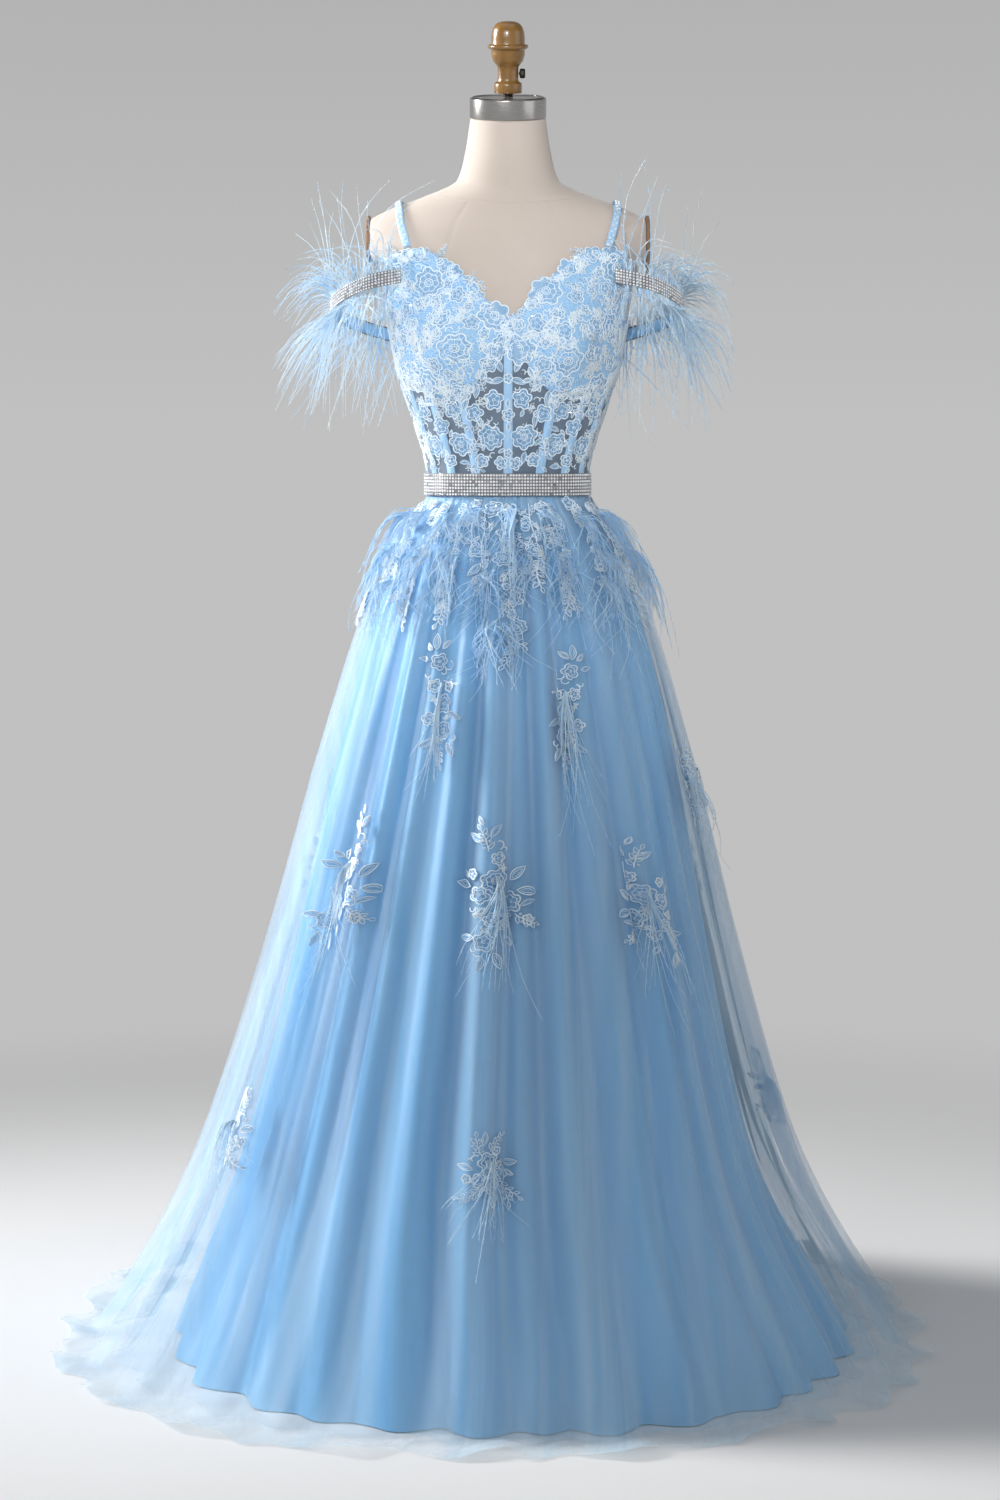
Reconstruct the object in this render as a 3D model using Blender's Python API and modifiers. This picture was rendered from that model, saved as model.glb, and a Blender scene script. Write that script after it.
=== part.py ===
"""Ballroom gown on a limbless dress form, modelled in metres with +Z up.

The origin is on the floor, on the axis of the stand. The front of the gown faces -Y. Angles run round the
axis in degrees from the front towards +X, so 90 is the wearer's left side and 180 is the centre back.
Left and right in names are as seen from the front.

Every piece of cloth is a wall: a smooth sheet of points, and the same points moved out along the sheet's
normal. What lies on a piece of cloth is made from that cloth's own points, moved out further.
"""

import math
from bisect import bisect_right
from collections import namedtuple

import bmesh
import bpy
from mathutils import Matrix, Vector
from mathutils.bvhtree import BVHTree

MM = 0.001
SEAM = 0.3 * MM  # between two pieces that meet at a seam
SECTION_POWER = 2.2  # squareness of every horizontal section: 2 is an ellipse

# ---------------------------------------------------------------- dress form
FORM_BASE_Z = 0.800
WAIST_Z = 1.097
NECK_TOP_Z = 1.554
ARM_FLAT_X = 0.1725  # the armholes are cut flat here
ARM_PLATE = {"y": 0.006, "z": 1.398, "half_depth": 0.037, "half_height": 0.036, "thickness": 6 * MM}
NECK_TILT = 10.0  # degrees that the neck's top leans forward
NECK_LEAN_Y = -0.010
NECK_CAP = {"radius": 0.048, "height": 0.025}
FINIAL_ROD = {"radius": 6.4 * MM, "height": 5 * MM}
FINIAL_DOME = {"radius": 0.0205, "foot": 0.060, "height": 0.028, "turns": (0, 30, 60)}
TurnedPoint = namedtuple("TurnedPoint", "radius z")
FINIAL_OUTLINE = [  # under the dome: rim, bowl, neck and collar
    TurnedPoint(0.0207, 0.0600), TurnedPoint(0.0250, 0.0590), TurnedPoint(0.0250, 0.0555),
    TurnedPoint(0.0215, 0.0520), TurnedPoint(0.0135, 0.0320), TurnedPoint(0.0130, 0.0150),
    TurnedPoint(0.0175, 0.0120), TurnedPoint(0.0175, 0), TurnedPoint(0, 0),
]
THUMBSCREW_RISE = 0.024  # above the finial's foot
THUMBSCREW_OUTLINE = [  # radius, and distance from the finial's axis: knob, then shank
    TurnedPoint(0, 21.5 * MM), TurnedPoint(4.8 * MM, 21.5 * MM), TurnedPoint(6.0 * MM, 20.0 * MM),
    TurnedPoint(6.0 * MM, 15.6 * MM), TurnedPoint(4.8 * MM, 14.6 * MM), TurnedPoint(2.2 * MM, 14.6 * MM),
    TurnedPoint(2.2 * MM, 13.5 * MM), TurnedPoint(0, 13.5 * MM),
]
POLE_RADIUS = 0.016
BASE_HEIGHT = 0.014
BASE_OUTLINE = [
    TurnedPoint(0, BASE_HEIGHT), TurnedPoint(0.060, BASE_HEIGHT), TurnedPoint(0.188, 0.010),
    TurnedPoint(0.197, 0.007), TurnedPoint(0.200, 0.003), TurnedPoint(0.199, 0), TurnedPoint(0, 0),
]
SHARP_ANGLE = math.radians(40)  # edges sharper than this stay crisp, and all others are shaded smooth

FormSection = namedtuple("FormSection", "z side front back lean tilt")
FORM_SECTIONS = [
    FormSection(FORM_BASE_Z, 0.138, 0.100, 0.104, 0.0, 0.0),
    FormSection(0.860, 0.162, 0.111, 0.119, 0.0, 0.0),
    FormSection(0.930, 0.156, 0.109, 0.115, 0.0, 0.0),
    FormSection(0.990, 0.136, 0.099, 0.101, 0.0, 0.0),
    FormSection(1.035, 0.114, 0.088, 0.086, 0.0, 0.0),
    FormSection(1.078, 0.0990, 0.0810, 0.0762, 0.0, 0.0),
    FormSection(WAIST_Z, 0.0982, 0.0805, 0.0755, 0.0, 0.0),
    FormSection(1.116, 0.0990, 0.0810, 0.0763, 0.0, 0.0),
    FormSection(1.145, 0.106, 0.085, 0.081, 0.0, 0.0),
    FormSection(1.175, 0.115, 0.090, 0.087, 0.0, 0.0),
    FormSection(1.205, 0.125, 0.095, 0.094, 0.0, 0.0),
    FormSection(1.235, 0.135, 0.099, 0.099, 0.0, 0.0),
    FormSection(1.262, 0.141, 0.101, 0.103, 0.0, 0.0),
    FormSection(1.290, 0.146, 0.102, 0.107, 0.0, 0.0),
    FormSection(1.318, 0.149, 0.102, 0.110, 0.0, 0.0),
    FormSection(1.345, 0.154, 0.101, 0.112, 0.0, 0.0),
    FormSection(1.370, 0.168, 0.099, 0.112, 0.0, 0.0),
    FormSection(1.392, 0.184, 0.094, 0.110, 0.0, 0.0),
    FormSection(1.412, 0.186, 0.086, 0.104, 0.0, 0.0),
    FormSection(1.428, 0.173, 0.077, 0.095, 0.0, 0.0),
    FormSection(1.442, 0.146, 0.068, 0.083, -0.002, 0.03),
    FormSection(1.456, 0.108, 0.060, 0.072, -0.004, 0.07),
    FormSection(1.477, 0.064, 0.051, 0.057, -0.007, 0.14),
    FormSection(1.515, 0.053, 0.048, 0.050, -0.009, 0.16),
    FormSection(NECK_TOP_Z, 0.047, 0.046, 0.046, NECK_LEAN_Y, math.tan(math.radians(NECK_TILT))),
]
BUST = {"angle": 36.0, "z": 1.268, "height": 0.023, "spread": 17.0, "rise": 0.042}
FORM_FRONT_STEP = 10  # degrees between columns over the front half
FORM_BACK_COLUMNS = [90, 108, 130, 155, 180, 205, 230, 252]

# ---------------------------------------------------------------- bodice
BODICE_LIFT = 2.2 * MM  # from the form to the cloth's inside
CUP_WALL = 3.0 * MM
CORSET_WALL = 1.2 * MM
BACK_WALL = 1.6 * MM
SIDE_ANGLE = 80.0
CUP_STEP = 5
SCALLOP = 3 * MM
BODICE_ROWS = 5
BODICE_KNEE_Z = 1.116  # the form's row over the waist, where the cloth turns upright
CUP_ROWS = 6
Edge = namedtuple("Edge", "angle z")
NECKLINE = [
    Edge(0, 1.298), Edge(10, 1.313), Edge(20, 1.333), Edge(30, 1.352), Edge(40, 1.368), Edge(52, 1.383),
    Edge(60, 1.383), Edge(70, 1.372), Edge(80, 1.345), Edge(95, 1.312), Edge(120, 1.292), Edge(150, 1.278),
    Edge(180, 1.270),
]
CUP_SEAM = [
    Edge(0, 1.284), Edge(10, 1.256), Edge(20, 1.229), Edge(30, 1.213), Edge(40, 1.210), Edge(50, 1.212),
    Edge(60, 1.219), Edge(70, 1.228), Edge(80, 1.236),
]

Bone = namedtuple("Bone", "waist_angle top_angle")
FRONT_BONES = [Bone(-66, -72), Bone(-48, -54), Bone(-27, -33), Bone(0, 0), Bone(27, 33), Bone(48, 54),
               Bone(66, 72)]
BACK_BONES = [Bone(-142, -148), Bone(-108, -112), Bone(108, 112), Bone(142, 148)]
BONE_WIDTH = 11 * MM
BONE_RAISE = 1.3 * MM
BONE_SEAT = 0.8 * MM  # over the cloth, so that the flat bone clears its facets
BONE_MARGIN = 4.0  # degrees each side of a bone over which its top stays below the seam
BONE_TOP_ROOM = 1.5 * MM
BACK_BODICE_COLUMNS = [SIDE_ANGLE, 90, 99, 108, 119, 130, 142, 155, 168, 180]

STRAP_WIDTH = 9 * MM
STRAP_LIFT = 3.2 * MM
STRAP_WALL = 2.4 * MM
STRAP_PIVOT_Z = 1.360
STRAP_RAY_REACH = 0.3  # from the pivot to a point well outside the form
StrapPoint = namedtuple("StrapPoint", "turn x")  # turn: 0 is level towards the back, 90 straight up
STRAP_PATH = [StrapPoint(-34, 0.098), StrapPoint(0, 0.108), StrapPoint(45, 0.126), StrapPoint(90, 0.136),
              StrapPoint(130, 0.133), StrapPoint(158, 0.123)]
STRAP_STEPS = 13

BAND_WIDTH = 18 * MM
BAND_WALL = 2.0 * MM
BAND_START = {"angle": 63.0, "z": 1.358}
BAND_END = {"angle": 124.0, "z": 1.279}
BandPoint = namedtuple("BandPoint", "x y z")
BAND_MIDDLE = [BandPoint(0.178, -0.072, 1.346), BandPoint(0.211, -0.044, 1.331),
               BandPoint(0.223, 0.004, 1.318), BandPoint(0.210, 0.050, 1.306), BandPoint(0.176, 0.082, 1.294)]
BAND_SEAT = {-1: 3.0 * MM, 1: 2.4 * MM}  # from the bodice's outside to the middle of a band's end, by side
BAND_STEPS = 14

BELT_TOP_Z = 1.111
BELT_BOTTOM_Z = 1.083
BELT_LIFT = 5.8 * MM
BELT_WALL = 2.2 * MM
BELT_STEP = 9

# ---------------------------------------------------------------- back zip
ZIP_TOP_Z = 1.262
ZIP_BOTTOM_Z = 0.950
ZIP_HALF_WIDTH = 4 * MM
ZIP_WALL = 1.0 * MM
ZIP_OPENING = 6 * MM  # half the gap that the belt and hip trims leave for it
ZIP_SLIDER = {"width": 6 * MM, "depth": 3 * MM, "height": 9 * MM, "z": 1.2555}
ZIP_PULL = {"width": 5 * MM, "depth": 1.2 * MM, "length": 20 * MM}

# ---------------------------------------------------------------- skirt
SATIN_WALL = 1.3 * MM
TULLE_WALL = 1.0 * MM
LAYER_ROOM = 1.9 * MM  # least distance between the two layers' inner sides
SIDE_SEAM = 86.0
COLUMN_SPACING = 8.6  # degrees, the widest column of the skirt
RIPPLES = 19  # waves round the tulle's hem

SkirtRow = namedtuple("SkirtRow", "row z side front back shift fold curl")
SATIN_ROWS = [
    SkirtRow(0, 1.0964, 0.0992, 0.0815, 0.0765, 0.000, 0.0000, 0),
    SkirtRow(1, 1.081, 0.0998, 0.0820, 0.0771, 0.000, 0.0002, 0),
    SkirtRow(2, 1.035, 0.123, 0.109, 0.107, 0.000, 0.0030, 0),
    SkirtRow(3, 0.950, 0.158, 0.142, 0.150, 0.000, 0.0070, 0),
    SkirtRow(4, 0.760, 0.204, 0.197, 0.223, -0.002, 0.0120, 0),
    SkirtRow(5, 0.510, 0.249, 0.272, 0.308, -0.007, 0.0170, 0),
    SkirtRow(6, 0.240, 0.311, 0.358, 0.392, -0.012, 0.0210, 0),
    SkirtRow(7, 0.000, 0.420, 0.447, 0.482, 0.006, 0.0220, 0),
]
TULLE_ROWS = [
    SkirtRow(0, 1.0964, 0.1011, 0.0834, 0.0784, 0.000, 0.0000, 0),
    SkirtRow(1, 1.081, 0.1017, 0.0839, 0.0790, 0.000, 0.0002, 0),
    SkirtRow(2, 1.035, 0.129, 0.114, 0.113, 0.000, 0.0032, 0),
    SkirtRow(3, 0.950, 0.171, 0.148, 0.158, 0.000, 0.0078, 0),
    SkirtRow(4, 0.760, 0.227, 0.205, 0.235, -0.002, 0.0130, 0),
    SkirtRow(5, 0.510, 0.289, 0.283, 0.328, -0.007, 0.0180, 0),
    SkirtRow(6, 0.240, 0.372, 0.372, 0.434, -0.012, 0.0220, 0),
    SkirtRow(7, 0.075, 0.462, 0.446, 0.556, -0.010, 0.0220, 0),
    SkirtRow(8, 0.000, 0.518, 0.500, 0.640, -0.014, 0.0180, 0.002),
    SkirtRow(9, 0.000, 0.550, 0.545, 0.706, -0.018, 0.0140, 0.014),
]
HEM_ROW = 7

Fold = namedtuple("Fold", "angle width height start")  # start: the row where the fold begins to rise
FOLDS = [
    Fold(-75, 7.0, 0.80, 1), Fold(-58, 6.5, 0.95, 2), Fold(-41, 4.8, 0.80, 1), Fold(-30, 4.0, 0.70, 2),
    Fold(-17.5, 4.2, 0.75, 1), Fold(-5, 4.4, 1.00, 1), Fold(4.5, 3.2, 0.55, 3), Fold(14, 4.4, 1.00, 0),
    Fold(27, 4.6, 0.85, 2), Fold(42, 5.0, 0.80, 0), Fold(53, 4.2, 0.65, 2), Fold(64, 4.6, 0.80, 1),
    Fold(78, 5.6, 0.90, 0), Fold(94, 5.6, 0.85, 2), Fold(108, 5.2, 0.70, 1), Fold(123, 5.6, 0.95, 0),
    Fold(138, 5.4, 0.80, 2), Fold(153, 5.6, 0.95, 1), Fold(168, 5.0, 0.70, 2), Fold(-167, 5.2, 0.80, 2),
    Fold(-152, 5.6, 0.95, 1), Fold(-137, 5.4, 0.75, 0), Fold(-122, 5.6, 0.90, 2), Fold(-108, 5.2, 0.75, 1),
    Fold(-93, 5.6, 0.90, 0),
]
FOLD_RAMP = 2.5  # rows over which a fold grows to its full height

# ---------------------------------------------------------------- trims
TRIM_WALL = 1.4 * MM

Branch = namedtuple("Branch", "angle width length")
HIP_BRANCHES = [
    Branch(-164, 7, 0.090), Branch(-140, 9, 0.130), Branch(-116, 8, 0.080), Branch(-93, 9, 0.120),
    Branch(-70, 7, 0.075), Branch(-50, 8, 0.120), Branch(-31, 7, 0.115), Branch(-15, 5, 0.080),
    Branch(1, 9, 0.165), Branch(15, 5, 0.070), Branch(30, 7, 0.105), Branch(50, 8, 0.085),
    Branch(70, 7, 0.110), Branch(93, 9, 0.080), Branch(116, 8, 0.125), Branch(140, 8, 0.080),
    Branch(164, 7, 0.105),
]
HIP_TRIM_TOP_Z = 1.0815
HIP_LACE_DEPTH = 0.022
HIP_LACE_ROWS = 3
HIP_LACE_LIFT = 4.4 * MM
HIP_STRIP_LIFT = HIP_LACE_LIFT + TRIM_WALL + 0.7 * MM
HIP_STRIP_DEPTH = 0.009
HIP_STRIP_COLUMNS = 36

# rise: how much higher a motif's right side is. tuft and length: its feather strands. lift: in millimetres,
# from the tulle's inside to the motif's, more where the tulle's facets twist most
Motif = namedtuple("Motif", "angle z height width rise tuft length lift")
MOTIFS = [
    Motif(-3, 0.606, 0.200, 0.100, 0.012, 3, 0.170, 2.1),
    Motif(40, 0.586, 0.180, 0.084, 0.015, 3, 0.170, 1.7),
    Motif(-46, 0.613, 0.200, 0.090, -0.012, 3, 0.160, 2.2),
    Motif(-60, 0.300, 0.150, 0.100, -0.010, 3, 0.110, 1.7),
    Motif(-2, 0.290, 0.120, 0.100, 0.014, 3, 0.120, 1.8),
    Motif(-26, 0.835, 0.170, 0.062, 0.010, 4, 0.150, 2.8),
    Motif(23, 0.826, 0.160, 0.062, -0.010, 4, 0.160, 2.1),
    Motif(73, 0.720, 0.130, 0.070, 0.012, 3, 0.130, 2.0),
    Motif(128, 0.600, 0.190, 0.100, 0.014, 3, 0.170, 2.8),
    Motif(-120, 0.610, 0.190, 0.100, -0.014, 3, 0.170, 1.7),
    Motif(106, 0.300, 0.150, 0.100, 0.010, 2, 0.110, 1.7),
    Motif(-168, 0.330, 0.150, 0.110, -0.010, 2, 0.120, 1.7),
]
MOTIF_ROWS = 3
MOTIF_EDGE = 0.22  # height of a motif's side edge, as a part of its full height

# ---------------------------------------------------------------- feathers
STRIP_WALL = 2.2 * MM
STRAND_RADII = [1.0 * MM, 2.3 * MM, 1.84 * MM, 0.5 * MM]  # at the root, knee, belly and tip
STRAND_TURNS = (90, 210, 330)  # the three corners of a strand's section
GOLDEN_TURN = 0.618034  # spaces the strands' lengths evenly, with no two alike

StrandPart = namedtuple("StrandPart", "part lift")  # part of the strand's length, and its lift there
HIP_STRANDS = 34
HIP_STRAND_END = 4.0  # degrees from the strip's end to the first strand
HIP_STRAND_LENGTH = {"least": 0.09, "more": 0.13}
HIP_STRAND_OFF = {"least": 0.010, "more": 0.026}
HIP_STRAND_CLEAR = 9 * MM  # over the highest fold
HIP_STRAND_SWAY = 14.0  # degrees
HIP_STRAND_PARTS = [StrandPart(0.12, 0.45), StrandPart(0.55, 1.0), StrandPart(1.0, 0.85)]

TUFT_STEP = 0.016  # between the roots of two strands of a tuft in one column
TUFT_LENGTH = {"least": 0.7, "more": 0.5}  # as parts of the motif's own tuft length
TUFT_SWAY = 9.0  # degrees
TUFT_PARTS = [StrandPart(0.12, 8 * MM), StrandPart(0.55, 18 * MM), StrandPart(1.0, 15 * MM)]

ARM_STRIP_WIDTH = 24 * MM
ARM_STRIP_INSET = 1  # of the band's steps that the strip leaves free at each end
ARM_STRANDS = 25
ARM_STRAND_END = 0.02  # of the band's length, from the strip's end to the first strand
ARM_STRAND_EDGE = 0.44  # of the strip's width, from its middle to the strands' roots
ARM_STRAND_KNEE = 14 * MM
ARM_STRAND_ARCH = {"up": 14 * MM, "out": 6 * MM}
ARM_STRAND_SIZE = {"least": 0.72, "more": 0.5}
ARM_STRAND_SWAY = 0.05
ArmStyle = namedtuple("ArmStyle", "edge reach rise")  # edge: -1 leaves the strip's top, 1 its bottom
ARM_STYLES = [ArmStyle(-1, 0.045, 0.085), ArmStyle(1, 0.062, -0.090), ArmStyle(-1, 0.066, 0.030),
              ArmStyle(1, 0.048, -0.135)]


# ---------------------------------------------------------------- curves and sheets
class Profile:
    """Values in straight lines between the rows of a table, found by the table's first column."""

    def __init__(self, rows):
        self.kind = type(rows[0])
        self.rows = sorted(rows)
        self.keys = [row[0] for row in self.rows]

    def at(self, key):
        key = min(max(key, self.keys[0]), self.keys[-1])
        index = min(max(bisect_right(self.keys, key), 1), len(self.keys) - 1)
        before, after = self.rows[index - 1], self.rows[index]
        part = (key - before[0]) / (after[0] - before[0])
        return self.kind(*(a + (b - a) * part for a, b in zip(before, after)))


# along_step is negative where a sheet's second value is a height
Sheet = namedtuple("Sheet", "point across_step along_step")


def heading(angle):
    """The level direction at an angle round the stand."""
    return Vector((math.sin(math.radians(angle)), -math.cos(math.radians(angle)), 0))


def turn_between(angle, other):
    """The signed turn in degrees from one angle to another, the short way round."""
    return (other - angle + 180) % 360 - 180


def section_radius(angle, side, front, back):
    """Distance from the axis to a section with these half sizes."""
    direction = heading(angle)
    depth = front if direction.y < 0 else back
    total = abs(direction.x / side) ** SECTION_POWER + abs(direction.y / depth) ** SECTION_POWER
    return total ** (-1 / SECTION_POWER)


def normal(sheet, across, along):
    """The outward direction of a sheet, found from its neighbouring points."""
    run = sheet.point(across + sheet.across_step, along) - sheet.point(across - sheet.across_step, along)
    fall = sheet.point(across, along + sheet.along_step) - sheet.point(across, along - sheet.along_step)
    return fall.cross(run).normalized()


def lifted(sheet, height):
    """The same sheet, moved out along its normal."""
    def point(across, along):
        return sheet.point(across, along) + normal(sheet, across, along) * height
    return Sheet(point, sheet.across_step, sheet.along_step)


def even(start, end, count):
    """count + 1 evenly spaced values."""
    return [start + (end - start) * index / count for index in range(count + 1)]


FORM = Profile(FORM_SECTIONS)


def form_point(angle, z):
    section = FORM.at(z)
    radius = section_radius(angle, section.side, section.front, section.back)
    for side in (-1, 1):
        across = turn_between(side * BUST["angle"], angle) / BUST["spread"]
        rise = (z - BUST["z"]) / BUST["rise"]
        radius += BUST["height"] * math.exp(-across ** 2 - rise ** 2)
    point = heading(angle) * radius
    return Vector((point.x, point.y + section.lean, z + section.tilt * point.y))


FORM_SHEET = Sheet(form_point, 1.0, -1 * MM)


# ---------------------------------------------------------------- skirt sheets
def fold_height(angle, row):
    """0 to 1: the height of the folds at an angle and row of the skirt."""
    height = 0.0
    for fold in FOLDS:
        grown = min(max((row - fold.start) / FOLD_RAMP, 0), 1)
        offset = turn_between(fold.angle, angle) / fold.width
        height += fold.height * grown * math.exp(-offset ** 2)
    return height


def layer_radius(line, angle):
    """Distance of a skirt layer from its own centre line, at one row of its table."""
    radius = section_radius(angle, line.side, line.front, line.back)
    return radius + line.fold * fold_height(angle, line.row)


def satin_at(angle, row):
    line = SATIN_ROWS[row]
    return heading(angle) * layer_radius(line, angle) + Vector((line.shift, 0, line.z))


def tulle_at(angle, row):
    line = TULLE_ROWS[row]
    radius = layer_radius(line, angle)
    if row < HEM_ROW:
        radius = max(radius, layer_radius(SATIN_ROWS[row], angle) + LAYER_ROOM)
    curl = line.curl * max(math.cos(math.radians(RIPPLES * angle)), 0)
    return heading(angle) * radius + Vector((line.shift, 0, line.z + curl))


def between_rows(point_at, last_row):
    """A sheet's points, in straight lines between the whole rows."""
    def point(angle, row):
        row = min(max(row, 0), last_row)
        above = min(int(row), last_row - 1)
        return point_at(angle, above).lerp(point_at(angle, above + 1), row - above)
    return point


TULLE = Profile(TULLE_ROWS)


def crest_point(angle, row):
    """Just over the highest fold: what hangs free of the skirt stays outside this."""
    line = TULLE.at(row)
    radius = section_radius(angle, line.side, line.front, line.back) + line.fold
    return heading(angle) * radius + Vector((line.shift, 0, line.z))


SATIN_SHEET = Sheet(between_rows(satin_at, len(SATIN_ROWS) - 1), 0.5, 0.02)
TULLE_SHEET = Sheet(between_rows(tulle_at, len(TULLE_ROWS) - 1), 0.5, 0.02)
CREST_SHEET = Sheet(crest_point, 0.5, 0.02)


def row_at(z):
    """The tulle's row at a height."""
    for before, after in zip(TULLE_ROWS, TULLE_ROWS[1:]):
        if z >= after.z:
            return before.row + max(before.z - z, 0) / (before.z - after.z)
    return TULLE_ROWS[-1].row


def skirt_columns(start, end):
    """Angles from start to end: every crest, the trough after it, and more where they lie far apart."""
    crests = sorted(start + (fold.angle - start) % 360 for fold in FOLDS)
    crests = [angle for angle in crests if start + 2 < angle < end - 2]
    stops = [start]
    for angle in crests + [end]:
        stops += [(stops[-1] + angle) / 2, angle]
    columns = [start]
    for angle in stops[1:]:
        parts = math.ceil((angle - columns[-1]) / COLUMN_SPACING)
        columns += even(columns[-1], angle, parts)[1:]
    return columns


def all_columns():
    """The tulle's columns all round, from -180 to 180."""
    panels = ((-180, -SIDE_SEAM), (-SIDE_SEAM, SIDE_SEAM), (SIDE_SEAM, 180))
    columns = [angle for start, end in panels for angle in skirt_columns(start, end)[:-1]]
    return columns + [180]


def ring_columns(gap):
    """The tulle's columns all round, but for a gap in degrees on each side of the zip."""
    inner = [angle for angle in all_columns() if abs(angle) < 180 - gap - 1]
    return [gap - 180] + inner + [180 - gap]


# ---------------------------------------------------------------- meshes
collection = None
cutters = None
finishes = {}


def clear_scene():
    for item in list(bpy.data.objects):
        bpy.data.objects.remove(item, do_unlink=True)


def make_collection(name):
    made = bpy.data.collections.new(name)
    bpy.context.scene.collection.children.link(made)
    return made


def finish(name, colour, roughness, metallic=0.0):
    """A Principled material, made once."""
    if name not in finishes:
        made = bpy.data.materials.new(name)
        made.use_nodes = True
        shader = made.node_tree.nodes["Principled BSDF"]
        shader.inputs["Base Color"].default_value = (*colour, 1)
        shader.inputs["Roughness"].default_value = roughness
        shader.inputs["Metallic"].default_value = metallic
        finishes[name] = made
    return finishes[name]


def linen():
    return finish("linen", (0.78, 0.70, 0.62), 0.9)


def lace():
    return finish("lace", (0.60, 0.74, 0.86), 0.75)


def sheer_mesh():
    return finish("sheer_mesh", (0.20, 0.26, 0.33), 0.7)


def satin():
    return finish("satin", (0.26, 0.50, 0.74), 0.35)


def tulle():
    return finish("tulle", (0.62, 0.80, 0.92), 0.8)


def feather():
    return finish("feather", (0.66, 0.84, 0.95), 0.85)


def rhinestones():
    return finish("rhinestones", (0.80, 0.84, 0.88), 0.15, 0.6)


def dark_metal():
    return finish("dark_metal", (0.05, 0.045, 0.04), 0.4, 0.9)


def steel():
    return finish("steel", (0.40, 0.39, 0.38), 0.35, 1.0)


def smoothed(mesh):
    mesh.shade_smooth()
    mesh.set_sharp_from_angle(angle=SHARP_ANGLE)


def add_object(name, mesh, material, group=None):
    made = bpy.data.objects.new(name, mesh)
    (group or collection).objects.link(made)
    mesh.materials.append(material)
    smoothed(mesh)
    return made


def mesh_of(name, build):
    """A mesh filled by build(bmesh)."""
    bm = bmesh.new()
    build(bm)
    mesh = bpy.data.meshes.new(name)
    bm.to_mesh(mesh)
    bm.free()
    return mesh


def add_cell(bm, corners):
    """Two triangles on four corners, always split along the same diagonal."""
    a, b, c, d = corners
    bm.faces.new((a, b, c))
    bm.faces.new((a, c, d))


def fill_wall(bm, inside, outside):
    """Faces of a wall between two grids of vertices, rows from top to bottom, columns towards +X."""
    rows, steps = len(inside) - 1, len(inside[0]) - 1
    for i in range(rows):
        for j in range(steps):
            add_cell(bm, (outside[i][j], outside[i + 1][j], outside[i + 1][j + 1], outside[i][j + 1]))
            upper, lower = inside[i], inside[i + 1]
            bm.faces.new((upper[j], lower[j + 1], lower[j]))
            bm.faces.new((upper[j], upper[j + 1], lower[j + 1]))
        add_cell(bm, (inside[i][0], inside[i + 1][0], outside[i + 1][0], outside[i][0]))
        add_cell(bm, (outside[i][-1], outside[i + 1][-1], inside[i + 1][-1], inside[i][-1]))
    for j in range(steps):
        add_cell(bm, (inside[0][j], outside[0][j], outside[0][j + 1], inside[0][j + 1]))
        add_cell(bm, (outside[-1][j], inside[-1][j], inside[-1][j + 1], outside[-1][j + 1]))


def wall(name, sheet, grid, inner, outer, material):
    """A wall on a sheet: grid holds rows of (across, along), inner and outer the offsets of its two sides."""
    def build(bm):
        inside, outside = [], []
        for line in grid:
            places = [(sheet.point(*place), normal(sheet, *place)) for place in line]
            inside.append([bm.verts.new(point + out * inner) for point, out in places])
            outside.append([bm.verts.new(point + out * outer) for point, out in places])
        fill_wall(bm, inside, outside)
    return add_object(name, mesh_of(name, build), material)


def solid_of(name, rings, material):
    """A closed solid through rings from top to bottom, with a flat face on its first and last ring."""
    def build(bm):
        made = [[bm.verts.new(point) for point in ring] for ring in rings]
        count = len(made[0])
        for upper, lower in zip(made, made[1:]):
            for j in range(count):
                k = (j + 1) % count
                add_cell(bm, (upper[j], lower[j], lower[k], upper[k]))
        bm.faces.new(made[0])
        bm.faces.new(reversed(made[-1]))
    return add_object(name, mesh_of(name, build), material)


def turned(name, outline, steps, material):
    """A turned solid. Its outline runs from the axis at the top, down the outer side, to the axis again."""
    mesh = mesh_of(name, lambda bm: draw_outline(bm, outline))
    made = add_object(name, mesh, material)
    screw = made.modifiers.new("turn", "SCREW")
    screw.steps = steps
    screw.render_steps = steps
    screw.use_merge_vertices = True
    screw.merge_threshold = 0.01 * MM
    return made


def draw_outline(bm, outline):
    points = [bm.verts.new((radius, 0, z)) for radius, z in outline]
    for one, other in zip(points, points[1:]):
        bm.edges.new((one, other))


def cylinder(name, radius, height, sides, material):
    """A cylinder centred on its own origin."""
    mesh = mesh_of(name, lambda bm: bmesh.ops.create_cone(
        bm, cap_ends=True, segments=sides, radius1=radius, radius2=radius, depth=height))
    return add_object(name, mesh, material)


def bevelled(made, width, segments=1):
    bevel = made.modifiers.new("edge", "BEVEL")
    bevel.width = width
    bevel.segments = segments
    return made


# ---------------------------------------------------------------- dress form and stand
def form_columns():
    return list(range(-90, 90, FORM_FRONT_STEP)) + FORM_BACK_COLUMNS


def cut_flat(bm, side):
    """Cuts the form flat at one armhole."""
    geometry = bm.verts[:] + bm.edges[:] + bm.faces[:]
    result = bmesh.ops.bisect_plane(bm, geom=geometry, dist=0.001 * MM, plane_co=(side * ARM_FLAT_X, 0, 0),
                                    plane_no=(side, 0, 0), clear_outer=True)
    rim = [item for item in result["geom_cut"] if isinstance(item, bmesh.types.BMEdge)]
    bmesh.ops.edgeloop_fill(bm, edges=rim)


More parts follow.
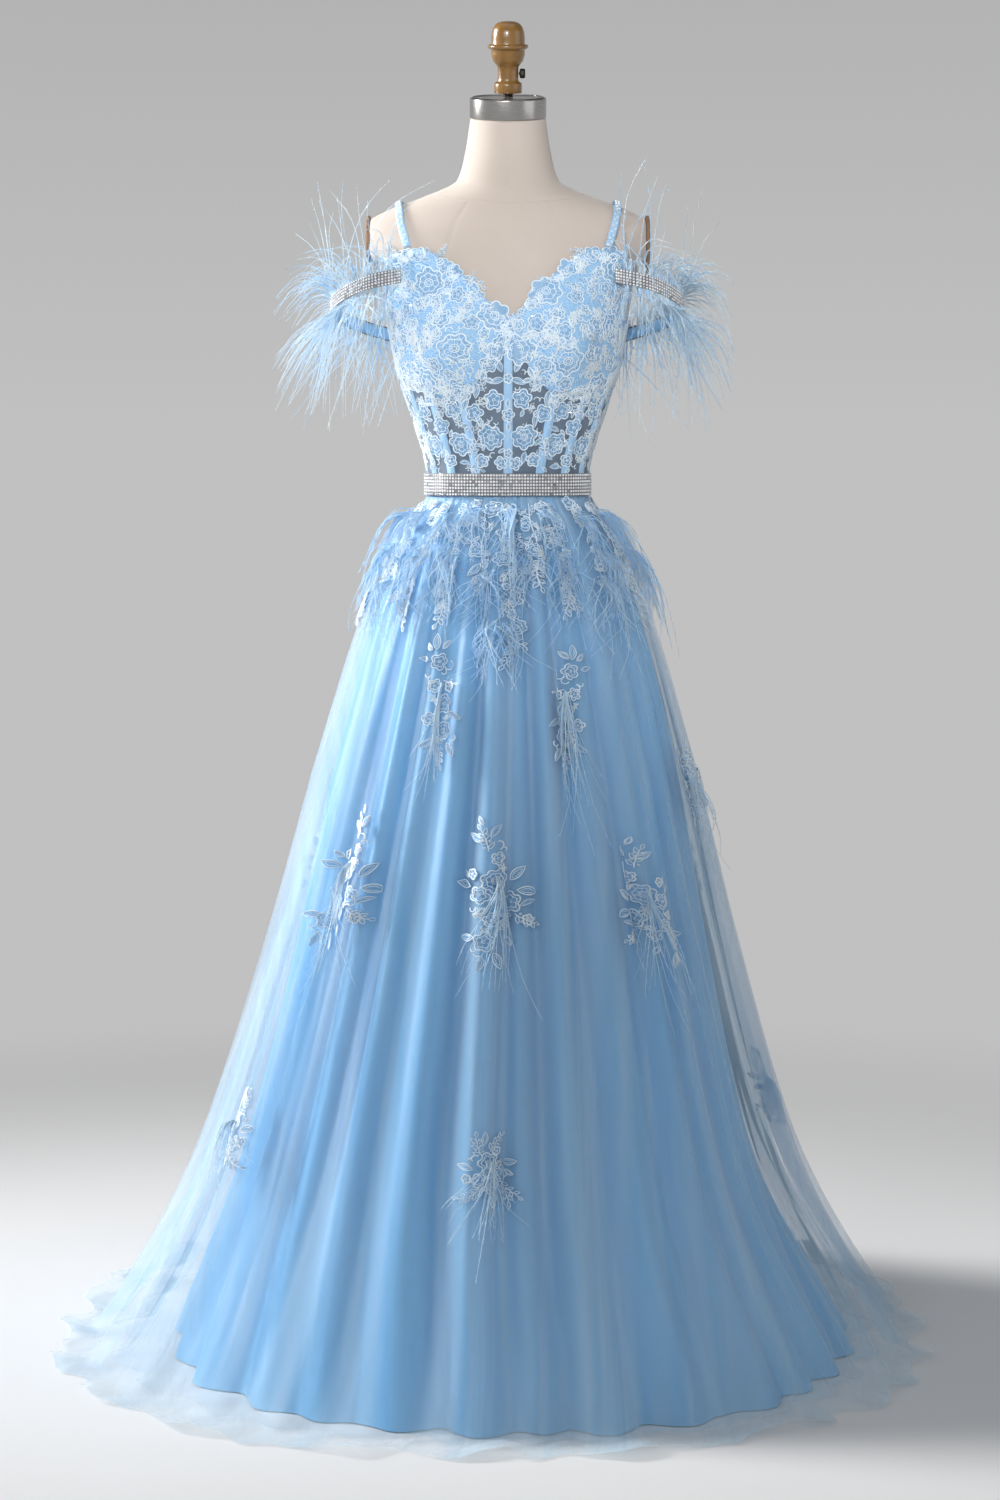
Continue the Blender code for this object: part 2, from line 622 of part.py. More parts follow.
def form_torso():
    rings = [[form_point(angle, row.z) for angle in form_columns()] for row in reversed(FORM_SECTIONS)]
    made = solid_of("form_torso", rings, linen())
    bm = bmesh.new()
    bm.from_mesh(made.data)
    for side in (-1, 1):
        cut_flat(bm, side)
    bmesh.ops.recalc_face_normals(bm, faces=bm.faces[:])
    bm.to_mesh(made.data)
    bm.free()
    smoothed(made.data)
    return made


def arm_plate(name, side):
    made = cylinder(name, 1, ARM_PLATE["thickness"], 20, finish("arm_plate", (0.30, 0.17, 0.09), 0.5))
    shape = Matrix.Diagonal((ARM_PLATE["half_height"], ARM_PLATE["half_depth"], 1, 1))
    made.data.transform(Matrix.Rotation(math.radians(90), 4, "Y") @ shape)
    out = ARM_FLAT_X + SEAM + ARM_PLATE["thickness"] / 2
    made.location = (side * out, ARM_PLATE["y"], ARM_PLATE["z"])
    return bevelled(made, 1.5 * MM)


def neck_frame():
    """An empty at the middle of the neck's top, leaning forward with it."""
    made = bpy.data.objects.new("neck_frame", None)
    collection.objects.link(made)
    made.location = (0, NECK_LEAN_Y, NECK_TOP_Z)
    made.rotation_euler.x = math.radians(NECK_TILT)
    return made


def put_on(parent, made, location):
    made.parent = parent
    made.location = location
    return made


def neck_fittings():
    """The steel cap, the rod, the finial and its thumbscrew, all on the neck's own axis."""
    frame = neck_frame()
    height = NECK_CAP["height"]
    cap = bevelled(cylinder("neck_cap", NECK_CAP["radius"], height, 28, steel()), 2 * MM)
    put_on(frame, cap, (0, 0, SEAM + height / 2))
    rod_foot = height + 2 * SEAM
    rod = cylinder("finial_rod", FINIAL_ROD["radius"], FINIAL_ROD["height"], 16, dark_metal())
    put_on(frame, rod, (0, 0, rod_foot + FINIAL_ROD["height"] / 2))
    foot = rod_foot + FINIAL_ROD["height"] + SEAM
    put_on(frame, finial(), (0, 0, foot))
    put_on(frame, thumbscrew(), (0, 0, foot + THUMBSCREW_RISE))


def finial():
    """A turned knob: a long dome over a rim, bowl, neck and collar."""
    size = FINIAL_DOME
    dome = []
    for angle in size["turns"]:
        turn = math.radians(angle)
        z = size["foot"] + size["height"] * math.cos(turn)
        dome.append(TurnedPoint(size["radius"] * math.sin(turn), z))
    return turned("finial", dome + FINIAL_OUTLINE, 18, finish("finial_wood", (0.27, 0.15, 0.045), 0.25))


def thumbscrew():
    """A knob on a short shank, turned and laid along +X from its hinge axis on the finial."""
    made = turned("thumbscrew", THUMBSCREW_OUTLINE, 14, dark_metal())
    made.rotation_euler.y = math.radians(90)
    return made


def stand():
    pole_foot = BASE_HEIGHT + SEAM
    pole_top = FORM_BASE_Z - SEAM
    pole = cylinder("stand_pole", POLE_RADIUS, pole_top - pole_foot, 20, steel())
    pole.location.z = (pole_foot + pole_top) / 2
    turned("stand_base", BASE_OUTLINE, 28, dark_metal())


# ---------------------------------------------------------------- bodice
neckline = Profile(NECKLINE)
cup_seam = Profile(CUP_SEAM)


def seam_turn(sheet, across, along):
    """Half a seam's gap as a turn in degrees at this distance from the axis."""
    point = sheet.point(across, along)
    return math.degrees(SEAM / 2 / math.hypot(point.x, point.y))


def bodice_grid(columns, top, bottom, rows):
    """Rows from top(angle) to bottom(angle), with half a seam's gap at each upright edge."""
    grid = []
    for part in even(0, 1, rows):
        line = []
        for angle in columns:
            z = top(angle) + (bottom(angle) - top(angle)) * part
            gap = seam_turn(FORM_SHEET, angle, z)
            nudge = gap if angle == columns[0] else -gap if angle == columns[-1] else 0
            line.append((angle + nudge, z))
        grid.append(line)
    return grid


def long_grid(columns, top):
    """A bodice grid that runs on down to the waist seam, with a row where the form turns upright."""
    grid = bodice_grid(columns, top, lambda angle: BODICE_KNEE_Z, BODICE_ROWS)
    return grid + [[(angle, WAIST_Z + SEAM) for angle, z in grid[-1]]]


def neckline_z(angle):
    return neckline.at(abs(turn_between(0, angle))).z


def cup_seam_z(angle):
    return cup_seam.at(abs(angle)).z


def scalloped_z(angle):
    """The cups' top edge, with a small scallop every second column."""
    odd = round(abs(angle) / CUP_STEP) % 2
    return neckline_z(angle) + (SCALLOP if odd else 0)


def bodice():
    cup_columns = list(range(0, int(SIDE_ANGLE) + 1, CUP_STEP))
    for name, columns in (("cup_left", [-a for a in reversed(cup_columns)]), ("cup_right", cup_columns)):
        grid = bodice_grid(columns, scalloped_z, lambda a: cup_seam_z(a) + SEAM, CUP_ROWS)
        wall(name, FORM_SHEET, grid, BODICE_LIFT, BODICE_LIFT + CUP_WALL, lace())
    columns = list(range(-int(SIDE_ANGLE), int(SIDE_ANGLE) + 1, FORM_FRONT_STEP))
    grid = long_grid(columns, lambda a: cup_seam_z(a) - SEAM)
    wall("corset_front", FORM_SHEET, grid, BODICE_LIFT, BODICE_LIFT + CORSET_WALL, sheer_mesh())
    mirrored = [360 - angle for angle in reversed(BACK_BODICE_COLUMNS)]
    for name, columns in (("back_right", BACK_BODICE_COLUMNS), ("back_left", mirrored)):
        grid = long_grid(columns, neckline_z)
        wall(name, FORM_SHEET, grid, BODICE_LIFT, BODICE_LIFT + BACK_WALL, lace())


def bone(name, spec, edge_z, lift):
    """A bone channel: a narrow raised wall from the belt up to just under edge_z(angle)."""
    margins = (-BONE_MARGIN, 0, BONE_MARGIN)
    top_z = min(edge_z(spec.top_angle + margin) for margin in margins) - BONE_TOP_ROOM
    foot = BELT_TOP_Z + SEAM
    heights = even(top_z, BODICE_KNEE_Z, BODICE_ROWS) + [foot]
    grid = []
    for z in heights:
        angle = spec.waist_angle + (spec.top_angle - spec.waist_angle) * (z - foot) / (top_z - foot)
        point = form_point(angle, z)
        turn = math.degrees(BONE_WIDTH / 2 / math.hypot(point.x, point.y))
        grid.append([(angle - turn, z), (angle + turn, z)])
    wall(name, FORM_SHEET, grid, lift, lift + BONE_RAISE, lace())


def bones():
    for number, spec in enumerate(FRONT_BONES, 1):
        bone(f"bone_front_{number}", spec, cup_seam_z, BODICE_LIFT + CORSET_WALL + BONE_SEAT)
    for number, spec in enumerate(BACK_BONES, 1):
        bone(f"bone_back_{number}", spec, neckline_z, BODICE_LIFT + BACK_WALL + BONE_SEAT)


def strap(name, side, form_tree):
    """A strap over the shoulder, laid on the form by a ray towards a pivot inside it."""
    path = Profile(STRAP_PATH)

    def point(across, turn):
        place = path.at(turn)
        direction = Vector((0, math.cos(math.radians(turn)), math.sin(math.radians(turn))))
        pivot = Vector((side * place.x + across, 0, STRAP_PIVOT_Z))
        return form_tree.ray_cast(pivot + direction * STRAP_RAY_REACH, -direction)[0]

    sheet = Sheet(point, 1 * MM, 1.0)
    turns = even(STRAP_PATH[0].turn, STRAP_PATH[-1].turn, STRAP_STEPS)
    grid = [[(-STRAP_WIDTH / 2, turn), (STRAP_WIDTH / 2, turn)] for turn in turns]
    wall(name, sheet, grid, STRAP_LIFT, STRAP_LIFT + STRAP_WALL, rhinestones())


def smooth_through(points, part):
    """A point at part 0 to 1 of a smooth curve through the points."""
    place = min(part, 0.999999) * (len(points) - 1)
    index = int(place)
    t = place - index
    before = points[max(index - 1, 0)]
    a, b = points[index], points[index + 1]
    after = points[min(index + 2, len(points) - 1)]
    leave, arrive = (b - before) / 2, (after - a) / 2
    return (a * (2 * t ** 3 - 3 * t ** 2 + 1) + b * (3 * t ** 2 - 2 * t ** 3)
            + leave * (t ** 3 - 2 * t ** 2 + t) + arrive * (t ** 3 - t ** 2))


def band_points(seat):
    """The right band's middle line, from the cup's front round the arm to the back panel."""
    start = lifted(FORM_SHEET, BODICE_LIFT + CUP_WALL + seat).point(BAND_START["angle"], BAND_START["z"])
    end = lifted(FORM_SHEET, BODICE_LIFT + BACK_WALL + seat).point(BAND_END["angle"], BAND_END["z"])
    return [start] + [Vector(place) for place in BAND_MIDDLE] + [end]


def band_sheet(side, width):
    """An upright ribbon round one arm. It runs towards +X on both sides, so that its normal points away."""
    points = band_points(BAND_SEAT[side])

    def point(across, along):
        part = across if side > 0 else 1 - across
        place = smooth_through(points, min(max(part, 0), 1))
        return Vector((side * place.x, place.y, place.z + width * (0.5 - along)))
    return Sheet(point, 0.004, 0.1)


def shoulder_band(name, side):
    grid = [[(across, along) for across in even(0, 1, BAND_STEPS)] for along in (0, 1)]
    wall(name, band_sheet(side, BAND_WIDTH), grid, -BAND_WALL / 2, BAND_WALL / 2, rhinestones())


def belt():
    grid = []
    columns = even(-180, 180, round(360 / BELT_STEP))
    open_turn = math.degrees(ZIP_OPENING / (form_point(180, WAIST_Z).y + BELT_LIFT))
    for z in (BELT_TOP_Z, BELT_BOTTOM_Z):
        inner_columns = [a for a in columns if abs(a) < 180 - open_turn - 2]
        grid.append([(a, z) for a in [open_turn - 180] + inner_columns + [180 - open_turn]])

    def point(angle, z):
        return form_point(angle, WAIST_Z) + Vector((0, 0, z - WAIST_Z))
    wall("belt", Sheet(point, 1.0, -1 * MM), grid, BELT_LIFT, BELT_LIFT + BELT_WALL, rhinestones())


# ---------------------------------------------------------------- back zip
def zip_surface(angle, z):
    """The outside of the back of the gown, whichever layer is outermost."""
    out = heading(angle)
    bodice_side = lifted(FORM_SHEET, BODICE_LIFT + BACK_WALL).point(angle, max(z, WAIST_Z))
    radius = math.hypot(bodice_side.x, bodice_side.y)
    if z < WAIST_Z:
        skirt_side = lifted(TULLE_SHEET, TULLE_WALL + SEAM).point(angle, row_at(z))
        radius = max(radius, math.hypot(skirt_side.x, skirt_side.y))
    return out * radius + Vector((0, 0, z))


ZIP_SHEET = Sheet(zip_surface, 1.0, -2 * MM)


def back_zip():
    bodice_heights = [row.z for row in reversed(FORM_SECTIONS) if WAIST_Z <= row.z < ZIP_TOP_Z]
    skirt_heights = [row.z for row in TULLE_ROWS if ZIP_BOTTOM_Z <= row.z < WAIST_Z - 1 * MM]
    heights = [ZIP_TOP_Z] + bodice_heights + skirt_heights
    grid = []
    for z in heights:
        turn = math.degrees(ZIP_HALF_WIDTH / zip_surface(180, z).y)
        grid.append([(180 - turn, z), (180 + turn, z)])
    lift = 2 * SEAM
    wall("zip_tape", ZIP_SHEET, grid, lift, lift + ZIP_WALL, finish("zip_tape", (0.45, 0.62, 0.78), 0.8))
    middle = ZIP_SLIDER["z"]
    face = zip_surface(180, middle).y + lift + ZIP_WALL + 2 * SEAM
    slider = box("zip_slider", (ZIP_SLIDER["width"], ZIP_SLIDER["depth"], ZIP_SLIDER["height"]))
    slider.location = (0, face + ZIP_SLIDER["depth"] / 2, middle)
    bevelled(slider, 0.6 * MM)
    pull = box("zip_pull", (ZIP_PULL["width"], ZIP_PULL["depth"], ZIP_PULL["length"]))
    pull.data.transform(Matrix.Translation((0, 0, -ZIP_PULL["length"] / 2)))
    pull.location = (0, face + ZIP_SLIDER["depth"] + 2 * SEAM + ZIP_PULL["depth"] / 2, middle + 2 * MM)


def box(name, size):
    mesh = mesh_of(name, lambda bm: bmesh.ops.create_cube(bm, size=1, matrix=Matrix.Diagonal((*size, 1))))
    return add_object(name, mesh, finish("zip_metal", (0.55, 0.62, 0.70), 0.3, 0.9))


# ---------------------------------------------------------------- skirt
def skirt_layer(prefix, sheet, rows, thickness, material):
    panels = (("front", -SIDE_SEAM, SIDE_SEAM), ("back_right", SIDE_SEAM, 180),
              ("back_left", 180, 360 - SIDE_SEAM))
    for name, start, end in panels:
        columns = skirt_columns(start, end)
        grid = []
        for row in range(rows):
            gap = seam_turn(sheet, start, row)
            grid.append([(start + gap, row)] + [(a, row) for a in columns[1:-1]] + [(end - gap, row)])
        wall(f"{prefix}_{name}", sheet, grid, 0, thickness, material)


# ---------------------------------------------------------------- feathers
def strand_points(bm, path, radii):
    """A closed three-sided strand along a path, ending in a point."""
    rings = []
    for index, radius in enumerate(radii[:-1]):
        ahead = path[index + 1] - path[max(index - 1, 0)]
        side = ahead.cross(Vector((0, 0, 1)))
        side = (side if side.length > 1e-6 else ahead.cross(Vector((0, 1, 0)))).normalized()
        other = ahead.normalized().cross(side)
        ring = []
        for angle in STRAND_TURNS:
            turn = math.radians(angle)
            ring.append(bm.verts.new(path[index] + (side * math.cos(turn) + other * math.sin(turn)) * radius))
        rings.append(ring)
    tip = bm.verts.new(path[-1])
    for near, far in zip(rings, rings[1:]):
        for j in range(3):
            k = (j + 1) % 3
            add_cell(bm, (near[j], near[k], far[k], far[j]))
    for j in range(3):
        bm.faces.new((rings[-1][j], rings[-1][(j + 1) % 3], tip))
    bm.faces.new(reversed(rings[0]))


def fringe(backing, paths):
    """Fuses strands to their backing by their roots."""
    def build(bm):
        for path in paths:
            strand_points(bm, path, STRAND_RADII)
        bmesh.ops.recalc_face_normals(bm, faces=bm.faces[:])
    name = backing.name + "_strands"
    helper = add_object(name, mesh_of(name, build), backing.data.materials[0], cutters)
    helper.hide_render = True
    helper.display_type = "WIRE"
    join = backing.modifiers.new("strands", "BOOLEAN")
    join.operation = "UNION"
    join.object = helper
    join.use_self = True


def spread(number):
    """0 to 1, evenly spread over the numbers, with no two near numbers alike."""
    return (number * GOLDEN_TURN) % 1


def varied(size, number):
    """A length between a size's least and its least and more, spread over the numbers."""
    return size["least"] + size["more"] * spread(number)


def shoulder_feathers(name, side):
    sheet = band_sheet(side, ARM_STRIP_WIDTH)
    outer = -BAND_WALL / 2 - SEAM
    stations = even(0, 1, BAND_STEPS)[ARM_STRIP_INSET:-ARM_STRIP_INSET]
    grid = [[(across, along) for across in stations] for along in (0, 1)]
    strip = wall(name, sheet, grid, outer - STRIP_WALL, outer, feather())
    paths = []
    roots = even(stations[0] + ARM_STRAND_END, stations[-1] - ARM_STRAND_END, ARM_STRANDS - 1)
    for number, across in enumerate(roots):
        style = ARM_STYLES[number % len(ARM_STYLES)]
        out = normal(sheet, across, 0.5)
        sway = out.cross(Vector((0, 0, 1))) * (spread(number * 3) - 0.5) * ARM_STRAND_SWAY
        size = varied(ARM_STRAND_SIZE, number)
        root = sheet.point(across, 0.5 + style.edge * ARM_STRAND_EDGE) + out * (outer - STRIP_WALL / 2)
        knee = root + Vector((0, 0, -style.edge * ARM_STRAND_KNEE)) + out * MM
        tip = knee + out * style.reach * size + Vector((0, 0, style.rise * size)) + sway
        belly = knee.lerp(tip, 0.5) + Vector((0, 0, ARM_STRAND_ARCH["up"])) + out * ARM_STRAND_ARCH["out"]
        paths.append([root, knee, belly, tip])
    fringe(strip, paths)


def zip_gap_turn(row):
    return math.degrees(ZIP_OPENING / TULLE_SHEET.point(180, row).y)


def hip_feathers():
    """A strip right under the belt with strands that fall over the hips."""
    top, foot = row_at(HIP_TRIM_TOP_Z), row_at(HIP_TRIM_TOP_Z - HIP_STRIP_DEPTH)
    gap = zip_gap_turn(top) + 1
    columns = even(gap - 180, 180 - gap, HIP_STRIP_COLUMNS)
    grid = [[(angle, row) for angle in columns] for row in (top, foot)]
    strip = wall("hip_feathers", TULLE_SHEET, grid, HIP_STRIP_LIFT, HIP_STRIP_LIFT + STRIP_WALL, feather())
    paths = []
    roots = even(gap - 180 + HIP_STRAND_END, 180 - gap - HIP_STRAND_END, HIP_STRANDS - 1)
    for number, angle in enumerate(roots):
        length = varied(HIP_STRAND_LENGTH, number)
        stand_off = varied(HIP_STRAND_OFF, number * 5 + 2)
        sway = (spread(number * 3 + 1) - 0.5) * HIP_STRAND_SWAY
        path = [lifted(TULLE_SHEET, HIP_STRIP_LIFT + STRIP_WALL / 2).point(angle, (top + foot * 3) / 4)]
        for part, lift in HIP_STRAND_PARTS:
            row = row_at(HIP_TRIM_TOP_Z - HIP_STRIP_DEPTH - length * part)
            hanging = lifted(CREST_SHEET, HIP_STRAND_CLEAR + stand_off * lift)
            path.append(hanging.point(angle + sway * part ** 2, row))
        paths.append(path)
    fringe(strip, paths)


# ---------------------------------------------------------------- lace on the skirt
def hip_lace():
    """Lace that hangs from the waist in branches of uneven length."""
    top = row_at(HIP_TRIM_TOP_Z)
    gap = zip_gap_turn(top) + 2
    columns = ring_columns(gap)

    def foot(angle):
        depth = HIP_LACE_DEPTH
        for branch in HIP_BRANCHES:
            depth += branch.length * math.exp(-(turn_between(branch.angle, angle) / branch.width) ** 2)
        return row_at(HIP_TRIM_TOP_Z - depth)
    lines = []
    for angle in columns:
        low = foot(angle)
        rows = [top] + [row for row in range(2, HEM_ROW) if row < low]  # the tulle bends at its whole rows
        while len(rows) < HIP_LACE_ROWS:
            rows.append((rows[-1] + low) / 2)
        lines.append([(angle, row) for row in rows[:HIP_LACE_ROWS] + [low]])
    grid = list(zip(*lines))
    wall("hip_lace", TULLE_SHEET, grid, HIP_LACE_LIFT, HIP_LACE_LIFT + TRIM_WALL, lace())


def motif_columns(motif):
    """The tulle's columns that come nearest to a motif's two sides, and those between them."""
    radius = TULLE_SHEET.point(motif.angle, row_at(motif.z)).xy.length
    half_turn = math.degrees(motif.width / 2 / radius)
    turns = sorted(turn_between(motif.angle, angle) for angle in all_columns()[1:])
    first = min(turns, key=lambda turn: abs(turn + half_turn))
    last = min(turns, key=lambda turn: abs(turn - half_turn))
    return [turn for turn in turns if first <= turn <= last]


def lace_motif(number, motif):
    """A spray of lace laid on the tulle, with a feather tuft that hangs from its middle."""
    turns = motif_columns(motif)
    middle, reach = (turns[0] + turns[-1]) / 2, (turns[-1] - turns[0]) / 2
    grid = []
    for part in even(-0.5, 0.5, MOTIF_ROWS):
        line = []
        for turn in turns:
            share = (turn - middle) / reach
            height = motif.height * (MOTIF_EDGE + (1 - MOTIF_EDGE) * (1 - share ** 2))
            z = motif.z + motif.rise * share - height * part
            line.append((motif.angle + turn, row_at(z)))
        grid.append(line)
    inner_side = motif.lift * MM
    plate = wall(f"lace_motif_{number}", TULLE_SHEET, grid, inner_side, inner_side + TRIM_WALL, lace())
    paths = []
    inner = turns[1:-1]
    for strand in range(motif.tuft):
        turn = inner[strand % len(inner)]
        z = motif.z + motif.rise * (turn - middle) / reach - TUFT_STEP * (strand // len(inner))
        length = motif.length * varied(TUFT_LENGTH, number + strand * 2)
        sway = (spread(strand * 3 + number) - 0.5) * TUFT_SWAY
        path = [lifted(TULLE_SHEET, inner_side + TRIM_WALL / 2).point(motif.angle + turn, row_at(z))]
        for part, lift in TUFT_PARTS:
            angle = motif.angle + turn + sway * part
            path.append(lifted(CREST_SHEET, lift).point(angle, row_at(z - length * part)))
        paths.append(path)
    fringe(plate, paths)


# ---------------------------------------------------------------- the whole
def main():
    global collection, cutters
    clear_scene()
    collection = make_collection("ballroom_gown_on_dress_form")
    cutters = make_collection("strand_helpers")
    torso = form_torso()
    for name, side in (("left", -1), ("right", 1)):
        arm_plate(f"arm_plate_{name}", side)
    neck_fittings()
    stand()
    bodice()
    bones()
    corners = [vertex.co for vertex in torso.data.vertices]
    form_tree = BVHTree.FromPolygons(corners, [face.vertices for face in torso.data.polygons])
    for name, side in (("left", -1), ("right", 1)):
        strap(f"strap_{name}", side, form_tree)
        shoulder_band(f"shoulder_band_{name}", side)
        shoulder_feathers(f"shoulder_feathers_{name}", side)
    belt()
    back_zip()
    skirt_layer("underskirt", SATIN_SHEET, len(SATIN_ROWS), SATIN_WALL, satin())
    skirt_layer("tulle", TULLE_SHEET, len(TULLE_ROWS), TULLE_WALL, tulle())
    hip_lace()
    hip_feathers()
    for number, motif in enumerate(MOTIFS, 1):
        lace_motif(number, motif)


main()
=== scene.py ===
"""The looks of the ballroom gown and its dress form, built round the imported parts.

Metres, +Z up. The front faces -Y. Angles run round the stand's axis in degrees from the front towards +X, so
180 is the centre back. Left and right in names are as seen from the front.
"""

import math
from collections import namedtuple

import bpy
import numpy as np
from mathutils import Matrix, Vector
from mathutils.bvhtree import BVHTree


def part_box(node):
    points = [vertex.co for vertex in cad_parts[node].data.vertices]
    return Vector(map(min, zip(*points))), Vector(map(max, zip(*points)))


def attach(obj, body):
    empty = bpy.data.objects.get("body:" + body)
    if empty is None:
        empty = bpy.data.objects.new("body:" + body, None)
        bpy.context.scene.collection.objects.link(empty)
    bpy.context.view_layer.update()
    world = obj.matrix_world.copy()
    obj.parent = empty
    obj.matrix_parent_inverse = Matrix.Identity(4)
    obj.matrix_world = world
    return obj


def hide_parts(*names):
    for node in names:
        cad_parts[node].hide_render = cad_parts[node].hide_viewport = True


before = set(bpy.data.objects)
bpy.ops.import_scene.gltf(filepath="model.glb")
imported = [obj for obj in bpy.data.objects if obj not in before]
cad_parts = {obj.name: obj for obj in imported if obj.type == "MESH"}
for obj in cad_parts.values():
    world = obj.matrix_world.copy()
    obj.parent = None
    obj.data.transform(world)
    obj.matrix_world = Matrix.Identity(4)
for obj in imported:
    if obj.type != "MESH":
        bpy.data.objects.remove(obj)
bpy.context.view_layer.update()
MM = 0.001
GOWN = "gown_and_form"
SIDES = (("left", -1), ("right", 1))
RIGHT, BACK, UP = np.array([1.0, 0, 0]), np.array([0, 1.0, 0]), np.array([0, 0, 1.0])
rng = np.random.default_rng(411)


# ---------------------------------------------------------------- smooth tables
class Smooth:
    """Smooth values between the rows of a table, which never overshoot them. The first column is the key."""

    def __init__(self, rows):
        data = np.array(sorted(rows), float)
        self.keys, self.values = data[:, 0], data[:, 1:]
        step = np.diff(self.keys)[:, None]
        slope = np.diff(self.values, axis=0) / step
        before, after = slope[:-1], slope[1:]
        near, far = 2 * step[1:] + step[:-1], step[1:] + 2 * step[:-1]
        with np.errstate(divide="ignore", invalid="ignore"):
            blended = (near + far) / (near / before + far / after)
        self.tangent = np.zeros_like(self.values)
        self.tangent[1:-1] = np.where(before * after > 0, blended, 0)
        self.tangent[0], self.tangent[-1] = slope[0], slope[-1]

    def at(self, key):
        key = np.clip(np.asarray(key, float), self.keys[0], self.keys[-1])
        i = np.clip(np.searchsorted(self.keys, key, side="right") - 1, 0, len(self.keys) - 2)
        step = (self.keys[i + 1] - self.keys[i])[..., None]
        t = ((key - self.keys[i])[..., None]) / step
        leave, arrive = t ** 3 - 2 * t ** 2 + t, t ** 3 - t ** 2
        bend = step * (self.tangent[i] * leave + self.tangent[i + 1] * arrive)
        first, last = 2 * t ** 3 - 3 * t ** 2 + 1, 3 * t ** 2 - 2 * t ** 3
        found = self.values[i] * first + self.values[i + 1] * last
        return np.moveaxis(found + bend, -1, 0)


def smooth_step(low, high, value):
    t = np.clip((np.asarray(value, float) - low) / (high - low), 0, 1)
    return t * t * (3 - 2 * t)


def turn_between(angle, other):
    return (np.asarray(other, float) - angle + 180) % 360 - 180


def bell(offset):
    return np.exp(-np.square(offset))


def unit(vectors):
    return vectors / np.maximum(np.linalg.norm(vectors, axis=-1, keepdims=True), 1e-12)


def heading(angle):
    turn = np.radians(angle)
    return np.stack([np.sin(turn), -np.cos(turn), np.zeros_like(turn)], -1)


# ---------------------------------------------------------------- the form
SECTION_POWER = 2.2
FORM = Smooth([  # z, side, front, back, lean, tilt
    (0.800, 0.138, 0.100, 0.104, 0, 0), (0.860, 0.162, 0.111, 0.119, 0, 0),
    (0.930, 0.156, 0.109, 0.115, 0, 0), (0.990, 0.136, 0.099, 0.101, 0, 0),
    (1.035, 0.114, 0.088, 0.086, 0, 0), (1.078, 0.0990, 0.0810, 0.0762, 0, 0),
    (1.097, 0.0982, 0.0805, 0.0755, 0, 0), (1.116, 0.0990, 0.0810, 0.0763, 0, 0),
    (1.145, 0.106, 0.085, 0.081, 0, 0), (1.175, 0.115, 0.090, 0.087, 0, 0),
    (1.205, 0.125, 0.095, 0.094, 0, 0), (1.235, 0.135, 0.099, 0.099, 0, 0),
    (1.262, 0.141, 0.101, 0.103, 0, 0), (1.290, 0.146, 0.102, 0.107, 0, 0),
    (1.318, 0.149, 0.102, 0.110, 0, 0), (1.345, 0.154, 0.101, 0.112, 0, 0),
    (1.370, 0.168, 0.099, 0.112, 0, 0), (1.392, 0.184, 0.094, 0.110, 0, 0),
    (1.412, 0.186, 0.086, 0.104, 0, 0), (1.428, 0.173, 0.077, 0.095, 0, 0),
    (1.442, 0.146, 0.068, 0.083, -0.002, 0.03), (1.456, 0.108, 0.060, 0.072, -0.004, 0.07),
    (1.477, 0.064, 0.051, 0.057, -0.007, 0.14), (1.515, 0.053, 0.048, 0.050, -0.009, 0.16),
    (1.554, 0.047, 0.046, 0.046, -0.010, math.tan(math.radians(10))),
])
FORM_BASE_Z, WAIST_Z, NECK_TOP_Z, ARM_FLAT_X = 0.800, 1.097, 1.554, 0.1725
BUST = {"angle": 36.0, "z": 1.268, "height": 0.023, "spread": 17.0, "rise": 0.042}


def section_radius(angle, side, front, back):
    turn = np.radians(angle)
    across, ahead = np.abs(np.sin(turn)), np.cos(turn)
    depth = np.where(ahead > 0, front, back)
    total = (across / side) ** SECTION_POWER + (np.abs(ahead) / depth) ** SECTION_POWER
    return total ** (-1 / SECTION_POWER)


def form_at(angle, z):
    """The dress form's surface."""
    angle, z = np.broadcast_arrays(np.asarray(angle, float), np.asarray(z, float))
    side, front, back, lean, tilt = FORM.at(z)
    radius = section_radius(angle, side, front, back)
    for sign in (-1, 1):
        across = turn_between(sign * BUST["angle"], angle) / BUST["spread"]
        radius = radius + BUST["height"] * bell(across) * bell((z - BUST["z"]) / BUST["rise"])
    point = heading(angle) * radius[..., None]
    return np.stack([point[..., 0], point[..., 1] + lean, z + tilt * point[..., 1]], -1)


def outward(surface, u, v, du, dv):
    """The outward normal of a surface whose second value falls as it runs down."""
    run = surface(u + du, v) - surface(u - du, v)
    fall = surface(u, v + dv) - surface(u, v - dv)
    return unit(np.cross(fall, run))


def on_form(angle, z, lift):
    """A point this far outside the form."""
    lift = np.asarray(lift, float)[..., None]
    return form_at(angle, z) + outward(form_at, angle, z, 0.5, -1 * MM) * lift


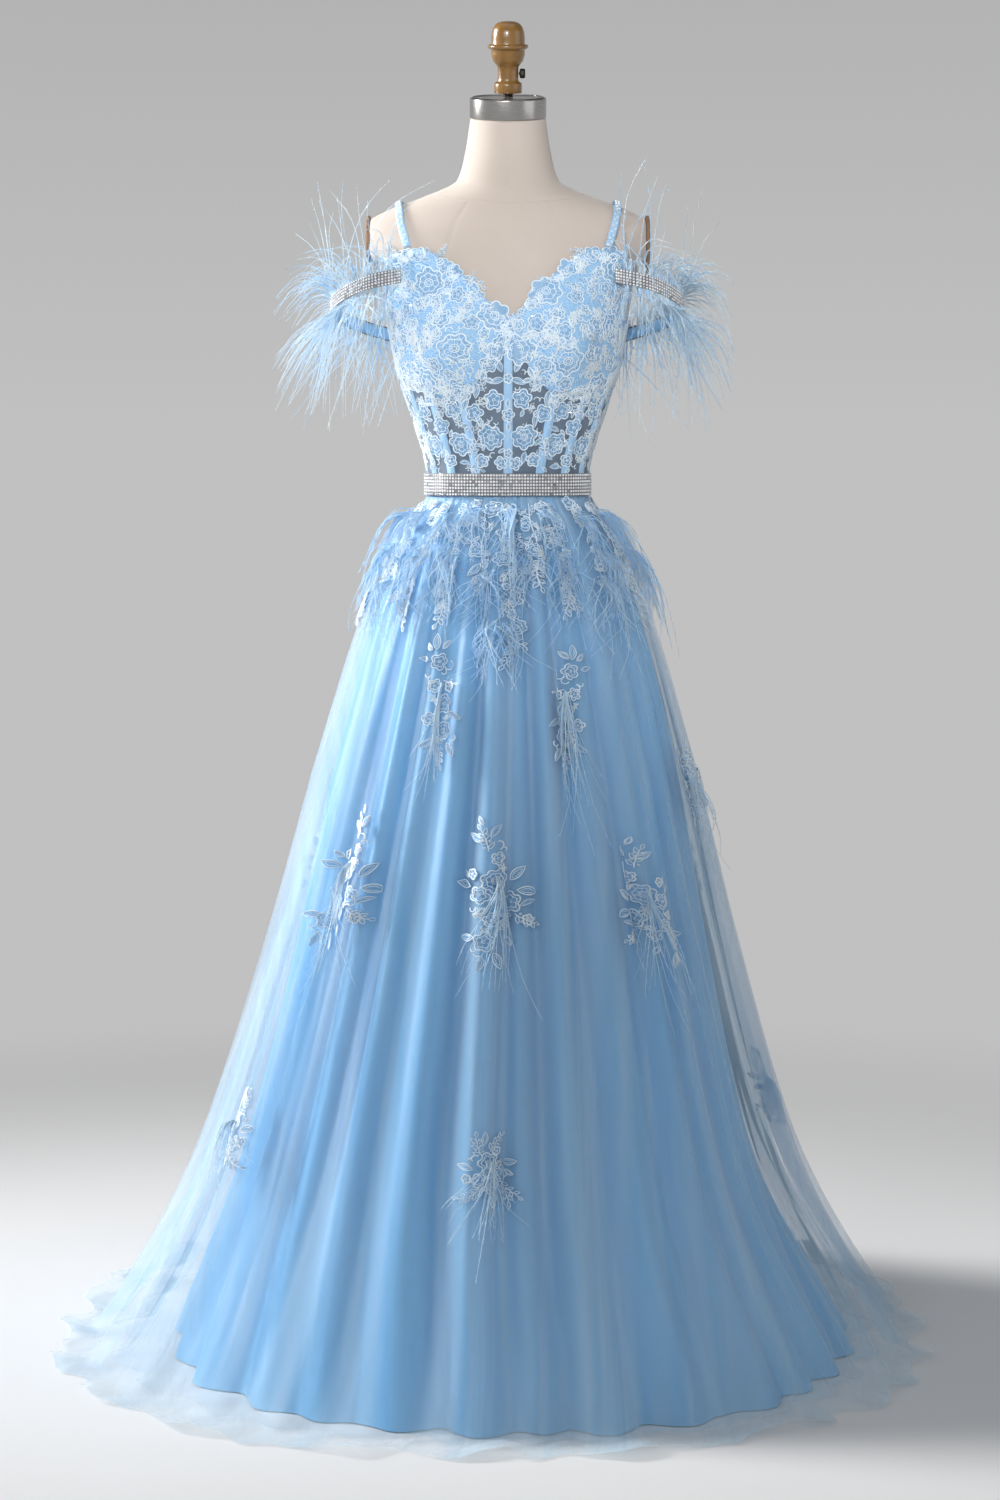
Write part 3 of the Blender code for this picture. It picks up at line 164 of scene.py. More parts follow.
# ---------------------------------------------------------------- the skirt
SATIN_ROWS = Smooth([  # row, z, side, front, back, shift, fold
    (0, 1.0964, 0.0992, 0.0815, 0.0765, 0, 0), (1, 1.081, 0.0998, 0.0820, 0.0771, 0, 0.0002),
    (2, 1.035, 0.123, 0.109, 0.107, 0, 0.0030), (3, 0.950, 0.158, 0.142, 0.150, 0, 0.0070),
    (4, 0.760, 0.204, 0.197, 0.223, -0.002, 0.0120), (5, 0.510, 0.249, 0.272, 0.308, -0.007, 0.0170),
    (6, 0.240, 0.311, 0.358, 0.392, -0.012, 0.0210), (7, 0.000, 0.420, 0.447, 0.482, 0.006, 0.0220),
])
TULLE_ROWS = Smooth([
    (0, 1.0964, 0.1011, 0.0834, 0.0784, 0, 0), (1, 1.081, 0.1017, 0.0839, 0.0790, 0, 0.0002),
    (2, 1.035, 0.129, 0.114, 0.113, 0, 0.0032), (3, 0.950, 0.171, 0.148, 0.158, 0, 0.0078),
    (4, 0.760, 0.227, 0.205, 0.235, -0.002, 0.0130), (5, 0.510, 0.289, 0.283, 0.328, -0.007, 0.0180),
    (6, 0.240, 0.372, 0.372, 0.434, -0.012, 0.0220), (7, 0.075, 0.462, 0.446, 0.556, -0.010, 0.0220),
    (8, 0.000, 0.518, 0.500, 0.640, -0.014, 0.0180), (9, 0.000, 0.550, 0.545, 0.706, -0.018, 0.0140),
])
SIDE_SEAM = 86.0
Fold = namedtuple("Fold", "angle width height start")
FOLDS = [
    Fold(-75, 7.0, 0.80, 1), Fold(-58, 6.5, 0.95, 2), Fold(-41, 4.8, 0.80, 1), Fold(-30, 4.0, 0.70, 2),
    Fold(-17.5, 4.2, 0.75, 1), Fold(-5, 4.4, 1.00, 1), Fold(4.5, 3.2, 0.55, 3), Fold(14, 4.4, 1.00, 0),
    Fold(27, 4.6, 0.85, 2), Fold(42, 5.0, 0.80, 0), Fold(53, 4.2, 0.65, 2), Fold(64, 4.6, 0.80, 1),
    Fold(78, 5.6, 0.90, 0), Fold(94, 5.6, 0.85, 2), Fold(108, 5.2, 0.70, 1), Fold(123, 5.6, 0.95, 0),
    Fold(138, 5.4, 0.80, 2), Fold(153, 5.6, 0.95, 1), Fold(168, 5.0, 0.70, 2), Fold(-167, 5.2, 0.80, 2),
    Fold(-152, 5.6, 0.95, 1), Fold(-137, 5.4, 0.75, 0), Fold(-122, 5.6, 0.90, 2), Fold(-108, 5.2, 0.75, 1),
    Fold(-93, 5.6, 0.90, 0),
]
# smaller creases between the folds. depth is in millimetres at the hem, and below 0 for a trough. They start
# at one row, fade out at another, and drift sideways by so many degrees on the way down
Crease = namedtuple("Crease", "angle width depth start end drift")
CREASES = [
    Crease(-83, 2.2, 5, 2.0, 9.0, -2), Crease(-66, 2.6, -7, 1.4, 9.0, 1),
    Crease(-50, 2.0, -8, 1.2, 9.0, 1), Crease(-35, 1.7, -7, 1.0, 6.8, -1),
    Crease(-24, 1.8, 6, 2.2, 9.0, 2), Crease(-11, 1.9, -11, 1.4, 9.0, 0),
    Crease(-8.5, 1.3, 4, 0.6, 4.2, -3), Crease(0.4, 1.5, -7, 2.0, 9.0, 1),
    Crease(9, 1.8, -12, 1.2, 9.0, 0), Crease(19.5, 1.8, -9, 1.0, 9.0, 2),
    Crease(23, 1.4, 4, 0.8, 5.0, -2), Crease(33, 1.9, 7, 2.4, 9.0, 2), Crease(36, 1.6, -8, 1.2, 7.2, 0),
    Crease(47.5, 1.8, -8, 2.0, 9.0, 1), Crease(58.5, 1.9, -9, 1.0, 9.0, 0),
    Crease(71, 2.2, -8, 1.6, 9.0, 2), Crease(86, 2.4, -9, 1.2, 9.0, -1),
    Crease(101, 2.4, -9, 1.4, 9.0, 2), Crease(104, 1.6, 4, 0.8, 5.2, -3),
    Crease(115.5, 2.6, -10, 1.0, 9.0, 0), Crease(130, 2.4, -9, 1.8, 9.0, 2),
    Crease(134, 1.6, 5, 2.6, 9.0, 3), Crease(145.5, 2.4, -11, 1.0, 9.0, -1),
    Crease(160, 2.4, -9, 1.2, 9.0, 1), Crease(172.5, 1.9, 5, 0.8, 5.6, 2),
    Crease(178.5, 2.2, -10, 1.6, 9.0, 0), Crease(-172, 1.6, 5, 2.2, 9.0, 1),
    Crease(-159.5, 2.4, -10, 1.0, 9.0, -2), Crease(-144.5, 2.4, -9, 1.4, 9.0, 1),
    Crease(-141, 1.6, 4, 0.8, 5.0, 2), Crease(-129.5, 2.4, -10, 1.8, 9.0, 0),
    Crease(-115, 2.4, -9, 1.0, 9.0, -1), Crease(-112, 1.6, 5, 2.4, 9.0, 2),
    Crease(-100.5, 2.4, -9, 1.4, 9.0, 2),
]
# gathers let into the waist seam: how many waves, their size in millimetres and their turn in degrees
Gather = namedtuple("Gather", "waves size turn")
GATHERS = [Gather(61, 0.7, 10), Gather(83, 0.5, 200), Gather(47, 0.5, 95), Gather(107, 0.3, 310)]
RIPPLES = [Gather(29, 2.2, 40), Gather(53, 1.5, 170), Gather(71, 1.2, 300), Gather(97, 0.8, 75)]
HEM_WAVES = [Gather(19, 5.0, 0), Gather(31, 3.5, 120), Gather(8, 5.0, 250), Gather(47, 2.0, 60)]
FOLD_CREST, FOLD_TROUGH = 1.55, 0.5
CREASE_PART, SHORT_CREASE = 0.80, 1.6  # of a crease's depth, for all and for those that end above the hem
SATIN_CLEAR, TULLE_CLEAR = 0.6 * MM, 0.9 * MM  # over the floor
TULLE_ROOM = 2.2 * MM  # between the satin and the tulle, down to where the tulle lies on the floor
TULLE_FLOOR_ROW = 7.4


def waves(table, angle):
    return sum(w.size * np.cos(np.radians(w.waves * angle + w.turn)) for w in table)


def fold_height(angle, row):
    """The main folds, from about 0 in a trough to 1 on a crest."""
    height = 0
    for fold in FOLDS:
        grown = smooth_step(-0.15, 1.1, (row - fold.start) / 2.5)
        height = height + fold.height * grown * bell(turn_between(fold.angle, angle) / fold.width)
    return FOLD_CREST * height - FOLD_TROUGH * smooth_step(0.8, 3.0, row)


def crease_height(angle, row):
    """Metres: the small creases, and the gathers at the waist."""
    height = 0
    for crease in CREASES:
        grown = smooth_step(crease.start, crease.start + 3.5, row)
        if crease.end < 9:
            grown = grown * (1 - smooth_step(crease.end - 1.8, crease.end, row)) * SHORT_CREASE
        place = crease.angle + crease.drift * (row / 7 - 0.5)
        height = height + crease.depth * MM * grown * bell(turn_between(place, angle) / crease.width)
    gathered = smooth_step(0.4, 1.4, row) * (1 - smooth_step(2.0, 4.4, row))
    return height * CREASE_PART + gathered * MM * waves(GATHERS, angle)


ROW_STEPS = np.linspace(0, 7, 1401)
SATIN_HEIGHTS = SATIN_ROWS.at(ROW_STEPS)[0]
TULLE_STEPS = np.linspace(0, 8, 1601)
TULLE_HEIGHTS = TULLE_ROWS.at(TULLE_STEPS)[0]


def satin_row(z):
    return np.interp(-np.asarray(z, float), -SATIN_HEIGHTS, ROW_STEPS)


def tulle_row(z):
    return np.interp(-np.asarray(z, float), -TULLE_HEIGHTS, TULLE_STEPS)


def satin_radius(angle, row):
    _, side, front, back, _, fold = SATIN_ROWS.at(row)
    folded = section_radius(angle, side, front, back) + fold * fold_height(angle, row)
    return folded + crease_height(angle, row)


def satin_at(angle, row):
    angle, row = np.broadcast_arrays(np.asarray(angle, float), np.asarray(row, float))
    z, _, _, _, shift, _ = SATIN_ROWS.at(row)
    point = heading(angle) * satin_radius(angle, row)[..., None]
    return point + np.stack([shift, np.zeros_like(z), z + SATIN_CLEAR], -1)


def tulle_radius(angle, row, between):
    """The tulle's radius, or that of a layer between the satin, 0, and the tulle, 1."""
    z, side, front, back, _, fold = TULLE_ROWS.at(row)
    radius = section_radius(angle, side, front, back) + fold * fold_height(angle, row)
    radius = radius + crease_height(angle, row) * 0.8
    under = satin_radius(angle, satin_row(z))
    room = np.where(row < TULLE_FLOOR_ROW, TULLE_ROOM, 0)
    radius = np.maximum(radius, under + room)
    return under + (radius - under) * between


def tulle_at(angle, row, between=1.0, ripple=1.0):
    """The tulle's surface. ripple 0 leaves out its fine ripples."""
    angle, row = np.broadcast_arrays(np.asarray(angle, float), np.asarray(row, float))
    z, _, _, _, shift, _ = TULLE_ROWS.at(row)
    fine = np.minimum(smooth_step(1.5, 5.0, row), 1) * (0.35 + 0.65 * smooth_step(4, 8, row))
    shaken = waves(RIPPLES, angle + (1 - between) * 23 + row * 0.7) * MM * fine * ripple
    shaken = np.where(row < 6, np.maximum(shaken, -1.2 * MM * between), shaken)
    spill = smooth_step(7.0, 9.0, row)
    radius = tulle_radius(angle, row, between) + shaken + spill * waves(HEM_WAVES, angle) * MM * 0.9
    curl = (0.5 + 0.5 * np.cos(np.radians(19 * angle + 40 * np.sin(np.radians(5 * angle))))) ** 2
    lift = TULLE_CLEAR + spill * 11 * MM * curl * between + (1 - spill) * 0.2 * MM
    lift = lift + smooth_step(6.6, 7.6, row) * (1.2 * MM + waves(RIPPLES, angle * 1.3 + 20) * 0.2 * MM)
    point = heading(angle) * radius[..., None]
    return point + np.stack([shift, np.zeros_like(z), z + lift], -1)


def calm_tulle(angle, row):
    return tulle_at(angle, row, 1.0, 0.0)


def on_tulle(angle, z, lift):
    """A point this far outside the tulle, at a height."""
    row = tulle_row(z)
    lift = np.asarray(lift, float)[..., None]
    return tulle_at(angle, row) + outward(calm_tulle, angle, row, 0.5, 0.03) * lift


# ---------------------------------------------------------------- meshes
class Pile:
    """The points and faces of one piece, gathered part by part."""

    def __init__(self):
        self.points, self.quads, self.tris, self.tones, self.places = [], [], [], [], []
        self.count = 0

    def add(self, points, quads=(), tris=(), tone=0.5, places=None):
        points = np.asarray(points, float).reshape(-1, 3)
        if len(quads):
            self.quads.append(np.asarray(quads, int).reshape(-1, 4) + self.count)
        if len(tris):
            self.tris.append(np.asarray(tris, int).reshape(-1, 3) + self.count)
        self.points.append(points)
        self.tones.append(np.broadcast_to(np.asarray(tone, float), (len(points),)))
        self.places.append(np.zeros((len(points), 2)) if places is None else np.reshape(places, (-1, 2)))
        self.count += len(points)

    def joined(self):
        """Its points, quads, triangles and tones, each as one array."""
        quads = np.concatenate(self.quads) if self.quads else np.zeros((0, 4), int)
        tris = np.concatenate(self.tris) if self.tris else np.zeros((0, 3), int)
        return np.concatenate(self.points), quads, tris, np.concatenate(self.tones)

    def mapped(self, surface):
        """The same pile, laid on surface(angle, z, lift)."""
        points = np.concatenate(self.points)
        self.points = [surface(points[:, 0], points[:, 1], points[:, 2])]
        return self

    def piece(self, name, material, slot, body=GOWN, stands_for=(), smooth=True):
        mesh = bpy.data.meshes.new(name)
        points, quads, tris, tones = self.joined()
        mesh.vertices.add(len(points))
        mesh.vertices.foreach_set("co", points.astype(np.float32).ravel())
        corners = np.concatenate([quads.ravel(), tris.ravel()]).astype(np.int32)
        mesh.loops.add(len(corners))
        mesh.loops.foreach_set("vertex_index", corners)
        starts = np.concatenate([np.arange(len(quads)) * 4, len(quads) * 4 + np.arange(len(tris)) * 3])
        mesh.polygons.add(len(starts))
        mesh.polygons.foreach_set("loop_start", starts.astype(np.int32))
        mesh.polygons.foreach_set("use_smooth", np.full(len(starts), smooth))
        mesh.update(calc_edges=True)
        attribute = mesh.attributes.new("tone", "FLOAT", "POINT")
        attribute.data.foreach_set("value", tones.astype(np.float32))
        uv = mesh.uv_layers.new(name="cloth")
        uv.data.foreach_set("uv", np.concatenate(self.places)[corners].astype(np.float32).ravel())
        mesh.materials.append(material)
        made = bpy.data.objects.new(name, mesh)
        bpy.context.scene.collection.objects.link(made)
        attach(made, body)
        if stands_for:
            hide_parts(*stands_for)
        return made


def grid_faces(rows, columns, closed=False, turned=False):
    """Quads over rows of points that run down, with columns that run towards +X as seen from outside."""
    i, j = np.meshgrid(np.arange(rows - 1), np.arange(columns if closed else columns - 1), indexing="ij")
    k = (j + 1) % columns
    faces = np.stack([i * columns + j, (i + 1) * columns + j, (i + 1) * columns + k, i * columns + k], -1)
    faces = faces.reshape(-1, 4)
    return faces[:, ::-1] if turned else faces


def lengths(points):
    """How far each point of a grid lies along its row and down its column."""
    across = np.linalg.norm(np.diff(points, axis=1), axis=-1)
    down = np.linalg.norm(np.diff(points, axis=0), axis=-1)
    u = np.concatenate([np.zeros((len(points), 1)), np.cumsum(across, 1)], 1)
    v = np.concatenate([np.zeros((1, points.shape[1])), np.cumsum(down, 0)], 0)
    middle = u[:, u.shape[1] // 2][:, None]
    return np.stack([u - middle, -v], -1)


def add_sheet(pile, points, tone, closed=False, turned=False):
    """A grid of points as one side of a cloth."""
    rows, columns = points.shape[:2]
    places = lengths(points)
    if np.ndim(tone):
        tone = np.broadcast_to(tone, (rows, columns)).ravel()
    pile.add(points, grid_faces(rows, columns, closed, turned), tone=tone, places=places)


def add_wall(pile, inside, outside, tone=0.5):
    """A closed wall between two grids of points."""
    rows, columns = outside.shape[:2]
    foot, end = rows - 1, columns - 1
    start = pile.count
    add_sheet(pile, outside, tone)
    add_sheet(pile, inside, tone, turned=True)

    def at(side, i, j):
        return side * rows * columns + i * columns + j

    j, i = np.arange(end), np.arange(foot)
    edges = [
        np.stack([at(1, 0, j), at(0, 0, j), at(0, 0, j + 1), at(1, 0, j + 1)], -1),
        np.stack([at(0, foot, j), at(1, foot, j), at(1, foot, j + 1), at(0, foot, j + 1)], -1),
        np.stack([at(1, i, 0), at(1, i + 1, 0), at(0, i + 1, 0), at(0, i, 0)], -1),
        np.stack([at(0, i, end), at(0, i + 1, end), at(1, i + 1, end), at(1, i, end)], -1),
    ]
    pile.quads.append(np.concatenate(edges) + start)


def full_turn(steps):
    return np.linspace(0, 2 * math.pi, steps, endpoint=False)


def fan_faces(count, middle):
    """Triangles from a ring of points to the one in its middle."""
    j = np.arange(count)
    return np.stack([j, (j + 1) % count, np.full(count, middle)], -1)


# ---------------------------------------------------------------- materials
class Paint:
    """A node material, with a Principled shader and short calls for the nodes that feed it."""

    def __init__(self, name, **values):
        self.material = bpy.data.materials.new(name)
        self.material.use_nodes = True
        self.tree = self.material.node_tree
        self.shader = self.tree.nodes["Principled BSDF"]
        for key, value in values.items():
            self.shader.inputs[key.replace("_", " ")].default_value = value

    def node(self, kind, inputs=(), output=0, **settings):
        made = self.tree.nodes.new(kind)
        for key, value in settings.items():
            setattr(made, key, value)
        for key, value in dict(inputs).items():
            if isinstance(value, bpy.types.NodeSocket):
                self.tree.links.new(value, made.inputs[key])
            else:
                made.inputs[key].default_value = value
        return made.outputs[output]

    def link(self, value, socket):
        self.tree.links.new(value, self.shader.inputs[socket])

    def tone(self):
        return self.node("ShaderNodeAttribute", output=2, attribute_name="tone")

    def coords(self, scale=(1, 1, 1), of="Object"):
        source = self.tree.nodes.new("ShaderNodeTexCoord")
        return self.node("ShaderNodeMapping", {"Vector": source.outputs[of], "Scale": scale})

    def noise(self, vector, scale, detail, rough=0.5):
        return self.node("ShaderNodeTexNoise", {"Vector": vector, "Scale": scale, "Detail": detail,
                                                "Roughness": rough})

    def wave(self, vector, scale, axis="X", distortion=0.0):
        return self.node("ShaderNodeTexWave", {"Vector": vector, "Scale": scale, "Distortion": distortion},
                         output=1, bands_direction=axis)

    def cells(self, vector, scale, **settings):
        return self.node("ShaderNodeTexVoronoi", {"Vector": vector, "Scale": scale}, **settings)

    def maths(self, operation, a, b, c=0.0):
        return self.node("ShaderNodeMath", {0: a, 1: b, 2: c}, operation=operation)

    def ramp(self, value, *stops):
        """Colours, or grey levels, at places from 0 to 1."""
        made = self.tree.nodes.new("ShaderNodeValToRGB")
        self.tree.links.new(value, made.inputs[0])
        colours = made.color_ramp.elements
        while len(colours) < len(stops):
            colours.new(0.5)
        for element, (place, colour) in zip(colours, sorted(stops, key=lambda stop: stop[0])):
            element.position = place
            element.color = (colour,) * 3 + (1,) if np.isscalar(colour) else (*colour, 1)
        return made.outputs[0]

    def mix(self, part, one, other, kind="MIX"):
        made = self.tree.nodes.new("ShaderNodeMix")
        made.data_type = "RGBA"
        made.blend_type = kind
        for socket, value in ((made.inputs[0], part), (made.inputs[6], one), (made.inputs[7], other)):
            if isinstance(value, bpy.types.NodeSocket):
                self.tree.links.new(value, socket)
            else:
                socket.default_value = value if np.isscalar(value) else (*value, 1)
        return made.outputs[2]

    def bump(self, height, strength, distance):
        self.link(self.node("ShaderNodeBump", {"Height": height, "Strength": strength, "Distance": distance}),
                  "Normal")


LINEN_LIGHT, LINEN_DARK = (0.61, 0.535, 0.48), (0.55, 0.48, 0.425)
SATIN_LIGHT, SATIN_DARK = (0.22, 0.56, 0.90), (0.14, 0.46, 0.84)
TULLE_LIGHT, TULLE_DARK = (0.66, 0.82, 0.92), (0.46, 0.71, 0.90)
# lace colours by tone: the thread's own blues, with the net between the cords painted dark as shade
LACE_LIGHT, LACE_MID, LACE_SHADED_NET = (0.84, 0.93, 0.99), (0.46, 0.69, 0.92), (0.15, 0.40, 0.74)
FEATHER_LIGHT, FEATHER_DARK = (0.74, 0.90, 1.0), (0.30, 0.60, 0.94)
CUP_LIGHT, CUP_MID, CUP_DARK = (0.56, 0.77, 0.95), (0.32, 0.58, 0.86), (0.17, 0.42, 0.74)
MESH_LIGHT, MESH_DARK = (0.16, 0.22, 0.30), (0.10, 0.15, 0.22)
# rhinestone colours, dark grey to white: painted reflections and highlights
STONE_GLINT_STOPS = [(0.0, (0.26, 0.27, 0.29)), (0.35, (0.72, 0.73, 0.76)), (0.7, (0.98, 0.98, 1.0)),
               (1.0, (1.0, 1.0, 1.0))]
# crystal colours: white, with painted coloured glints
CRYSTAL_GLINT_STOPS = [(0.0, (0.95, 0.97, 1.0)), (0.55, (0.90, 0.95, 1.0)), (0.68, (1.0, 0.55, 0.35)),
                 (0.80, (0.45, 0.9, 0.75)), (0.92, (0.6, 0.65, 1.0))]
# the stage, in metres: its size, how far its floor stays plain, and how far out it has turned into backdrop
STAGE_REACH, WALL_TOP = 10.5, 5.6
FLOOR_REACH, BACKDROP_REACH = 0.9, 2.5
FLOOR_LIGHT, FLOOR_DARK = (0.83, 0.83, 0.83), (0.81, 0.81, 0.81)
# the backdrop's glow by height, a painted light that dims towards its top
BACKDROP_GLOW_STOPS = [(0.0, (0.53, 0.53, 0.53)), (0.22, (0.53, 0.53, 0.53)), (0.55, (0.45, 0.45, 0.45))]


def linen_paint():
    paint = Paint("linen", Roughness=0.85, Sheen_Weight=0.25, Sheen_Roughness=0.5)
    fine = paint.coords()
    warp = paint.wave(fine, 520, "Z")
    weft = paint.wave(fine, 520, "DIAGONAL")
    weave = paint.maths("MULTIPLY", warp, weft)
    slub = paint.noise(paint.coords((90, 90, 900)), 1.0, 4)
    patch = paint.noise(paint.coords(), 9.0, 3)
    base = paint.ramp(patch, (0.3, LINEN_DARK), (0.7, LINEN_LIGHT))
    base = paint.mix(paint.maths("MULTIPLY", slub, 0.16), base, LINEN_DARK)
    seam = paint.ramp(paint.tone(), (0.0, 0.55), (0.5, 1.0))
    paint.link(paint.mix(1.0, base, seam, "MULTIPLY"), "Base Color")
    paint.bump(paint.maths("ADD", weave, slub), 0.25, 0.15 * MM)
    return paint.material


def satin_paint():
    paint = Paint("satin", Roughness=0.42, Sheen_Weight=0.3, Sheen_Roughness=0.35)
    flow = paint.noise(paint.coords((26, 2.2, 1), "UV"), 1.0, 3)
    patch = paint.noise(paint.coords(), 3.0, 2)
    value = paint.maths("ADD", paint.maths("MULTIPLY", flow, 0.6), paint.maths("MULTIPLY", patch, 0.4))
    paint.link(paint.ramp(value, (0.3, SATIN_DARK), (0.7, SATIN_LIGHT)), "Base Color")
    paint.link(paint.ramp(flow, (0.2, 0.30), (0.8, 0.42)), "Roughness")
    thread = paint.wave(paint.coords(of="UV"), 900)
    paint.bump(paint.maths("ADD", paint.maths("MULTIPLY", thread, 0.25), flow), 0.18, 0.5 * MM)
    return paint.material


def tulle_paint(name, thin, dense):
    """Net that shows what lies under it: tone is how closely it is gathered, from 0 to 1."""
    paint = Paint(name, Roughness=0.7, Sheen_Weight=0.5, Sheen_Roughness=0.4)
    streak = paint.noise(paint.coords((46, 1.1, 1), "UV"), 1.0, 4, 0.6)
    patch = paint.noise(paint.coords(), 4.0, 2)
    paint.link(paint.ramp(streak, (0.3, TULLE_DARK), (0.75, TULLE_LIGHT)), "Base Color")
    net = paint.cells(paint.coords(of="UV"), 620.0, feature="DISTANCE_TO_EDGE", voronoi_dimensions="2D")
    net = paint.ramp(net, (0.0, 1.0), (0.28, 0.72))
    veil = paint.ramp(paint.noise(paint.coords((9, 0.45, 1), "UV"), 1.0, 2), (0.35, 0.0), (0.62, 1.0))
    value = paint.maths("MULTIPLY_ADD", streak, 0.35, paint.maths("MULTIPLY", patch, 0.15))
    value = paint.maths("MULTIPLY_ADD", veil, 0.30, value)
    value = paint.maths("ADD", value, paint.maths("MULTIPLY_ADD", paint.tone(), 0.9, -0.50))
    value = paint.ramp(value, (0.0, thin), (0.5, (thin + dense) / 2), (0.95, dense))
    paint.link(paint.maths("MULTIPLY", value, net), "Alpha")
    return paint.material


def lace_paint():
    """Corded embroidery: tone is 1 on a cord's crown and 0 on the net between. Its colour is partly the
    thread's own light blue and partly painted shade: the net between the cords is painted dark, and the
    cords' flanks are painted darker than their crowns.
    """
    paint = Paint("lace", Roughness=0.55, Sheen_Weight=0.35, Sheen_Roughness=0.4)
    patch = paint.noise(paint.coords(), 130.0, 3)
    thread = paint.noise(paint.coords(), 1500.0, 2)
    value = paint.maths("ADD", paint.tone(), paint.maths("MULTIPLY_ADD", patch, 0.5, -0.25))
    paint.link(paint.ramp(value, (0.1, LACE_SHADED_NET), (0.5, LACE_MID), (0.9, LACE_LIGHT)), "Base Color")
    paint.link(paint.ramp(paint.tone(), (0.05, 0.30), (0.45, 1.0)), "Alpha")
    paint.bump(paint.maths("ADD", thread, patch), 0.5, 0.25 * MM)
    return paint.material


def cup_paint():
    paint = Paint("cup_cloth", Roughness=0.6, Sheen_Weight=0.4, Sheen_Roughness=0.4)
    stitch = paint.cells(paint.coords(), 420.0)
    scroll = paint.wave(paint.coords(), 170, "DIAGONAL", 9.0)
    value = paint.maths("ADD", paint.maths("MULTIPLY", stitch, 0.5), paint.maths("MULTIPLY", scroll, 0.5))
    paint.link(paint.ramp(value, (0.1, CUP_DARK), (0.5, CUP_MID), (0.9, CUP_LIGHT)), "Base Color")
    paint.bump(value, 0.6, 0.5 * MM)
    return paint.material


def mesh_paint():
    """Sheer net stretched over the form."""
    paint = Paint("sheer_mesh", Roughness=0.6, Sheen_Weight=0.3)
    net = paint.cells(paint.coords(), 900.0, feature="DISTANCE_TO_EDGE")
    patch = paint.noise(paint.coords(), 30.0, 3)
    paint.link(paint.ramp(patch, (0.3, MESH_DARK), (0.7, MESH_LIGHT)), "Base Color")
    paint.link(paint.ramp(net, (0.0, 1.0), (0.35, 0.80)), "Alpha")
    paint.bump(net, 0.3, 0.2 * MM)
    return paint.material


def ribbon_paint(name, light, dark, shine=0.45):
    paint = Paint(name, Roughness=shine, Sheen_Weight=0.3)
    grain = paint.wave(paint.coords(), 700, "Z")
    patch = paint.noise(paint.coords(), 60.0, 3)
    paint.link(paint.ramp(patch, (0.3, dark), (0.7, light)), "Base Color")
    paint.bump(grain, 0.3, 0.2 * MM)
    return paint.material


def stone_paint():
    """Cut glass on foil: tone is a stone's painted glint, from a dark reflection to a white highlight, with
    finer painted glints from noise.
    """
    paint = Paint("rhinestones", Metallic=0.1, Roughness=0.16, Coat_Weight=0.8)
    glint = paint.noise(paint.coords(), 500.0, 1)
    value = paint.maths("MULTIPLY_ADD", glint, 0.3, paint.maths("SUBTRACT", paint.tone(), 0.15))
    paint.link(paint.ramp(value, *STONE_GLINT_STOPS), "Base Color")
    return paint.material


def crystal_paint():
    """Small stones with a coloured glint painted into their colour by tone and fine noise."""
    paint = Paint("crystals", Metallic=0.7, Roughness=0.1, Coat_Weight=0.8)
    glint = paint.noise(paint.coords(), 700.0, 1)
    value = paint.maths("MULTIPLY_ADD", glint, 0.2, paint.maths("SUBTRACT", paint.tone(), 0.1))
    paint.link(paint.ramp(value, *CRYSTAL_GLINT_STOPS), "Base Color")
    return paint.material


def feather_paint():
    paint = Paint("feather", Roughness=0.7, Sheen_Weight=0.5, Sheen_Roughness=0.5)
    patch = paint.noise(paint.coords(), 45.0, 2)
    value = paint.maths("MULTIPLY_ADD", patch, 0.4, paint.maths("SUBTRACT", paint.tone(), 0.2))
    paint.link(paint.ramp(value, (0.1, FEATHER_DARK), (0.8, FEATHER_LIGHT)), "Base Color")
    return paint.material


def metal_paint(name, light, dark, roughness, grain=(1, 1, 1), scale=90.0, metallic=1.0, coat=0.0):
    paint = Paint(name, Metallic=metallic, Roughness=roughness, Coat_Weight=coat, Coat_Roughness=0.12)
    streak = paint.noise(paint.coords(grain), scale, 4, 0.6)
    paint.link(paint.ramp(streak, (0.3, dark), (0.7, light)), "Base Color")
    paint.link(paint.ramp(streak, (0.2, roughness * 0.8), (0.8, min(roughness * 1.3, 1))), "Roughness")
    paint.bump(streak, 0.15, 0.1 * MM)
    return paint.material


def stage_paint():
    """A pale floor that fades into a plain backdrop with a soft painted glow of its own, which dims towards
    the top.
    """
    paint = Paint("stage", Roughness=0.9, Specular_IOR_Level=0.0)
    place = paint.coords()
    patch = paint.noise(place, 1.4, 3)
    floor = paint.ramp(patch, (0.3, FLOOR_DARK), (0.7, FLOOR_LIGHT))
    reach = paint.node("ShaderNodeVectorMath", {0: place}, output=1, operation="LENGTH")
    fade = {"Value": reach, "From Min": FLOOR_REACH, "From Max": BACKDROP_REACH}
    far = paint.node("ShaderNodeMapRange", fade, interpolation_type="SMOOTHSTEP")
    height = paint.node("ShaderNodeSeparateXYZ", {"Vector": place}, output=2)
    glow = paint.ramp(paint.maths("MULTIPLY", height, 1 / WALL_TOP), *BACKDROP_GLOW_STOPS)
    paint.link(paint.mix(far, floor, (0.0, 0.0, 0.0)), "Base Color")
    paint.link(glow, "Emission Color")
    paint.link(far, "Emission Strength")
    paint.bump(paint.noise(place, 60.0, 3), 0.05, 1 * MM)
    return paint.material


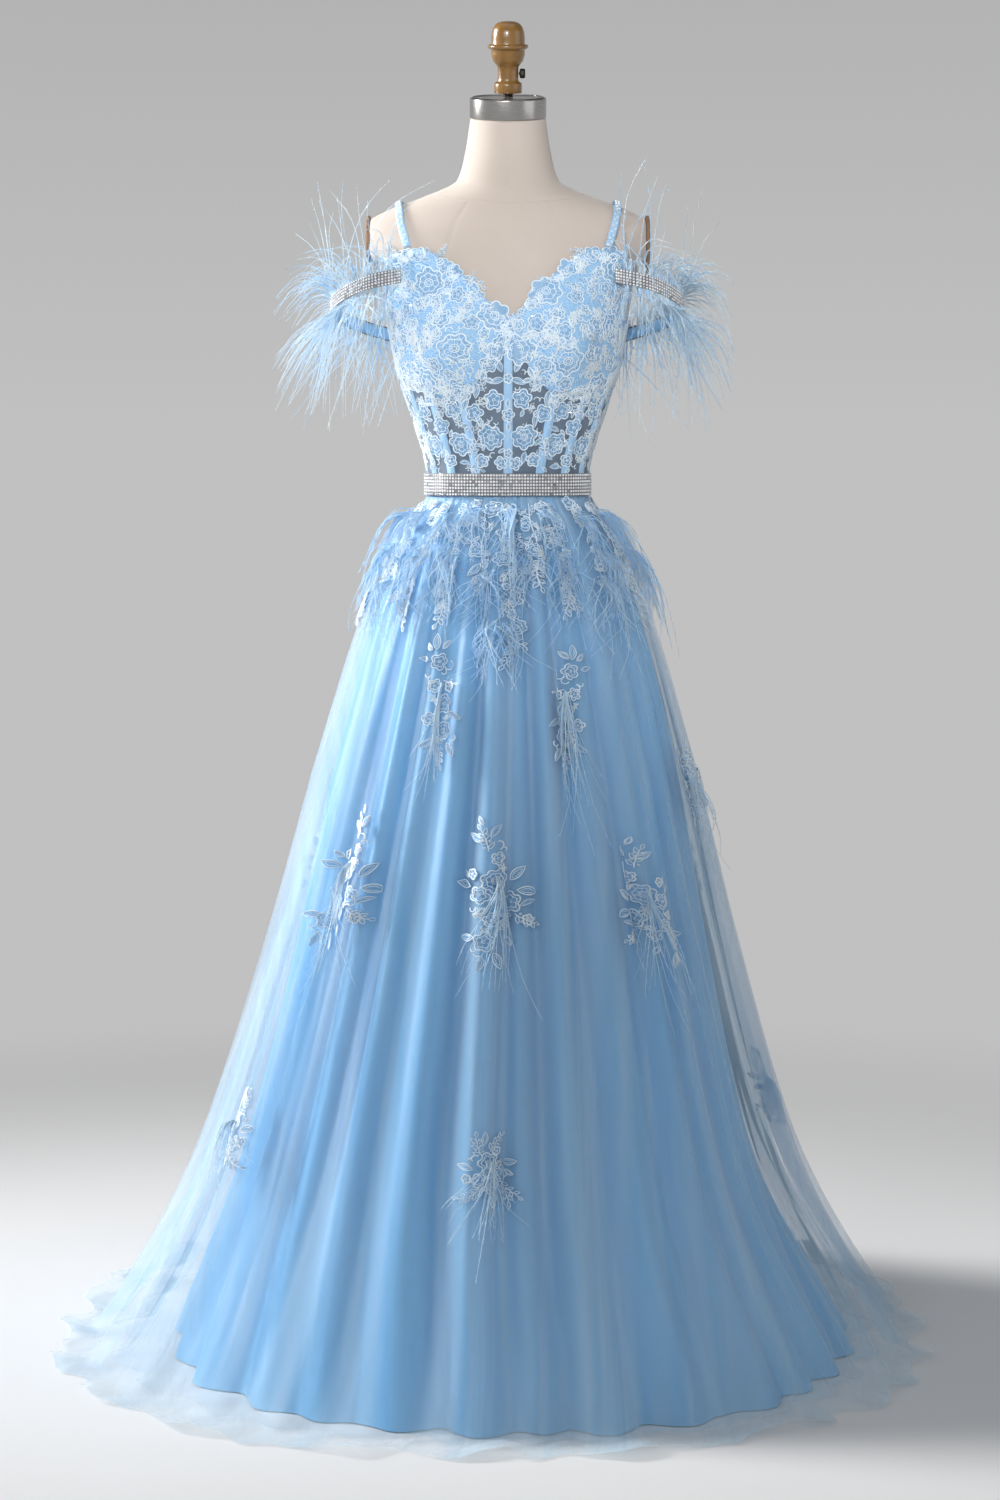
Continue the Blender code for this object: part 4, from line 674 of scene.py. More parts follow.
LINEN, SATIN = linen_paint(), satin_paint()
TULLE, UNDER_TULLE = tulle_paint("tulle", 0.20, 0.68), tulle_paint("tulle_under", 0.10, 0.44)
LACE, CUP, MESH = lace_paint(), cup_paint(), mesh_paint()
RIBBON = ribbon_paint("blue_ribbon", (0.42, 0.66, 0.92), (0.34, 0.60, 0.88))
FOIL = ribbon_paint("stone_backing", (0.22, 0.22, 0.235), (0.14, 0.14, 0.15), 0.35)
STONES, CRYSTALS, FEATHER = stone_paint(), crystal_paint(), feather_paint()
STEEL = metal_paint("steel", (0.46, 0.45, 0.44), (0.34, 0.33, 0.32), 0.22, (1, 1, 30))
DARK_METAL = metal_paint("dark_metal", (0.07, 0.06, 0.05), (0.03, 0.028, 0.025), 0.4)
WOOD = metal_paint("finial_wood", (0.25, 0.125, 0.020), (0.15, 0.070, 0.010), 0.3, (1, 1, 0.35), 60.0,
                   metallic=0.0, coat=0.7)
PLATE = metal_paint("arm_plate", (0.30, 0.17, 0.09), (0.20, 0.11, 0.06), 0.5, (1, 1, 4), 70.0,
                    metallic=0.0, coat=0.2)
ZIP_METAL = metal_paint("zip_metal", (0.55, 0.62, 0.70), (0.42, 0.50, 0.58), 0.3)


# ---------------------------------------------------------------- the form and its stand
SEAM_WIDTH, SEAM_DEPTH = 1.1 * MM, 0.9 * MM
FRONT_SEAM, NECK_SEAM, PRINCESS_SEAM = 0.28, 0.8, 0.7  # how deep they are, as a part of that
NECK_SEAM_Z, NECK_SEAM_DROP = 1.4635, 0.0145
PRINCESS, PRINCESS_BACK = 40.0, 148.0  # angles of the seams over the bust and down the back


def torso():
    """The linen form, with its seams pressed in and its armholes cut flat."""
    columns = np.linspace(-180, 180, 217)[:-1]
    heights = np.concatenate([np.linspace(NECK_TOP_Z, 1.484, 24), np.linspace(1.4825, 1.445, 30),
                              np.linspace(1.442, 1.355, 30), np.linspace(1.352, FORM_BASE_Z, 34)])
    angle, z = np.meshgrid(columns, heights)
    points = on_form(angle, z, 0)
    reach = np.hypot(points[..., 0], points[..., 1])
    groove = np.zeros_like(z)
    for place in (0, 180):
        line = bell(np.radians(turn_between(place, angle)) * reach / SEAM_WIDTH)
        groove = np.maximum(groove, line * (FRONT_SEAM if place == 0 else 1.0))
    neck = NECK_SEAM_Z - NECK_SEAM_DROP * np.cos(np.radians(angle))
    groove = np.maximum(groove, NECK_SEAM * bell((z - neck) / SEAM_WIDTH))
    for side in (-1, 1):
        for place in (PRINCESS, PRINCESS_BACK):
            line = bell(np.radians(turn_between(side * place, angle)) * reach / SEAM_WIDTH)
            groove = np.maximum(groove, line * (z < neck) * PRINCESS_SEAM)
    points = points - outward(form_at, angle, z, 0.5, -MM) * (groove * SEAM_DEPTH)[..., None]
    points[..., 0] = np.clip(points[..., 0], -ARM_FLAT_X, ARM_FLAT_X)
    pile = Pile()
    add_sheet(pile, points, 1 - groove * 0.8, closed=True)
    rows, count = points.shape[:2]
    for row, ring in ((0, points[0]), (rows - 1, points[-1])):
        middle = pile.count
        pile.add([ring.mean(0)], tone=1.0)
        fan = fan_faces(count, middle) + (row * count, row * count, 0)
        pile.tris.append(fan if row == 0 else fan[:, ::-1])
    made = pile.piece("dress_form", LINEN, slot="linen", stands_for=["form_torso"])
    corners = [tuple(p) for p in points.reshape(-1, 3)]
    return BVHTree.FromPolygons(corners, [tuple(f) for f in grid_faces(rows, count, True).tolist()])


NECK_TURN = math.radians(10.0)
NECK_MIDDLE = np.array([0, -0.010, NECK_TOP_Z])
NECK_UP = np.array([0, -math.sin(NECK_TURN), math.cos(NECK_TURN)])
NECK_BACK = np.array([0, math.cos(NECK_TURN), math.sin(NECK_TURN)])
SEAM = 0.3 * MM  # the gap between two pieces that meet


def add_lathe(pile, outline, foot, axis, first, second, steps, ribs=None):
    """A turned form: outline holds (radius, height), from the top down. ribs = (count, depth, low, high)."""
    outline = np.array(outline, float)
    turn = full_turn(steps)
    radius = np.repeat(outline[:, :1], steps, 1)
    if ribs:
        count, depth, low, high = ribs
        inside = ((outline[:, 1] >= low) & (outline[:, 1] <= high))[:, None]
        radius = radius - inside * depth * (0.5 - 0.5 * np.cos(count * turn))[None, :]
    level = outline[:, 1][:, None, None] * axis
    points = foot + level + radius[..., None] * (
        np.cos(turn)[None, :, None] * first + np.sin(turn)[None, :, None] * second)
    pile.add(points, grid_faces(len(outline), steps, True))


def rounded(outline, corner, steps=4):
    """An outline with each inner corner rounded off by up to this radius."""
    outline = np.array(outline, float)
    made = [outline[0]]
    for before, point, after in zip(outline, outline[1:], outline[2:]):
        reach = min(corner, np.linalg.norm(point - before) / 2.2, np.linalg.norm(after - point) / 2.2)
        one, other = point + unit(before - point) * reach, point + unit(after - point) * reach
        for t in np.linspace(0, 1, steps):
            made.append(one * (1 - t) ** 2 + point * 2 * t * (1 - t) + other * t ** 2)
    return np.array(made + [outline[-1]])


FINIAL_OUTLINE = [(0.0210, 0.0600), (0.0252, 0.0590), (0.0254, 0.0565), (0.0246, 0.0548), (0.0212, 0.0530),
                  (0.0210, 0.0470), (0.0192, 0.0400), (0.0160, 0.0355), (0.0135, 0.0325), (0.0129, 0.0290),
                  (0.0129, 0.0170), (0.0140, 0.0140), (0.0168, 0.0125), (0.0175, 0.0110), (0.0175, 0.0006),
                  (0.0160, 0)]
# in millimetres, like the rod's outline
SCREW_OUTLINE = [(0, 21.5), (4.8, 21.5), (6.0, 20.0), (6.0, 15.6), (4.8, 14.6), (2.2, 14.6), (2.2, 13.5),
                 (0, 13.5)]
SCREW_RIBS = (24, 0.35 * MM, 15.2 * MM, 20.6 * MM)
SCREW_HEIGHT = 0.024  # of its axis, over the finial's foot
ROD_OUTLINE = [(0, 5), (6.4, 5), (6.4, 3.4), (5.6, 3.0), (5.6, 2.0), (6.4, 1.6), (6.4, 0), (0, 0)]
CAP_OUTLINE = [(0, 0.0245), (0.0470, 0.0250), (0.0480, 0.0240), (0.0480, 0.0010), (0.0470, 0), (0, 0)]
CAP_RIM = [(0.0452, 0.0256), (0.0448, 0.0260), (0.0440, 0.0260), (0.0436, 0.0250)]
CAP_HEIGHT, ROD_HEIGHT = 0.025, 5 * MM


def in_metres(outline):
    return [(radius * MM, height * MM) for radius, height in outline]


def neck_fittings():
    """The cap, rod, finial and thumbscrew, which lean with the neck."""
    pile = Pile()
    for outline in (rounded(CAP_OUTLINE, 1.2 * MM), CAP_RIM):
        add_lathe(pile, outline, NECK_MIDDLE + NECK_UP * SEAM, NECK_UP, RIGHT, NECK_BACK, 96)
    pile.piece("neck_cap_brushed", STEEL, slot="steel", stands_for=["neck_cap"])
    foot = NECK_MIDDLE + NECK_UP * (CAP_HEIGHT + 2 * SEAM)
    pile = Pile()
    rod = rounded(in_metres(ROD_OUTLINE), 0.4 * MM)
    add_lathe(pile, rod, foot, NECK_UP, RIGHT, NECK_BACK, 40)
    pile.piece("finial_rod_turned", DARK_METAL, slot="dark_metal", stands_for=["finial_rod"])
    foot = foot + NECK_UP * (ROD_HEIGHT + SEAM)
    dome = [(0.0211 * math.sin(t) ** 0.68, 0.060 + 0.028 * math.cos(t) ** 0.62)
            for t in np.linspace(0, 1.45, 16)]
    pile = Pile()
    finial = rounded(dome + FINIAL_OUTLINE + [(0, 0)], 0.8 * MM, 3)
    add_lathe(pile, finial, foot, NECK_UP, RIGHT, NECK_BACK, 48)
    pile.piece("finial_turned", WOOD, slot="finial_wood", stands_for=["finial"])
    pile = Pile()
    screw = rounded(in_metres(SCREW_OUTLINE), 0.5 * MM)
    add_lathe(pile, screw, foot + NECK_UP * SCREW_HEIGHT, RIGHT, -NECK_UP, NECK_BACK, 96, ribs=SCREW_RIBS)
    pile.piece("thumbscrew_knurled", DARK_METAL, slot="dark_metal", body="thumbscrew",
               stands_for=["thumbscrew"])


POLE_OUTLINE = [(0, 0.7997), (0.0150, 0.7997), (0.016, 0.7985), (0.016, 0.300), (0.0157, 0.2995),
                (0.0157, 0.2985), (0.016, 0.298), (0.016, 0.0146), (0, 0.0146)]
BASE_OUTLINE = [(0, 0.0140), (0.0600, 0.0140), (0.0640, 0.0135), (0.1880, 0.0100), (0.1970, 0.0070),
                (0.2000, 0.0030), (0.1990, 0), (0, 0)]


def stand():
    pile = Pile()
    add_lathe(pile, POLE_OUTLINE, np.zeros(3), UP, RIGHT, BACK, 40)
    pile.piece("stand_pole_tube", STEEL, slot="steel", stands_for=["stand_pole"])
    pile = Pile()
    add_lathe(pile, rounded(BASE_OUTLINE, 2 * MM), np.zeros(3), UP, RIGHT, BACK, 96)
    pile.piece("stand_base_plate", DARK_METAL, slot="dark_metal", stands_for=["stand_base"])


# how far out on the oval, as a part of its size, and how thick there in millimetres
ARM_OUTLINE = [(0, 6.0), (0.62, 6.0), (0.66, 5.5), (0.90, 5.5), (1.0, 4.2), (1.0, 0.6), (0.97, 0.0), (0, 0)]
ARM_DEPTH, ARM_HEIGHT = 0.037, 0.036
ARM_MIDDLE_Y, ARM_MIDDLE_Z = 0.006, 1.398


def arm_plates():
    """Oval plates that close the armholes."""
    outline = rounded(ARM_OUTLINE, 0.05)
    turn = full_turn(64)
    for name, side in SIDES:
        ring = np.stack([np.zeros_like(turn), np.cos(turn) * ARM_DEPTH * side, np.sin(turn) * ARM_HEIGHT], -1)
        middle = np.array([side * (ARM_FLAT_X + SEAM), ARM_MIDDLE_Y, ARM_MIDDLE_Z])
        points = middle + outline[:, 0][:, None, None] * ring
        points = points + outline[:, 1][:, None, None] * MM * np.array([side, 0, 0])
        pile = Pile()
        pile.add(points, grid_faces(len(outline), 64, True))
        pile.piece(f"arm_plate_oval_{name}", PLATE, slot="arm_plate", stands_for=[f"arm_plate_{name}"])


# ---------------------------------------------------------------- lace patterns
class Kit(Pile):
    """A flat pattern: points hold x and y in metres and their height over the cloth."""

    def cord(self, path, width, height, closed=False, tone=1.0):
        """A raised cord along a path of points in millimetres."""
        path = np.asarray(path, float) * MM
        ahead = np.roll(path, -1, 0) - np.roll(path, 1, 0) if closed else np.gradient(path, axis=0)
        side = unit(np.stack([-ahead[:, 1], ahead[:, 0]], -1)) * width * MM / 2
        flat = np.zeros(len(path))
        crown = np.full(len(path), height * MM)
        points = np.stack([np.column_stack([path + side, flat]), np.column_stack([path, crown]),
                           np.column_stack([path - side, flat])], 1).reshape(-1, 3)
        i = np.arange(len(path) if closed else len(path) - 1)
        j = (i + 1) % len(path)
        quads = np.concatenate([np.stack([3 * i, 3 * i + 1, 3 * j + 1, 3 * j], -1),
                                np.stack([3 * i + 1, 3 * i + 2, 3 * j + 2, 3 * j + 1], -1)])
        # the cord's flanks get three quarters of its crown's tone: painted shade beside the raised crown
        self.add(points, quads, tone=np.tile([tone * 0.75, tone, tone * 0.75], len(path)))

    def fill(self, outline, height, tone):
        """A low patch inside an outline in millimetres. Its tone sets how dark the lace is painted there
        between the cords, as shade.
        """
        outline = np.asarray(outline, float) * MM
        points = np.column_stack([outline, np.full(len(outline), 0.05 * MM)])
        middle = np.append(outline.mean(0), height * MM)
        fan = fan_faces(len(outline), len(outline))
        ahead = np.roll(outline, -1, 0)
        area = np.sum(outline[:, 0] * ahead[:, 1] - ahead[:, 0] * outline[:, 1])
        self.add(np.vstack([points, middle]), tris=fan if area > 0 else fan[:, ::-1], tone=tone)


def turned_by(path, degrees, start=(0, 0)):
    c, s = math.cos(math.radians(degrees)), math.sin(math.radians(degrees))
    return np.asarray(path) @ np.array([[c, s], [-s, c]]) + np.asarray(start, float)


def leaf_outline(length, width, steps, bend):
    t = np.linspace(0, 1, steps)
    rim = width / 2 * np.sin(math.pi * t) ** 0.85 * (1.15 - 0.3 * t)
    x = np.concatenate([t, t[-2:0:-1]]) * length
    y = np.concatenate([-rim, rim[-2:0:-1]])
    return np.stack([x, y + bend * np.sin(math.pi * x / length)], -1)


def lobed(lobes, radius, dip, steps, uneven=0.05):
    """A closed outline with so many round lobes and a sharp dip between each two."""
    around = full_turn(steps)
    lobe = np.abs(np.cos(lobes * around / 2)) ** 0.65
    wobble = 1 + uneven * np.sin(2 * around + lobes) + uneven * np.sin(3 * around)
    reach = radius * (1 - dip * (1 - lobe)) * wobble
    return np.stack([np.cos(around), np.sin(around)], -1) * reach[:, None]


def circle(steps):
    """A circle of radius 1."""
    around = full_turn(steps)
    return np.stack([np.cos(around), np.sin(around)], -1)


def flower_kit(lobes, radius, rings, dip, veins=0):
    """A flower: scalloped outlines one inside another, short creases between petals and a raised eye."""
    kit = Kit()
    outer = lobed(lobes, radius, dip, lobes * 7)
    kit.fill(outer, 0.4, 0.08)
    kit.cord(outer, 1.7, 1.2, True)
    for ring in range(1, rings):
        size = 1 - 0.36 * ring
        kit.cord(lobed(lobes, radius * size, dip * 0.8, lobes * 5, uneven=0.02), 1.15, 1.1 + 0.2 * ring, True)
    for number in range(lobes):
        turn = 360 * (number + 0.5) / lobes
        near, far = radius * (0.30 if rings < 3 else 0.2), radius * (1 - dip) * 0.92
        kit.cord(turned_by([(near, 0), ((near + far) / 2, 0.3), (far, 0)], turn), 0.8, 0.9, tone=0.8)
        for off in np.linspace(-0.5, 0.5, veins + 2)[1:-1]:
            turn = 360 * (number + off) / lobes
            kit.cord(turned_by([(radius * 0.70, 0), (radius * 0.90, 0)], turn), 0.7, 0.8, tone=0.8)
    eye = circle(8) * max(radius * 0.15, 1.0)
    kit.fill(eye, 1.3, 0.35)
    kit.cord(eye, 1.1, 1.4, True)
    return kit.joined()


def leaf_kit(length, width, bend=0.8):
    kit = Kit()
    outline = leaf_outline(length, width, 7, bend)
    kit.fill(outline, 0.35, 0.06)
    kit.cord(outline, 1.3, 1.1, True)
    inner = leaf_outline(length * 0.66, width * 0.5, 5, bend * 0.8) + (length * 0.15, 0)
    kit.cord(inner, 0.8, 0.9, True, 0.9)
    return kit.joined()


def curve_path(start, turn, length, curl, steps):
    """A path in millimetres that starts at an angle and curls by so many degrees on its way."""
    angles = np.radians(turn + curl * np.linspace(0, 1, steps))
    step = np.stack([np.cos(angles), np.sin(angles)], -1) * length / (steps - 1)
    return np.asarray(start, float) + np.concatenate([[(0, 0)], np.cumsum(step[:-1], 0)])


def scroll_kit(length, curl):
    kit = Kit()
    kit.cord(curve_path((0, 0), 0, length, curl, 14), 1.5, 1.1)
    kit.cord(curve_path((length * 0.2, 0), 25, length * 0.5, -curl * 0.9, 9), 1.2, 1.0)
    return kit.joined()


def sprig_kit(length, leaves, size, curl=25, berries=True):
    """A stem with leaves on alternate sides, a leaf at its tip and small rings at their roots."""
    kit = Kit()
    stem = curve_path((0, 0), 0, length, curl, 10)
    kit.cord(stem, 1.3, 1.0)
    for number in range(leaves + 1):
        part = (number + 1) / (leaves + 1)
        index = min(int(part * 9), 9)
        side = 1 if number % 2 else -1
        turn = curl * part + (0 if number == leaves else side * 48)
        leaf = leaf_outline(size * (1.1 - 0.25 * part), size * 0.42, 5, side * 0.5)
        outline = turned_by(leaf, turn, stem[index])
        kit.fill(outline, 0.3, 0.08)
        kit.cord(outline, 1.1, 1.0, True)
        if berries and number < leaves:
            centre = stem[index] + turned_by([(size * 0.42, 0)], curl * part - side * 62)[0]
            kit.cord(centre + circle(5) * size * 0.13, 1.0, 1.0, True)
    return kit.joined()


FILLER_SIZE, FILLER_STRANDS = 9.0, 2  # millimetres from its middle, and how many cords


def filler_kit(seed):
    """Cord that wanders in small loops, as fills the ground between flowers."""
    wander = np.random.default_rng(seed)
    kit = Kit()
    for _ in range(FILLER_STRANDS):
        t = np.linspace(0, 1, 16)
        a, b, c = wander.uniform(1.2, 2.6, 3) * 2 * math.pi
        p, q, r = wander.uniform(0, 2 * math.pi, 3)
        x = FILLER_SIZE * (0.62 * np.cos(a * t + p) + 0.38 * np.cos(c * t * 1.7 + r))
        y = FILLER_SIZE * (0.62 * np.sin(b * t + q) + 0.38 * np.sin(c * t * 1.7 + r))
        kit.cord(np.stack([x, y], -1), 1.25, 1.0)
    return kit.joined()


KITS = {
    "rosette": flower_kit(7, 17.0, 3, 0.30, 2),
    "bloom": flower_kit(5, 13.0, 2, 0.42, 1),
    "daisy": flower_kit(5, 8.6, 2, 0.42),
    "bud": flower_kit(5, 5.2, 1, 0.36),
    "leaf": leaf_kit(21.0, 8.6),
    "leaflet": leaf_kit(12.5, 5.4, 0.4),
    "blade": leaf_kit(27.0, 7.4, 2.4),
    "scroll": scroll_kit(26.0, 250),
    "curl": scroll_kit(15.0, 200),
    "sprig": sprig_kit(30.0, 5, 10.5),
    "spray": sprig_kit(44.0, 7, 11.5, 35),
    "twig": sprig_kit(20.0, 3, 8.0, 20, False),
    "filler1": filler_kit(5), "filler2": filler_kit(8), "filler3": filler_kit(13),
}


def put(pile, kind, angle, z, turn, size, reach, lift, flip, ground):
    """Lays one pattern at an angle and height. reach is the distance from the stand's axis there, and ground
    is the least tone between the cords: 0 leaves open net with the darkest painted shade, and 0.5 is close
    stitching with lighter painted shade."""
    points, quads, tris, tones = KITS[kind]
    flat = points[:, :2] * size
    if flip:
        flat = flat * (1, -1)
    flat = turned_by(flat, turn)
    laid = np.column_stack([angle + np.degrees(flat[:, 0] / reach), z + flat[:, 1], points[:, 2] + lift])
    if flip:
        quads, tris = quads[:, ::-1], tris[:, ::-1]
    pile.add(laid, quads, tris, np.maximum(tones, ground))


def put_path(pile, angles, heights, reach, width, height):
    """Lays a cord through angles and heights."""
    kit = Kit()
    flat = np.stack([np.radians(angles - angles[0]) * reach, heights - heights[0]], -1)
    kit.cord(flat / MM, width, height)
    points, quads, _, tones = kit.joined()
    laid = np.column_stack([angles[0] + np.degrees(points[:, 0] / reach), heights[0] + points[:, 1],
                            points[:, 2]])
    pile.add(laid, quads, tone=tones)


# ---------------------------------------------------------------- the skirt's cloth
def panel_columns(start, end, step):
    return np.linspace(start, end, int(round((end - start) / step)) + 1)


PANELS = {"front": (-SIDE_SEAM, SIDE_SEAM), "back_right": (SIDE_SEAM, 180.0),
          "back_left": (180.0, 360 - SIDE_SEAM)}


GATHER_TONES = [Gather(37, 0.5, 0), Gather(59, 0.35, 90), Gather(17, 0.3, 30)]


def gathered(angle, row):
    """0 to 1: how closely the tulle is gathered."""
    close = 0.5 + 0.5 * waves(GATHER_TONES, angle + row * 0.5)
    flank = fold_height(angle - 3.0, row) * 0.35
    waist, hem = 0.35 * (1 - smooth_step(0.5, 3.2, row)), 0.2 * smooth_step(7, 9, row)
    return np.clip(0.35 * close + flank + waist + hem, 0, 1)


def skirt_panel(name, panel, layer, points, tone, paint, stands_for=()):
    """One panel of one layer, hung from the belt."""
    pile = Pile()
    add_sheet(pile, points, tone)
    made = pile.piece(f"{name}_{panel}", paint, slot="satin" if layer == "satin" else "tulle",
                      stands_for=stands_for)


def panel_grid(panel, step, last_row, rows):
    """Angles so many degrees apart, and rows from the waist down."""
    return np.meshgrid(panel_columns(*PANELS[panel], step), last_row * np.linspace(0, 1, rows))


def skirts():
    for panel in PANELS:
        angle, row = panel_grid(panel, 0.8, 7, 84)
        skirt_panel("satin", panel, "satin", satin_at(angle, row), 0.5, SATIN,
                    [f"underskirt_{panel}"])
    for panel in PANELS:
        angle, row = panel_grid(panel, 0.62, 9, 114)
        skirt_panel("tulle_top", panel, "tulle", tulle_at(angle, row), gathered(angle, row), TULLE,
                    [f"tulle_{panel}"])
        angle, row = panel_grid(panel, 1.0, 8.4, 80)
        skirt_panel("tulle_under", panel, "under", tulle_at(angle, row, 0.5), gathered(angle + 7, row),
                    UNDER_TULLE)


# ---------------------------------------------------------------- the bodice
NECKLINE = Smooth([(0, 1.298), (10, 1.313), (20, 1.333), (30, 1.352), (40, 1.368), (52, 1.383), (60, 1.383),
                   (70, 1.372), (80, 1.345), (95, 1.312), (120, 1.292), (150, 1.278), (180, 1.270)])
CUP_SEAM = Smooth([(0, 1.284), (10, 1.256), (20, 1.229), (30, 1.213), (40, 1.210), (50, 1.212), (60, 1.219),
                   (70, 1.228), (80, 1.236)])
SIDE_ANGLE = 80.0
# how far over the form the bodice's inside is, and the outside of its cups, corset and back
BODICE_LIFT, CUP_OUT, CORSET_OUT, BACK_OUT = 2.2 * MM, 5.2 * MM, 3.4 * MM, 3.8 * MM
Bone = namedtuple("Bone", "name waist_angle top_angle")
BONES = [Bone("bone_front_1", -66, -72), Bone("bone_front_2", -48, -54), Bone("bone_front_3", -27, -33),
         Bone("bone_front_4", 0, 0), Bone("bone_front_5", 27, 33), Bone("bone_front_6", 48, 54),
         Bone("bone_front_7", 66, 72), Bone("bone_back_1", -142, -148), Bone("bone_back_2", -108, -112),
         Bone("bone_back_3", 108, 112), Bone("bone_back_4", 142, 148)]
BONE_WIDTH = 11 * MM
BELT_TOP_Z, BELT_BOTTOM_Z = 1.111, 1.083


def neckline_z(angle):
    return NECKLINE.at(np.abs(turn_between(0, angle)))[0]


def cup_seam_z(angle):
    return CUP_SEAM.at(np.abs(turn_between(0, angle)))[0]


def scallops(angle):
    """The uneven edge that lace gives the neckline."""
    turn = np.radians(angle)
    petals = np.abs(np.sin(turn * 21)) ** 0.6 * 3.2
    return (petals + np.sin(turn * 47 + 1) * 0.9 + np.sin(turn * 13) * 0.8) * MM


def bodice_wall(pile, columns, top, bottom, rows, inner, outer):
    part, angle = np.meshgrid(np.linspace(0, 1, rows), columns, indexing="ij")
    z = top(angle) + (bottom(angle) - top(angle)) * part
    add_wall(pile, on_form(angle, z, inner), on_form(angle, z, outer))


def bodice():
    """The cloth under the lace: two cups, the corset's net and two back panels."""

    def waist(angle):
        return np.full_like(angle, WAIST_Z + SEAM)

    for name, start, end in (("left", -SIDE_ANGLE, -0.08), ("right", 0.08, SIDE_ANGLE)):
        pile = Pile()
        bodice_wall(pile, np.linspace(start, end, 73), lambda a: neckline_z(a) - MM + scallops(a),
                    lambda a: cup_seam_z(a) + SEAM, 28, BODICE_LIFT, CUP_OUT - 0.4 * MM)
        made = pile.piece(f"cup_cloth_{name}", CUP, slot="lace", stands_for=[f"cup_{name}"])
    pile = Pile()
    bodice_wall(pile, np.linspace(-SIDE_ANGLE, SIDE_ANGLE, 121), lambda a: cup_seam_z(a) - SEAM, waist,
                26, BODICE_LIFT + SEAM, CORSET_OUT - 0.4 * MM)
    made = pile.piece("corset_net", MESH, slot="sheer_mesh", stands_for=["corset_front"])
    for name, start, end in (("right", SIDE_ANGLE, 179.9), ("left", 180.1, 360 - SIDE_ANGLE)):
        pile = Pile()
        bodice_wall(pile, np.linspace(start, end, 71), lambda a: neckline_z(a) - MM + scallops(a) * 0.7,
                    waist, 34, BODICE_LIFT, BACK_OUT - SEAM)
        made = pile.piece(f"back_cloth_{name}", CUP, slot="lace", stands_for=[f"back_{name}"])


def bone_angle(bone, z):
    top = cup_seam_z(bone.top_angle) if "front" in bone.name else neckline_z(bone.top_angle)
    return bone.waist_angle + (bone.top_angle - bone.waist_angle) * (z - BELT_TOP_Z) / (top - BELT_TOP_Z)


# a bone channel's section: places across it, from -1 to 1, and how far each is raised, in millimetres
BONE_ACROSS = [-1, -0.92, -0.78, -0.62, -0.5, 0, 0.5, 0.62, 0.78, 0.92, 1.0]
BONE_RAISED = [0, 1.3, 1.6, 1.25, 1.75, 2.05, 1.75, 1.25, 1.6, 1.3, 0]
BONE_GROOVE = 0.62  # where its two rows of stitches lie
STITCH_PITCH, STITCH_LENGTH = 3.1 * MM, 2.3 * MM


def bones():
    across, raised = np.array(BONE_ACROSS), np.array(BONE_RAISED)
    for bone in BONES:
        front = "front" in bone.name
        edge = cup_seam_z if front else neckline_z
        top = float(min(edge(bone.top_angle + off) for off in (-4, 0, 4))) - 1.5 * MM
        seat = CORSET_OUT if front else BACK_OUT
        z = np.linspace(top, BELT_TOP_Z + 0.3 * MM, 44)
        middle = bone_angle(bone, z)
        reach = np.linalg.norm(form_at(middle, z)[:, :2], axis=-1)
        angle = middle[:, None] + np.degrees(across[None, :] * BONE_WIDTH / 2 / reach[:, None])
        lift = seat + raised[None, :] * MM + 0 * angle
        pile = Pile()
        add_sheet(pile, on_form(angle, np.broadcast_to(z[:, None], angle.shape), lift), 0.5)
        for side in (-1, 1):
            for start in np.arange(BELT_TOP_Z + 1.5 * MM, top - 3 * MM, STITCH_PITCH):
                heights = np.linspace(start, start + STITCH_LENGTH, 3)
                off = np.degrees(side * BONE_GROOVE * BONE_WIDTH / 2 / reach.mean())
                turns = bone_angle(bone, heights) + off
                half = np.degrees(0.35 * MM / reach.mean()) * np.array([0.3, 1, 0.3])
                line = np.stack([turns - half, turns, turns + half], -1)
                tall = np.array([[0, 0.3, 0], [0, 0.6, 0], [0, 0.3, 0]]) * MM + seat + 1.3 * MM
                points = on_form(line[::-1], np.repeat(heights[::-1, None], 3, 1), tall)
                pile.add(points, grid_faces(3, 3), tone=1.0)
        pile.piece(bone.name + "_channel", RIBBON, slot="lace", stands_for=[bone.name])


# ---------------------------------------------------------------- stones, straps, bands and belt
def stone_shape(sides):
    """A cut stone of radius 1: a girdle, a crown and a flat table."""
    turn = np.arange(sides) * 2 * math.pi / sides
    half = math.pi / sides

    def ring(radius, z, shift):
        x, y = np.cos(turn + shift) * radius, np.sin(turn + shift) * radius
        return np.column_stack([x, y, np.full(sides, z)])

    points = np.vstack([ring(0.96, 0.0, 0), ring(1.0, 0.30, 0), ring(0.56, 0.78, half), [[0, 0, 0.78]]])
    j = np.arange(sides)
    k = (j + 1) % sides
    tris = np.concatenate([
        np.stack([j, k, sides + k], -1), np.stack([j, sides + k, sides + j], -1),
        np.stack([sides + j, sides + k, 2 * sides + j], -1),
        np.stack([sides + k, 2 * sides + k, 2 * sides + j], -1),
        np.stack([2 * sides + j, 2 * sides + k, np.full(sides, 3 * sides)], -1)])
    return points, tris


STONE_POINTS, STONE_TRIS = stone_shape(6)
SMALL_POINTS, SMALL_TRIS = stone_shape(5)


